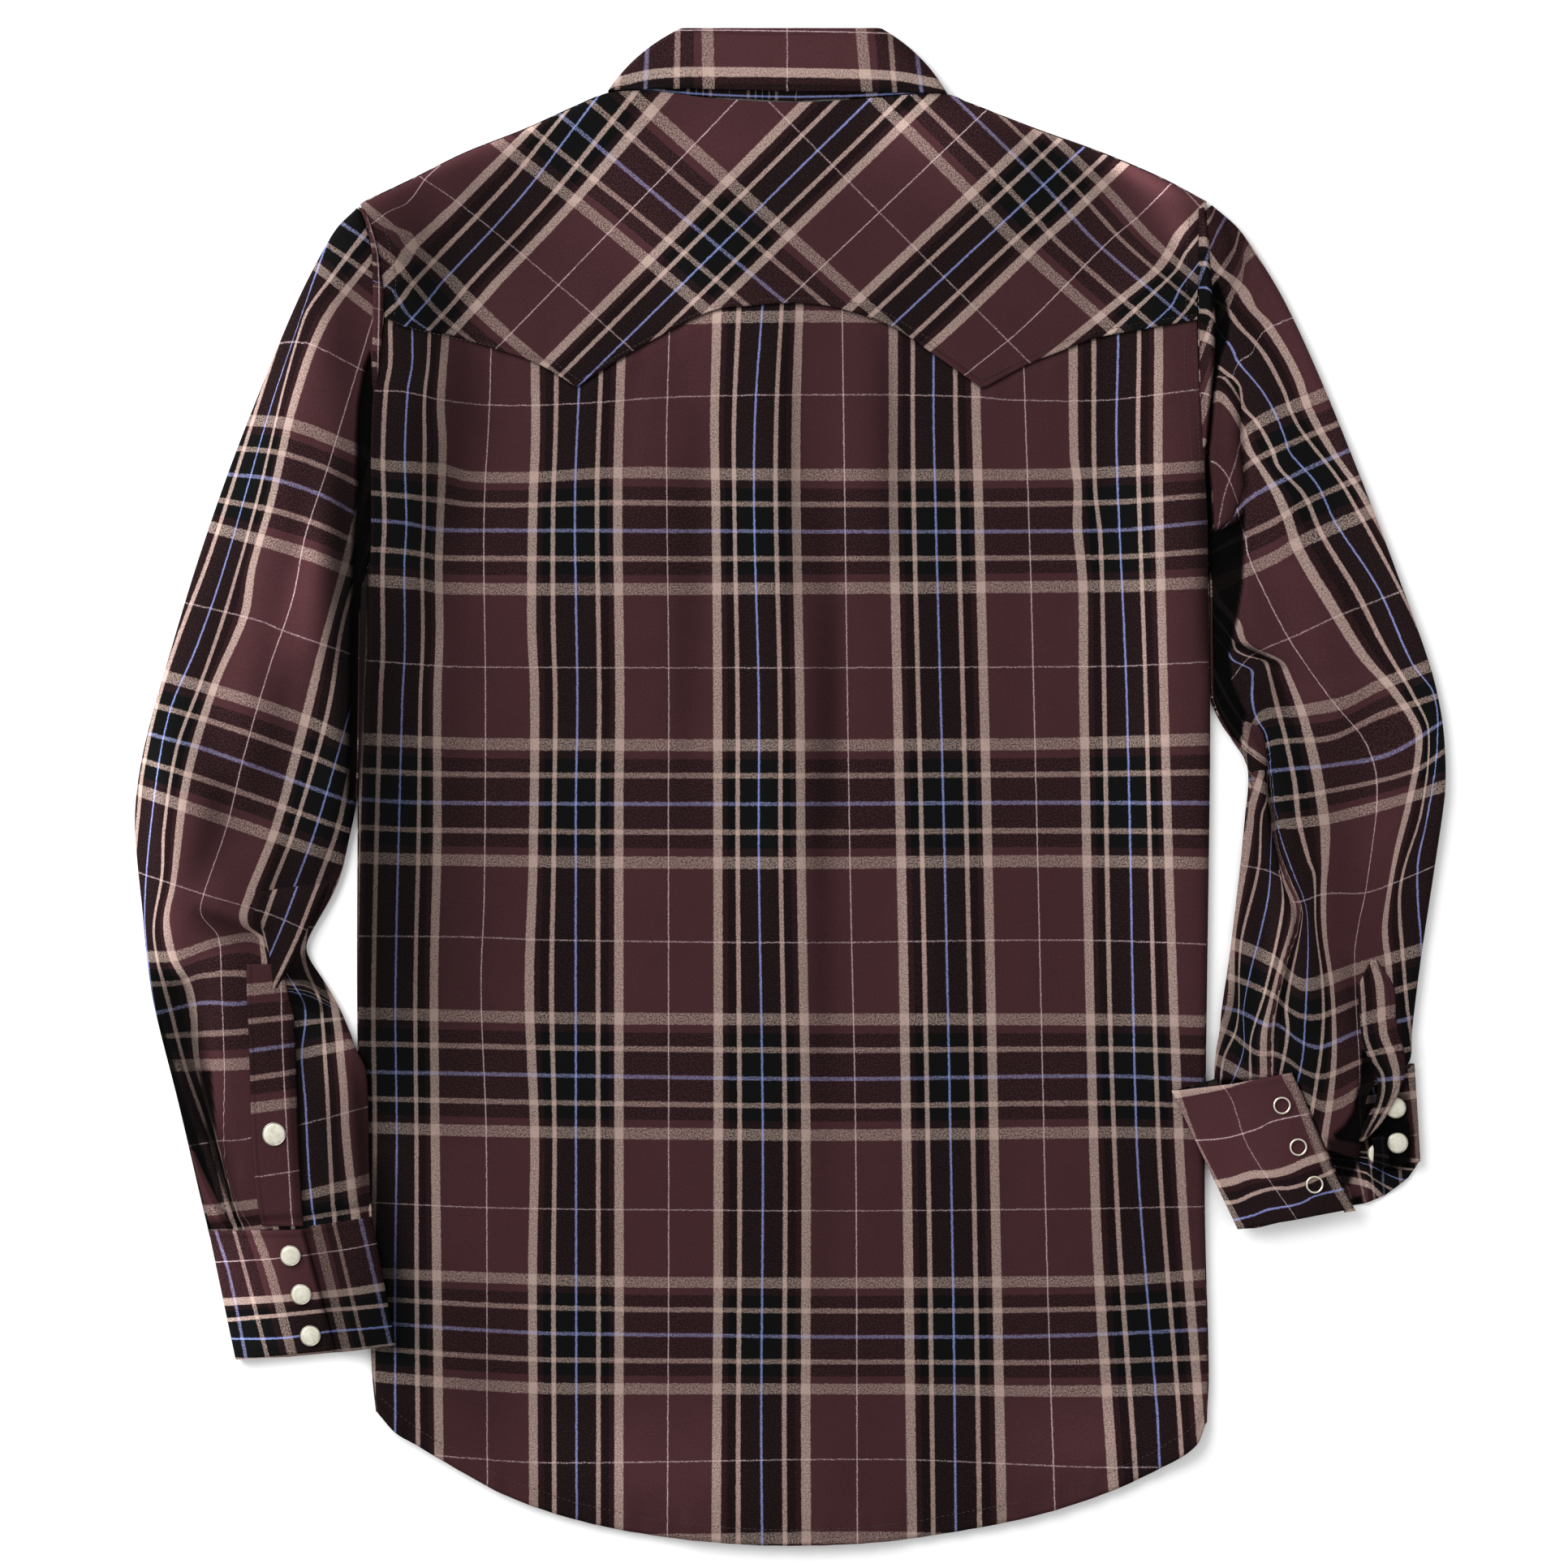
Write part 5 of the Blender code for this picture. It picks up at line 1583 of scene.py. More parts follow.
# Folds of the left sleeve's cloth; their shade is painted, darker at an edge that tucks under and paler
# where negative.
LEFT_LAPS = (
    Lap(
        left="236,1414 243,1445 252,1480 261,1514", right="240,1414 254,1445 272,1480 290,1513",
        chart=Chart(
            warps=(Thread(0, THICK, "222,1400 246,1515"), Thread(0, WHITE, "290,1400 322,1515")),
            wefts=(
                Thread(3, WHITE, "230,1398 300,1402"),
                Thread(4, THICK, "236,1493 300,1487", before=True),
                Thread(4, THIN, "236,1527 300,1520", before=True))),
        rise=0.9, reach=(1.2, 1.4), shade=(0.0, -0.45, 0.3), fade=(4.0, 0.5)),
    Lap(
        left="443,257 449,270 455,286 459,312 460,336 460,384 459,422 457,456 460,490",
        right="450,258 456,272 462,288 468,312 472,341 475,362 474,384 473,408 470,444 464,490",
        chart=Chart(
            warps=(
                Thread(0, WHITE, "452,262 467,320 467,460"),
                Thread(1, THICK, "513,262 528,320 528,460", before=True)),
            wefts=(
                Thread(0, WHITE, "440,284 475,292", before=True),
                Thread(0, THICK, "440,298 475,306", before=True),
                Thread(0, BLUE, "440,346 475,352"),
                Thread(0, WHITE, "440,353 475,359", off=-60.0),
                Thread(1, THICK, "440,416 475,424", before=True),
                Thread(1, THIN, "440,447 475,452", before=True))),
        rise=1.5, reach=(2.0, 1.4), shade=(0.0, -0.15, 0.55), fade=(1.0, 8.0)),
    Lap(
        left="300,1092 316,1125 328,1150 334,1180 338,1219",
        right="418,1070 398,1110 380,1145 366,1182 342,1221",
        chart=Chart(
            warps=(
                Thread(1, THICK, "342,1020 304,1118 296,1160", before=True),
                Thread(1, THIN, "365,1020 333,1120 318,1160 300,1200", before=True),
                Thread(1, BLUE, "391,1020 358,1120 318,1215"),
                Thread(1, THIN, "417,1020 385,1110 365,1160 338,1217"),
                Thread(1, THICK, "440,1040 410,1110 392,1160 365,1217")),
            wefts=(
                Thread(2, THICK, "250,998 420,1057"),
                Thread(2, WHITE, "255,1102 340,1128 420,1165"),
                Thread(3, THICK, "250,1199 340,1225 420,1262", before=True))),
        rise=2.9, reach=(2.2, 3.0), shade=(0.3, -0.05, 0.15), fade=(16.0, 0.5)))
# Folds of the right sleeve's cloth; their shade is painted, darker at an edge that tucks under and
# paler where negative.
RIGHT_LAPS = (
    Lap(
        left="1534,884 1528,896 1527,910 1528,925 1533,938 1539,952",
        right="1549,892 1557,906 1560,920 1561,935 1561,948 1560,960",
        chart=Chart(
            warps=(
                Thread(-1, THICK, "1520,903 1532,920 1545,931 1566,945", before=True),
                Thread(-1, THIN, "1526,880 1534,894 1544,907 1562,921", before=True)),
            wefts=(
                Thread(1, THICK, "1541,880 1533,900 1529,928 1532,960"),
                Thread(1, WHITE, "1611,880 1603,900 1599,928 1602,960")),
            warps_upright=False, wefts_upright=True),
        rise=1.0, reach=(1.6, 1.2), shade=(0.2, -0.1, 0.5), fade=(3.0, 1.0)),
    Lap(
        left="1540,948 1541,965 1538,985 1536,1005 1533,1030 1529,1060 1527,1078",
        right="1560,946 1561,965 1562,990 1565,1015 1570,1040 1576,1064 1580,1080",
        chart=Chart(
            warps=(
                Thread(-2, THICK, "1556,948 1543,993 1540,1022 1527,1098", before=True),
                Thread(-2, THIN, "1568,948 1560,985 1553,1005 1550,1065 1541,1104", before=True),
                Thread(-2, BLUE, "1574,948 1567,1000 1562,1097"),
                Thread(-2, THIN, "1582,948 1575,1041 1578,1097")),
            wefts=(Thread(2, THICK, "1534,958 1565,974"), Thread(2, WHITE, "1530,1066 1580,1076"))),
        rise=1.0, reach=(1.2, 1.4), shade=(0.1, -0.1, 0.45), fade=(0.8, 8.0)),
    Lap(
        left="1475,258 1475,300 1475,384 1476,440 1478,500 1481,560",
        right="1483,254 1489,300 1491,336 1495,372 1498,394 1497,432 1496,456 1492,500 1486,560",
        chart=Chart(
            warps=(
                Thread(0, THICK, "1475,300 1485,301 1492,310", before=True),
                Thread(0, THIN, "1475,327 1486,328 1494,340", before=True),
                Thread(0, BLUE, "1475,356 1486,357 1496,366"),
                Thread(0, THIN, "1475,384 1488,387 1498,398"),
                Thread(0, THICK, "1475,413 1486,417 1498,425"),
                Thread(0, WHITE, "1475,485 1485,487 1498,494")),
            wefts=(Thread(0, THIN, "1500,375 1466,470"), Thread(0, THICK, "1520,395 1466,540")),
            warps_upright=False, wefts_upright=True),
        rise=1.5, reach=(1.2, 2.6), shade=(0.2, -0.2, 0.45), fade=(1.0, 10.0)),
    Lap(
        left="1497,458 1494,479 1491,508 1488,556 1492,600 1494,640 1495,652",
        right="1512,462 1526,478 1529,500 1528,540 1534,600 1518,641 1499,654",
        chart=Chart(
            warps=(
                Thread(0, THICK, "1480,574 1494,489 1540,540"),
                Thread(0, WHITE, "1480,565 1497,572 1509,585 1516,600 1530,640"),
                Thread(1, THICK, "1480,680 1510,700 1530,720", before=True)),
            wefts=(
                Thread(0, WHITE, "1530,530 1520,572 1507,610 1499,652"),
                Thread(1, THICK, "1630,530 1600,652", before=True)),
            warps_upright=False, wefts_upright=True),
        rise=0.9, reach=(2.0, 2.0), shade=(0.25, 0.05, 0.6), fade=(5.0, 0.5)))
# Creases and hollows of the right sleeve. Their darkness is painted shade, near black in the armpit,
# under the seam roll and in the opening, and negative darkness is a painted highlight; those at height
# 0 are painted alone.
RIGHT_FOLDS_AND_PAINTED_SHADE = (
    Crease("1560,290 1720,680 1775,850 1784,1000 1768,1180", 0.0, 40, 46, -0.62),
    Crease("1500,400 1560,640 1610,760 1650,900", 0.0, 50, 40, -0.38),
    Crease("1572,1060 1576,1160 1564,1280", 0.0, 18, 18, -0.6),
    Crease("1690,900 1700,1000 1696,1100", 0.0, 30, 30, -0.25),
    Hollow("1498,350 1511,374 1515,396 1512,420 1503,442 1498,470 1494,520 1490,560 1484,560 1489,500 "
        "1494,440 1496,394 1492,364", 3.0, 0.985, 3.5),
    Hollow("1484,552 1489,556 1493,600 1495,655 1520,643 1533,628 1531,716 1523,768 1514,808 1519,845 "
        "1535,880 1529,918 1505,897 1486,866 1484,700", 3.4, 0.985, 3.0),
    Crease("1529,500 1530,560 1536,610", -1.8, 5, 5, 0.5),
    Crease("1535,440 1580,600", 1.3, 20, 24, -0.08),
    Crease("1506,268 1518,300 1512,340", -1.0, 8, 8, 0.35),
    Crease("1540,300 1524,350 1508,372", -0.9, 9, 9, 0.3),
    Crease("1526,700 1545,770 1570,800", 1.2, 16, 10, -0.1),
    Crease("1514,794 1538,800 1562,813", -2.0, 4, 4, 0.8, 3.0),
    Crease("1540,802 1584,824", -2.2, 5, 5, 0.6),
    Crease("1562,826 1575,850 1590,900", -1.2, 7, 8, 0.35),
    Crease("1528,830 1542,850 1550,880", 1.6, 7, 8, -0.05),
    Crease("1534,880 1556,922", -1.8, 5, 6, 0.5),
    Crease("1556,915 1573,1040 1586,1080", -2.2, 3, 7, 0.55),
    Crease("1568,915 1574,980 1590,1050", 1.4, 12, 8, -0.05),
    Crease("1578,1078 1597,1135 1568,1290", -2.6, 6, 5, 0.6),
    Crease("1572,1090 1574,1140 1560,1220 1550,1310", 1.6, 8, 9, -0.08),
    Crease("1604,1110 1610,1180 1602,1300", 1.4, 14, 14, -0.05),
    Crease("1545,1060 1540,1150 1518,1310", 1.0, 12, 10, -0.05),
    Crease("1524,1200 1500,1320", -1.2, 8, 10, 0.45),
    Crease("1650,980 1655,1100 1648,1250", -1.2, 24, 24, 0.12),
    Crease("1650,640 1700,750 1728,850 1730,960", 1.5, 30, 26, -0.15),
    Crease("1590,640 1630,740 1668,850 1680,1000", -1.1, 24, 26, 0.1),
    Crease("1600,860 1650,850 1700,830", 0.8, 14, 16, -0.08),
    Hollow("1676,1290 1674,1330 1670,1345 1665,1370 1655,1385 1640,1398 1650,1405 1665,1407 1677,1410 "
        "1683,1398 1690,1385 1694,1360 1697,1340 1694,1320 1684,1300", 2.6, 0.97, 3.0),
    Hollow("1440,1335 1596,1325 1612,1368 1640,1440 1640,1480 1440,1480", 4.2, 0.0, 8.0),
    Hollow("1632,1402 1655,1400 1682,1402 1694,1440 1640,1440", 0.0, 0.8, 10.0),
    Crease("1660,1180 1668,1230 1670,1290", -1.0, 8, 12, 0.35))


@dataclass(frozen=True)
class Row:
    """A crosswise thread: the plan heights of its outer and inner ends."""

    along: float
    outer: float
    inner: float


@dataclass(frozen=True)
class Sleeve:
    """A one-piece sleeve, folded flat at its outer edge and sewn along its inner one."""

    side: Side
    outer: Points              # plan height and X of the outer fold
    inner: Points              # the same of the inner seam, below the underarm
    rows: tuple[Row, ...]
    chart: Chart
    # creases and hollows, with painted shade and highlights
    creases: tuple[Fold, ...]
    laps: tuple[Lap, ...]
    loft: float                # how far it bulges midway between its edges
    climb: float               # how high its lower end lies on what is beneath it
    flat: tuple[float, float]
    area: float
    height: float = 5.4
    row_pitch: float = 1.9     # millimetres of cloth from one shown row to the next

    def rise(self, x: Array, y: Array, body: ShirtBody) -> Array:
        """How far the sleeve climbs over what lies beneath it.

        Args:
            x: Millimetres across.
            y: Millimetres along.
            body: The shirt's body.

        Returns:
            The extra height in millimetres.
        """
        if self.side is Side.RIGHT:
            return self.climb * ramp(y, -134.0, -148.0)
        over_body = ramp(x - body.edge(Side.LEFT, y), -24.0, -2.0)
        return self.climb * ramp(y, -136.0, -150.0) * over_body

    def ends(self, along: Array, body: ShirtBody) -> tuple[Array, Array, Array, Array]:
        """Plan places of the inner and outer ends of crosswise threads.

        Args:
            along: Distances down the cloth.
            body: The shirt's body, whose armhole the cap is sewn to.

        Returns:
            Inner X and Y, then outer X and Y.
        """
        outer_y = track(tuple((row.along, row.outer) for row in self.rows), along)
        inner_y = track(tuple((row.along, row.inner) for row in self.rows), along)
        outer_x = track(self.outer, outer_y)
        cap = body.edge(self.side, inner_y) + self.side.value * SEAM
        inner_x = np.where(inner_y > UNDERARM - 1.0, cap, track(self.inner, inner_y))
        return inner_x, inner_y, outer_x, outer_y

    def face(self, x: Array, y: Array, share: Array, body: ShirtBody) -> tuple[Array, Array]:
        """Upper layer of the sleeve.

        Args:
            x: Millimetres across.
            y: Millimetres along.
            share: Share of the full height there, less than 1 round the edges.
            body: The shirt's body.

        Returns:
            The height and the painted shade.
        """
        rise, dark = relief_and_painted_shade(self.creases, x, y)
        height = (rise + wavering(x, y, 0.5, 70.0)) * ramp(share, 0.45, 1.0)
        # painted shade only on the upper face, fading out round its edges
        return self.height * share + self.rise(x, y, body) + height, dark * ramp(share, 0.3, 0.5)

    def surface(self, x: Array, y: Array, body: ShirtBody) -> tuple[Array, Array]:
        """Upper layer for what lies on it.

        Args:
            x: Millimetres across.
            y: Millimetres along.
            body: The shirt's body.

        Returns:
            The height and the painted shade.
        """
        middles = tuple(((row.outer + row.inner) / 2.0, row.along) for row in self.rows)
        inner_x, _, outer_x, _ = self.ends(track(middles, y), body)
        across = np.clip((x - inner_x) / (outer_x - inner_x), 0.0, 1.0)
        z, dark = self.face(x, y, np.ones(np.shape(x)), body)
        return z + self.loft * 4.0 * across * (1.0 - across), dark

    def sheet(self, body: ShirtBody) -> Sheet:
        """The sleeve's cloth as a closed ring of columns at each crosswise thread.

        Args:
            body: The shirt's body.

        Returns:
            The outer face, over the top and then back beneath it.
        """
        first, last = self.rows[0].along, self.rows[-1].along
        along = np.linspace(first, last, round((last - first) / self.row_pitch))[:, None]
        inner_x, inner_y, outer_x, outer_y = self.ends(along, body)
        length = np.hypot(outer_x - inner_x, outer_y - inner_y)
        reach = np.minimum(FOLD_REACH, 0.3 * length)
        closed = body.side_closed(inner_y)
        turn = np.radians(np.linspace(0.0, 90.0, 8))[None, :]
        near = reach * (1.0 - np.cos(turn))
        high = np.sin(turn)
        inside = np.linspace(0.0, 1.0, 76)[None, 1:-1] ** 1.15
        beneath = np.linspace(0.0, 1.0, 24)[None, 1:-1]
        middle = reach + (length - 2.0 * reach) * inside
        low = length - reach - (length - 2.0 * reach) * beneath
        distance = np.concatenate([near, middle, length - near[:, ::-1], length - near[:, 1:],
                                   low, near[:, ::-1]], axis=1)
        start = 1.0 - 0.5 * closed * (1.0 - high)
        end = np.broadcast_to(0.5 + 0.5 * high[:, ::-1], near.shape)
        under = np.broadcast_to(0.5 - 0.5 * high[:, 1:], near[:, 1:].shape)
        back = 0.5 * closed * (1.0 - high[:, ::-1])
        share = np.concatenate([start, np.ones_like(middle), end, under, 0.0 * low, back], axis=1)
        part = distance / length
        x = inner_x + (outer_x - inner_x) * part
        y = inner_y + (outer_y - inner_y) * part
        upper = (np.arange(distance.shape[1]) < near.shape[1] * 2 + middle.shape[1])[None, :]
        z, dark = self.face(x, y, share, body)
        bulge = self.loft * np.clip(4.0 * part * (1.0 - part), 0.0, 1.0) * ramp(share, 0.5, 1.0)
        z = np.where(upper, z + bulge, self.height * share + self.rise(x, y, body))
        warp, weft = self.chart.cloth(x, y)
        fold = self.chart.cloth(outer_x, outer_y)[0]
        warp = np.where(upper, warp, 2.0 * fold - warp)
        return Sheet(x, y, z, warp, weft, np.where(upper, dark, 0.0), self.side is Side.RIGHT)

    def dress(self, shop: Workshop, body: ShirtBody) -> None:
        """Make the sleeve.

        Args:
            shop: Makes the piece.
            body: The shirt's body.
        """
        laps = [lap.sheet(lambda x, y: self.surface(x, y, body)) for lap in self.laps]
        cloth = shop.sheet(f"sleeve_{self.side.name.lower()}", self.sheet(body), *laps)


LEFT_SLEEVE = Sleeve(
    side=Side.LEFT,
    outer=((320, -236.6), (310.3, -246.6), (296.8, -255), (269.8, -268.7), (229.3, -285.8),
        (175.3, -306.9), (121.3, -325.4), (67.3, -341.6), (26.8, -352.8), (-0.2, -357.8), (-20, -359.1),
        (-40.7, -357.8), (-67.7, -355), (-94.7, -352.4), (-121.7, -348.3), (-175.7, -334.8),
        (-229.7, -322.2), (-250, -317.3)),
    inner=((UNDERARM, -229), (112, -233.4), (90, -234.2), (40, -234.8), (-5, -236), (-27, -240),
        (-54, -247), (-81, -261.5), (-88, -264), (-95, -262.4), (-108, -254), (-122, -246),
        (-135, -240.3), (-144, -236.6), (-155, -231), (-171, -229.5), (-216, -228.6), (-237, -227.3)),
    rows=(
        Row(-16, 320, 319.5), Row(0, 310, 300), Row(31.5, 287, 261.7), Row(75.4, 246.8, 229.3),
        Row(119, 202, 183.4), Row(150.8, 173.5, 148), Row(182, 144.7, 119.5), Row(226, 102.4, 72.7),
        Row(269.5, 62, 23), Row(301.5, 30, -9), Row(333, 0, -37), Row(377, -47.5, -80),
        Row(420.5, -94.7, -90), Row(452, -125, -118), Row(483.7, -154, -143),
        Row(527.6, -193.7, -176.6), Row(571, -234, -225), Row(588, -249, -241)),
    chart=LEFT_CHART, creases=LEFT_FOLDS_AND_PAINTED_SHADE, laps=LEFT_LAPS, loft=2.2, climb=5.8,
    flat=(0.31, 0.6), area=0.105)
RIGHT_SLEEVE = Sleeve(
    side=Side.RIGHT,
    outer=((322.5, 237), (310.3, 251.1), (296.8, 261), (269.8, 277.2), (229.3, 296.1), (175.3, 318.2),
        (121.3, 338.9), (67.3, 358.2), (40.3, 364.5), (20, 366.6), (-0.2, 366.8), (-13.7, 365.4),
        (-40.7, 361.4), (-94.7, 353.3), (-135, 348.3), (-151, 347), (-157, 342), (-168, 325),
        (-193.7, 321), (-206, 318)),
    inner=((UNDERARM, 235.5), (110, 236.6), (49.3, 237.2), (40.3, 240.3), (26.8, 248), (13.3, 256.4),
        (-0.2, 257.4), (-13.7, 256), (-40.7, 253.4), (-94.7, 247), (-121.7, 243), (-136, 241.5),
        (-146, 239.6), (-158, 238.6), (-168, 240), (-178, 250), (-190, 267.8)),
    rows=(
        Row(-45, 322, 319.5), Row(0, 315.7, 275.6), Row(31.5, 297.7, 247.3), Row(75.4, 259.4, 217),
        Row(119, 215.8, 184.3), Row(150.8, 186, 148.3), Row(182, 152.8, 110), Row(226, 109, 67.3),
        Row(269.5, 67.3, 40.3), Row(301.5, 35.8, 13.3), Row(333, 1, -22.7), Row(377, -44, -41.6),
        Row(420.5, -90, -85.7), Row(452, -127.6, -121.7), Row(483.7, -152, -146),
        Row(527.6, -190, -178), Row(545, -206, -190)),
    chart=RIGHT_CHART, creases=RIGHT_FOLDS_AND_PAINTED_SHADE, laps=RIGHT_LAPS, loft=2.0, climb=1.6,
    flat=(0.31, 0.6), area=0.098)


# The sleeves' bands.

LEFT_BAND_CHART = Chart(
    warps=(
        Thread(0, THICK, "290,1200 291,1350 298,1510"),
        Thread(0, WHITE, "348,1200 351,1300 362,1510")),
    wefts=(
        Thread(0, THICK, "306,1220 366,1214", before=True),
        Thread(0, THIN, "306,1258 366,1252", before=True),
        Thread(0, BLUE, "306,1294 366,1286"),
        Thread(0, THIN, "306,1328 366,1319"),
        Thread(0, THICK, "306,1364 368,1356"),
        Thread(0, WHITE, "306,1450 372,1440"),
        Thread(1, THICK, "306,1560 372,1550", before=True)))
RIGHT_BAND_CHART = Chart(
    warps=(
        Thread(0, THIN, "1672,1185 1676,1211 1681,1277 1691,1306 1701,1323 1701,1350 1691,1378 "
            "1681,1398"),
        Thread(0, THICK, "1689,1187 1696,1211 1701,1272 1710,1296 1716,1320 1713,1350 1684,1401")),
    wefts=(
        Thread(0, THICK, "1675,1256 1720,1244", before=True),
        Thread(0, THIN, "1675,1300 1730,1288", before=True),
        Thread(0, BLUE, "1680,1331 1730,1326"),
        Thread(0, THIN, "1680,1370 1730,1362")))


@dataclass(frozen=True)
class Cross:
    """One station down a band: its plan height and the X of its two long edges."""

    y: float
    left: float
    right: float


@dataclass(frozen=True)
class SleeveBand:
    """The placket strip sewn over a sleeve's opening."""

    node: str
    sleeve: Sleeve
    stations: tuple[Cross, ...]
    chart: Chart
    height: float = 1.6        # above the sleeve
    stitch: float = 2.6        # from its edges to their stitching

    def sheet(self, body: ShirtBody) -> Sheet:
        """The strip's cloth, just above the sleeve.

        Args:
            body: The shirt's body.

        Returns:
            The outer face.
        """
        top, bottom = self.stations[0].y, self.stations[-1].y
        y = np.linspace(top, bottom, round((top - bottom) / 1.5))[:, None]
        left = track(tuple((s.y, s.left) for s in self.stations), y)
        right = track(tuple((s.y, s.right) for s in self.stations), y)
        x = left + (right - left) * np.linspace(0.0, 1.0, 22)[None, :]
        y = np.broadcast_to(y, x.shape)
        z, dark = self.sleeve.surface(x, y, body)
        from_edge = np.minimum(x - left, right - x)
        z = z + self.height - 0.9 * (1.0 - rounding(from_edge, 1.5))
        from_stitch = from_edge - self.stitch
        # painted shade: some of the sleeve's shade, and a darker line in the stitching groove
        shade = deepen(0.4 * dark, 0.3 * bell(from_stitch, 0.7))
        return Sheet.charted(x, y, z - 0.3 * bell(from_stitch, 0.6), self.chart, shade)

    def dress(self, shop: Workshop, body: ShirtBody) -> None:
        """Make the strip.

        Args:
            shop: Makes the piece.
            body: The shirt's body.
        """
        cloth = shop.sheet(self.node, self.sheet(body))


LEFT_BAND = SleeveBand(
    node="sleeve_band_left",
    sleeve=LEFT_SLEEVE,
    stations=(
        Cross(-98, -296.5, -276), Cross(-113, -296.5, -274), Cross(-124, -296, -271),
        Cross(-136, -295.5, -270.2), Cross(-149, -295, -269.6), Cross(-194, -293.6, -268.2),
        Cross(-226, -291, -266.4), Cross(-243, -288.4, -265.4)),
    chart=LEFT_BAND_CHART)
RIGHT_BAND = SleeveBand(
    node="sleeve_band_right",
    sleeve=RIGHT_SLEEVE,
    stations=(
        Cross(-95.5, 325, 328), Cross(-110.5, 318.2, 337.5), Cross(-128.5, 319, 338.8),
        Cross(-139.7, 320, 341.4), Cross(-149, 323, 343.5), Cross(-160, 328, 343.5),
        Cross(-167, 328.6, 341), Cross(-174.5, 327.5, 337.5), Cross(-186, 321.5, 330.5),
        Cross(-196, 318.5, 321)),
    chart=RIGHT_BAND_CHART)


# Ribbons: the cuffs and the collar.

@dataclass(frozen=True)
class Line:
    """A line across a ribbon, from its sewn edge to its free edge, in millimetres."""

    top: tuple[float, float]
    low: tuple[float, float]
    z: float
    fold: bool = False
    bow: float = 0.0           # how far the line bulges outward
    chart: int = 0             # which of the ribbon's charts its threads follow


CUFF_LEFT = (
    Line((-265.5, -245.0), (-248.0, -311.6), 5.7),
    Line((-318.2, -245.6), (-303.3, -317.0), 0.0, True),
    Line((-290.0, -245.4), (-275.0, -316.0), 0.0, chart=1),
    Line((-262.0, -241.5), (-244.0, -313.0), 0.0, chart=1),
    Line((-227.3, -237.4), (-214.2, -308.4), 0.0, True, chart=1),
    Line((-262.0, -243.2), (-244.0, -312.2), 4.2, chart=1),
    Line((-275.0, -245.2), (-258.0, -313.0), 4.2, chart=1))
CUFF_RIGHT = (
    Line((281.0, -157.8), (314.8, -233.0), 9.3), Line((249.0, -164.0), (281.0, -239.5), 9.3),
    Line((214.6, -168.0), (251.2, -244.5), 0.0, True),
    Line((236.0, -169.0), (262.0, -244.0), 5.7, chart=1),
    Line((252.0, -168.0), (275.0, -241.5), 0.0, chart=1),
    Line((303.8, -160.0), (308.3, -233.3), 0.0, chart=1),
    Line((319.0, -157.0), (322.0, -231.0), 0.0, chart=1),
    Line((334.0, -154.2), (334.0, -226.3), 0.0, chart=1),
    Line((344.0, -153.6), (346.5, -216.5), 0.0, chart=1),
    Line((349.7, -153.2), (353.0, -207.2), 0.0, True, chart=1),
    Line((333.0, -165.0), (324.0, -212.0), 5.4, chart=1))
COLLAR_FALL = (
    Line((-6.0, 343.0), (-66.0, 268.0), 0.0), Line((-34.0, 371.0), (-86.0, 322.0), 0.0),
    Line((-57.5, 419.6), (-97.0, 385.4), 0.0, True, 3.6), Line((-28.0, 419.6), (-48.0, 386.2), 6.9),
    Line((0.0, 419.6), (4.0, 384.6), 6.9), Line((28.0, 419.6), (48.0, 384.4), 6.9),
    Line((55.0, 419.6), (91.0, 383.4), 0.0, True, 3.6), Line((34.0, 371.0), (86.0, 322.0), 0.0),
    Line((6.0, 343.0), (66.0, 268.0), 0.0))
COLLAR_STAND = (
    Line((-1.0, 347.0), (-1.0, 318.0), WING_Z), Line((-16.0, 349.0), (-17.5, 317.6), WING_Z),
    Line((-30.0, 362.0), (-50.0, 326.8), WING_Z), Line((-40.0, 384.0), (-72.0, 342.0), WING_Z),
    Line((-54.0, 415.5), (-92.0, 386.8), WING_Z, True), Line((-45.0, 417.6), (-73.0, 385.8), 5.1),
    Line((-24.0, 417.8), (-39.0, 381.8), 5.1), Line((2.0, 417.8), (4.5, 379.5), 5.1),
    Line((26.0, 417.8), (48.0, 381.8), 5.1), Line((43.0, 417.6), (74.0, 384.0), 5.1),
    Line((51.5, 415.5), (86.6, 384.8), WING_Z, True), Line((38.0, 384.0), (72.0, 342.0), WING_Z),
    Line((30.0, 362.0), (50.0, 326.8), WING_Z), Line((16.0, 349.0), (17.5, 317.6), WING_Z),
    Line((1.0, 347.0), (1.0, 318.0), WING_Z))
COLLAR_CHART = Chart(
    warps=(
        Thread(-1, WHITE, "760,44 838,40 970,41 1100,44 1160,50"),
        Thread(0, THICK, "768,101 810,92 870,90 1066,93 1110,96 1150,104", before=True),
        Thread(0, BLUE, "768,168 970,158 1150,168")),
    wefts=(
        Thread(-1, BLUE, "798,60 796,100"),
        Thread(-1, THIN, "835,60 834,100"),
        Thread(-1, THICK, "871,60 872,100"),
        Thread(-1, WHITE, "970,60 970,100"),
        Thread(0, THICK, "1064,60 1068,100", before=True),
        Thread(0, THIN, "1098,60 1101,100", before=True),
        Thread(0, BLUE, "1128,60 1133,100")),
    warps_upright=False, wefts_upright=True)
STAND_CHART = Chart(
    warps=(
        Thread(0, BLUE, "779,110 838,116 914,120 975,121 1044,120 1116,117 1165,118"),
        Thread(0, THIN, "779,132 975,143 1165,140")),
    wefts=(
        Thread(-1, THIN, "850,110 850,130", before=True),
        Thread(0, WHITE, "980,110 980,130"),
        Thread(1, THICK, "1075,110 1075,130", before=True)),
    warps_upright=False, wefts_upright=True)
CUFF_LEFT_WARPS = (
    Thread(-1, WHITE, "268,1554 345,1549 410,1541 466,1530"),
    Thread(0, THICK, "279,1603 397,1595 478,1583", before=True),
    Thread(0, THIN, "283,1625 483,1605", before=True),
    Thread(0, BLUE, "288,1648 350,1647 400,1640 487,1631"),
    Thread(0, THIN, "290,1674 350,1672 489,1654"))
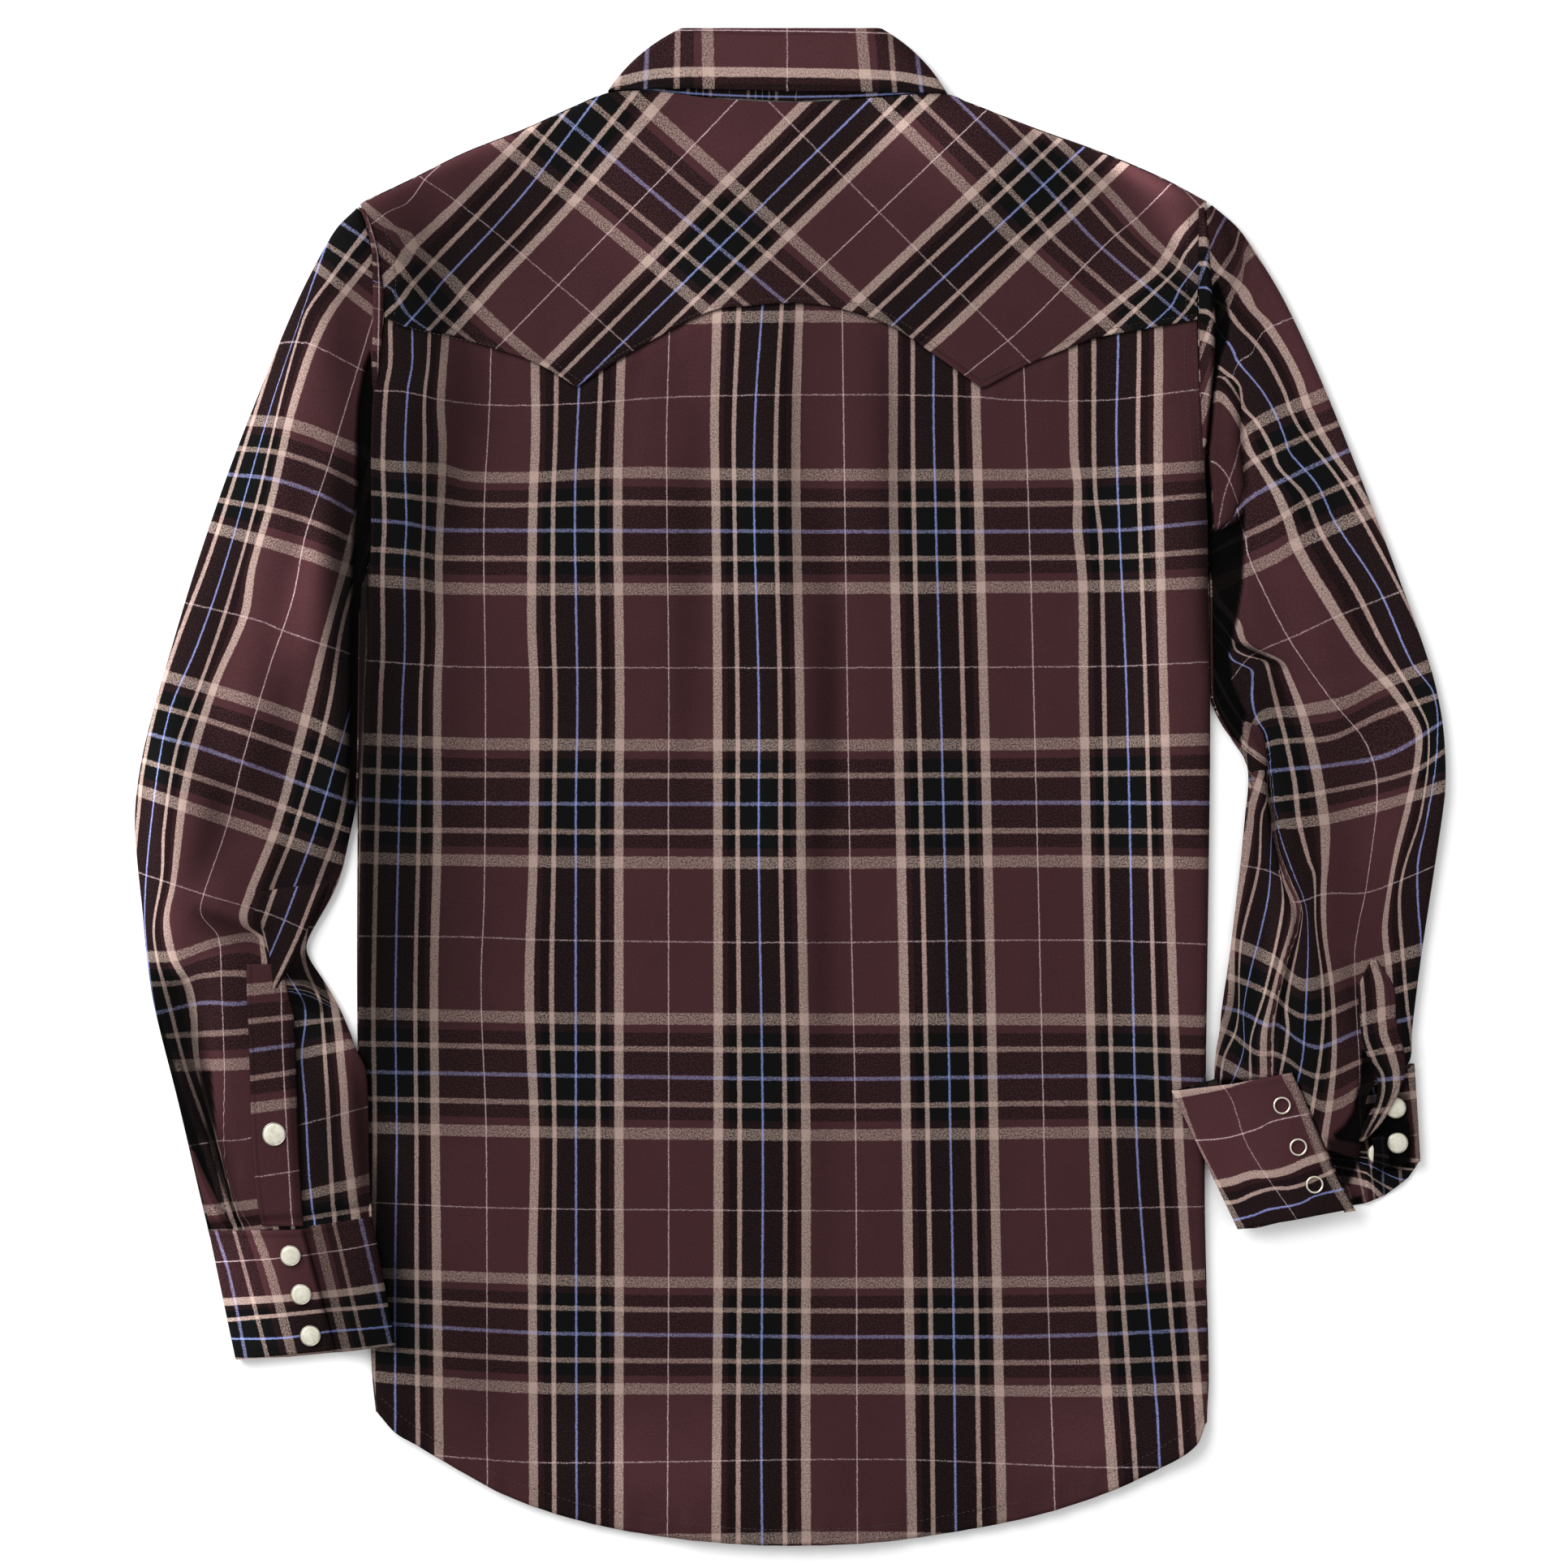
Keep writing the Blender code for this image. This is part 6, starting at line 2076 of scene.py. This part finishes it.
CUFF_LEFT_CHARTS = (
    Chart(
        warps=CUFF_LEFT_WARPS,
        wefts=(
            Thread(0, BLUE, "268,1515 285,1570 305,1672"),
            Thread(0, THIN, "290,1515 330,1668"),
            Thread(0, THICK, "315,1515 335,1570 360,1665"),
            Thread(0, WHITE, "392,1515 412,1570 440,1665")),
        warps_upright=False, wefts_upright=True),
    Chart(
        warps=CUFF_LEFT_WARPS,
        wefts=(
            Thread(1, THICK, "398,1530 432,1665", before=True),
            Thread(1, THIN, "418,1530 452,1665", before=True),
            Thread(1, BLUE, "445,1495 482,1650")),
        warps_upright=False, wefts_upright=True))
CUFF_RIGHT_CHARTS = (
    Chart(
        warps=(
            Thread(-1, THICK, "1463,1343 1505,1334 1589,1307 1609,1302"),
            Thread(-1, WHITE, "1463,1404 1505,1401 1530,1395 1550,1388 1566,1380 1609,1371"),
            Thread(0, THICK, "1487,1459 1514,1454 1539,1446 1566,1446 1589,1439 1607,1430 1630,1423",
                before=True),
            Thread(0, THIN, "1498,1480 1521,1479 1543,1469 1566,1462 1586,1462 1611,1455 1640,1441",
                before=True),
            Thread(0, BLUE, "1508,1503 1543,1495 1557,1489 1598,1481 1618,1471 1648,1464"),
            Thread(0, THIN, "1520,1532 1655,1492")),
        wefts=(
            Thread(0, THICK, "1448,1349 1466,1398 1492,1451 1526,1513"),
            Thread(0, WHITE, "1508,1342 1515,1352 1537,1414 1594,1498"),
            Thread(1, THICK, "1586,1327 1600,1355 1630,1430 1645,1462 1659,1485", before=True),
            Thread(1, THIN, "1622,1327 1636,1355 1666,1430 1695,1485", before=True)),
        warps_upright=False, wefts_upright=True),
    Chart(
        warps=(
            Thread(-1, THIN, "1660,1330 1735,1324 1750,1321"),
            Thread(-1, THICK, "1660,1358 1735,1349 1750,1346"),
            Thread(-1, WHITE, "1650,1405 1752,1397"),
            Thread(0, THICK, "1640,1418 1682,1420 1745,1430", before=True),
            Thread(0, BLUE, "1640,1426 1684,1434 1722,1452 1745,1453"),
            Thread(0, THIN, "1640,1436 1684,1445 1690,1452 1740,1476"),
            Thread(0, THICK, "1640,1450 1685,1457 1703,1474")),
        wefts=(
            Thread(0, WHITE, "1625,1330 1640,1400 1672,1490", before=True),
            Thread(0, THICK, "1650,1330 1683,1490", before=True),
            Thread(0, BLUE, "1690,1330 1700,1400 1706,1490"),
            Thread(0, THICK, "1738,1330 1745,1400 1748,1460")),
        warps_upright=False, wefts_upright=True))
# Painted shade and highlights: a paler band along the collar's fall and a darker corner, the stand
# darker under the fall, and the left cuff's underlap darker with its outer part paler.
FALL_PAINTED_SHADE = (
    Crease("700,72 970,70 1200,74", 0.0, 60, 60, -0.38),
    Crease("1090,40 1130,70 1150,100", 0.0, 16, 16, 0.35))
STAND_PAINTED_SHADE = (Crease("740,112 975,117 1200,110", 0.0, 12, 14, 0.2),)
CUFF_LEFT_FOLDS_AND_PAINTED_SHADE = (
    Crease("365,1465 430,1715", 0.0, 60, 2, 0.5),
    Crease("474,1440 488,1560 502,1680", 0.0, 10, 44, 0.55),
    Crease("368,1480 418,1700", -0.8, 4, 2, 0.7),
    Crease("250,1440 290,1640 306,1740", 0.0, 60, 26, -1.5))
# Hollows and creases of the right cuff, with painted shade: near black in the inner cuff and the
# opening, a broad painted highlight over the flap, and pale and dark lines on the curl.
CUFF_RIGHT_FOLDS_AND_PAINTED_SHADE = (
    Hollow("1686,1345 1736,1345 1741,1400 1736,1436 1700,1446 1680,1400", 0.0, 0.85, 12.0),
    Crease("1470,1290 1510,1400 1560,1560", 0.0, 110, 80, -0.5),
    Hollow("1610,1372 1640,1378 1668,1380 1680,1398 1678,1418 1676,1432 1662,1462 1650,1462 "
        "1640,1432", 1.5, 0.96, 6.0),
    Hollow("1688,1394 1700,1385 1712,1372 1735,1382 1740,1400 1741,1425 1735,1437 1722,1440 1705,1435 "
        "1690,1428", 0.6, 0.97, 5.0),
    Hollow("1664,1473 1680,1473 1681,1486 1662,1486", 1.0, 0.95, 4.0),
    Crease("1736,1330 1736,1400 1740,1440", 0.8, 4, 5, -0.15),
    Crease("1676,1414 1683,1437 1686,1484", 1.8, 3, 3, -0.6),
    Crease("1690,1444 1704,1462 1708,1476", -1.4, 5, 5, 0.6),
    Crease("1696,1440 1714,1454 1730,1458", 1.0, 5, 5, -0.1))
# The flap's rolled edge, with painted shade along it, then two near-black patches of painted shadow,
# one inside the cuff by the snaps and one at the flap's folded top end.
CUFF_RIGHT_LAPS = (
    Lap(left="1579,1326 1599,1374 1622,1432 1654,1492", right="1592,1324 1612,1372 1635,1430 "
        "1668,1490", chart=CUFF_RIGHT_CHARTS[0], rise=0.7, shade=(0.35, -0.1, 0.1)),
    Lap(left="1688,1400 1691,1415 1690,1434", right="1705,1398 1708,1418 1710,1437",
        chart=CUFF_RIGHT_CHARTS[1], rise=-1.2, shade=(0.96, 0.97, 0.96)),
    Lap(
        left="1448,1342 1449,1352", right="1500,1327 1502,1345", chart=StraightChart(1440.0, 1300.0),
        rise=-1.0, shade=(0.9, 0.93, 0.95)))


@dataclass(frozen=True)
class Ribbon:
    """A strip that turns over along its folds, such as a cuff or a collar piece."""

    node: str
    lines: tuple[Line, ...]
    charts: tuple[Chart, ...]
    facing_up: bool
    flat: tuple[float, float]
    area: float
    # creases and hollows, with painted shade and highlights
    folds: tuple[Fold, ...] = ()
    laps: tuple[Lap, ...] = ()
    reach: float = 4.0         # how far a fold rounds in
    step: float = 2.5          # spacing of the shown lines
    stitch: float = 3.4        # from its edges to their stitching

    def stations(self) -> list[Array]:
        """Lines across the ribbon with its folds rounded and its stretches divided.

        Returns:
            For each line, the X and Y of its top and low ends, its height, bow and chart.
        """
        made: list[Array] = []
        for index, line in enumerate(self.lines):
            own = np.array([*line.top, *line.low])
            if not line.fold:
                made.append(np.array([*own, line.z, line.bow, line.chart]))
                continue
            before, after = self.lines[index - 1], self.lines[index + 1]
            middle = (before.z + after.z) / 2.0
            for turn in range(-90, 91, 15):
                side = before if turn < 0 else after
                inset = self.reach * (1.0 - math.cos(math.radians(turn)))
                z = middle + (side.z - middle) * abs(math.sin(math.radians(turn)))
                towards = np.array([*side.top, *side.low]) - own
                towards[:2] *= inset / np.hypot(*towards[:2])
                towards[2:] *= inset / np.hypot(*towards[2:])
                made.append(np.array([*(own + towards), z, line.bow, line.chart]))
        divided = [made[0]]
        for station in made[1:]:
            last = divided[-1]
            longest = max(np.hypot(*(station - last)[:2]), np.hypot(*(station - last)[2:4]))
            count = math.ceil(longest / self.step)
            for step in range(1, count + 1):
                between = last + (station - last) * step / count
                between[6] = last[6] if step < count else station[6]
                divided.append(between)
        return divided

    def sheet(self, rise: Rise) -> Sheet:
        """The ribbon's cloth.

        Args:
            rise: Extra height at a place in plan.

        Returns:
            The outer face.
        """
        lines = np.stack(self.stations())
        top, low, height, bow = lines[:, :2], lines[:, 2:4], lines[None, :, 4], lines[None, :, 5]
        part = np.linspace(0.0, 1.0, 40)[:, None]
        x = top[None, :, 0] + (low - top)[None, :, 0] * part
        y = top[None, :, 1] + (low - top)[None, :, 1] * part
        middle = (top[:, 0].min() + top[:, 0].max()) / 2.0
        x = x + np.sign(x - middle) * bow * 4.0 * part * (1.0 - part) * 0.75
        y = y + bow * 4.0 * part * (1.0 - part) * 0.65
        down = part * np.hypot(*(low - top).T)[None, :]
        from_edge = np.minimum(down, down.max(axis=0) - down)
        upper = ramp(height, 2.0, 4.0)
        groove = 0.25 * bell(from_edge - self.stitch, 0.7) * upper
        added, dark = relief_and_painted_shade(self.folds, x, y)
        z = height + rise(x, y) + 0.25 * wavering(x, y, 1.0, 34.0) * upper - groove
        z = z + added * ramp(height, -1.0, 0.5)
        cloth = np.array([chart.cloth(x, y) for chart in self.charts])
        which = np.broadcast_to(lines[None, :, 6].astype(int), x.shape)
        rows, columns = np.indices(x.shape)
        # painted shade: the folds' shade and a darker stitching groove
        return Sheet(x, y, z, cloth[which, 0, rows, columns], cloth[which, 1, rows, columns],
                     deepen(dark, groove), self.facing_up)

    def dress(self, shop: Workshop, rise: Rise) -> None:
        """Make the ribbon.

        Args:
            shop: Makes the piece.
            rise: Extra height at a place in plan.
        """
        top = max(line.z for line in self.lines)
        laps = [lap.sheet(lambda x, y: (top + rise(x, y), 0.0 * x)) for lap in self.laps]
        cloth = shop.sheet(self.node, self.sheet(rise), *laps)


RIBBONS = (
    Ribbon("collar_fall", COLLAR_FALL, (COLLAR_CHART,), True, (0.4, 0.095), 0.021, FALL_PAINTED_SHADE),
    Ribbon("collar_stand", COLLAR_STAND, (STAND_CHART,), True, (0.4, 0.045), 0.0145, STAND_PAINTED_SHADE),
    Ribbon("cuff_left", CUFF_LEFT, CUFF_LEFT_CHARTS, False, (0.22, 0.075), 0.0145, CUFF_LEFT_FOLDS_AND_PAINTED_SHADE),
    Ribbon("cuff_right", CUFF_RIGHT, CUFF_RIGHT_CHARTS, False, (0.22, 0.08), 0.015,
        CUFF_RIGHT_FOLDS_AND_PAINTED_SHADE, CUFF_RIGHT_LAPS))


# Snaps.

@dataclass(frozen=True)
class Snap:
    """A pearl cap in a thin metal rim."""

    node: str
    radius: float = 5.85
    height: float = 1.8
    shift: tuple[float, float, float] = (0.0, 0.0, 0.0)     # millimetres from its solid
    around: int = 40

    def profile(self) -> tuple[Points, int]:
        """Radius and height of each ring of the cap, from the middle of its dome to its seat.

        Returns:
            The rings, and how many bands of them are pearl.
        """
        turns = [math.radians(turn) for turn in range(0, 90, 15)]
        dome = [(0.90 * math.sin(turn), 0.45 + 0.55 * math.cos(turn)) for turn in turns]
        rim = [(0.89, 0.48), (0.91, 0.62), (0.97, 0.60), (1.0, 0.42), (0.98, 0.14), (0.92, 0.0),
               (0.0, 0.0)]
        rings = tuple((self.radius * out, self.height * up) for out, up in dome + rim)
        return rings, len(dome)

    def dress(self, shop: Workshop, facing_up: bool = True) -> None:
        """Make the cap over its solid's place.

        Args:
            shop: Makes the piece.
            facing_up: Whether it is seen from above.
        """
        low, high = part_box(self.node)
        middle = (low + high) / 2.0 + Vector(self.shift) * MM
        sign = 1.0 if facing_up else -1.0
        seat = middle.z - sign * (high.z - low.z) / 2.0
        profile, pearl_bands = self.profile()
        points, faces, looks = [], [], []
        for radius, height in profile:
            for step in range(self.around):
                angle = 2.0 * math.pi * step / self.around
                points.append((middle.x + radius * MM * math.cos(angle),
                               middle.y + radius * MM * math.sin(angle),
                               seat + sign * height * MM))
        for ring in range(len(profile) - 1):
            for step in range(self.around):
                a, b = ring * self.around + step, ring * self.around + (step + 1) % self.around
                face = (a, a + self.around, b + self.around, b)
                faces.append(face if facing_up else tuple(reversed(face)))
                looks.append(0 if ring < pearl_bands else 1)
        mesh = bpy.data.meshes.new(self.node + "_cap")
        mesh.from_pydata(points, [], faces)
        mesh.materials.append(shop.pearl)
        mesh.materials.append(shop.rim)
        mesh.polygons.foreach_set("material_index", looks)
        mesh.shade_smooth()
        cap = placed(mesh.name, mesh)
        weld = cap.modifiers.new("close", "WELD")
        weld.merge_threshold = 0.01 * MM
        shop.stand_in(cap, "pearl_cap", self.node)


RIGHT_SNAP_SHIFTS = ((-2.4, 0.0, 0.0), (-2.2, 0.0, 0.0), (0.0, 0.0, 0.0))


@dataclass(frozen=True)
class RingBack:
    """The open ring on the inside of a snap."""

    node: str
    radius: float = 4.35
    wire: float = 0.60
    shift: tuple[float, float, float] = (-1.8, 1.6, 0.0)    # millimetres from its solid

    def dress(self, shop: Workshop) -> None:
        """Make the ring over its solid's place.

        Args:
            shop: Makes the piece.
        """
        low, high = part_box(self.node)
        bpy.ops.mesh.primitive_torus_add(
            major_segments=48, minor_segments=12, major_radius=self.radius * MM,
            minor_radius=self.wire * MM, location=(low + high) / 2.0 + Vector(self.shift) * MM)
        ring = bpy.context.object
        ring.name = ring.data.name = self.node + "_wire"
        ring.data.materials.append(shop.ring)
        ring.data.shade_smooth()
        shop.stand_in(ring, "snap_metal", self.node)


# The studio.

@dataclass(frozen=True)
class Lamp:
    """A square light that faces the shirt."""

    name: str
    place: tuple[float, float, float]      # metres
    size: float                            # metres
    power: float                           # watts

    def hang(self) -> None:
        """Add the light to the scene."""
        data = bpy.data.lights.new(self.name, "AREA")
        data.size = self.size
        data.energy = self.power
        lamp = placed(self.name, data)
        lamp.location = self.place
        lamp.rotation_euler = (-Vector(self.place)).to_track_quat("-Z", "Y").to_euler()


@dataclass(frozen=True)
class Studio:
    """White floor, soft light from the upper left, and a camera straight above."""

    view: float = 0.8694           # width of the square view at the floor, in metres
    middle_x: float = 0.45         # its middle, in millimetres from the middle of the body
    middle_y: float = 1.6
    lens: float = 100.0
    sensor: float = 36.0
    floor_size: float = 30.0
    floor_z: float = -0.0008       # just under the shirt
    sky: float = 0.66              # strength of the light from all round
    lamps: tuple[Lamp, ...] = (Lamp("key", (-1.6, 1.2, 1.35), 1.9, 85.0),
                               Lamp("fill", (1.6, -0.6, 2.2), 2.4, 10.0))

    def dress(self, origin: Origin) -> None:
        """Make the floor, the lights and the camera.

        Args:
            origin: The middle of the body.
        """
        bpy.ops.mesh.primitive_plane_add(size=self.floor_size, location=(0.0, 0.0, self.floor_z))
        floor = bpy.context.object
        floor.name = "floor"
        floor.data.materials.append(Paper().build())
        for lamp in self.lamps:
            lamp.hang()
        world = bpy.data.worlds.new("studio")
        world.use_nodes = True
        sky = world.node_tree.nodes["Background"]
        sky.inputs["Color"].default_value = (1.0, 1.0, 1.0, 1.0)
        sky.inputs["Strength"].default_value = self.sky
        bpy.context.scene.world = world
        bpy.context.scene.view_settings.view_transform = "Standard"
        self._camera(origin)

    def _camera(self, origin: Origin) -> None:
        """Add the camera that looks straight down on the shirt.

        Args:
            origin: The middle of the body.
        """
        data = bpy.data.cameras.new("camera")
        data.lens = self.lens
        data.sensor_width = self.sensor
        camera = placed("camera", data)
        camera.location = (origin.x + self.middle_x * MM, origin.y + self.middle_y * MM,
                           self.view * self.lens / self.sensor)
        bpy.context.scene.camera = camera


def main() -> None:
    """Dress the whole shirt."""
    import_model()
    origin = Origin.from_frame()
    shop = Workshop(origin)
    body = ShirtBody()
    body.dress(shop)
    for sleeve, band in ((LEFT_SLEEVE, LEFT_BAND), (RIGHT_SLEEVE, RIGHT_BAND)):
        sleeve.dress(shop, body)
        band.dress(shop, body)
    for ribbon in RIBBONS:
        on_left = ribbon.node == "cuff_left"
        ribbon.dress(shop, lambda x, y, climb=on_left: LEFT_SLEEVE.rise(x, y, body) * climb)
    for number, shift in enumerate(RIGHT_SNAP_SHIFTS, 1):
        Snap(f"snap_cuff_left_{number}").dress(shop)
        Snap(f"snap_cuff_right_{number}", shift=shift).dress(shop)
        RingBack(f"ring_cuff_right_{number}").dress(shop)
    Snap("snap_band_left", radius=6.6, shift=(0.7, 1.0, 1.8)).dress(shop)
    for number in range(1, 8):
        Snap(f"snap_front_{number}").dress(shop, facing_up=False)
    Studio().dress(origin)


if __name__ == "__main__":
    logging.basicConfig(level=logging.INFO, format="%(name)s: %(message)s")
    main()
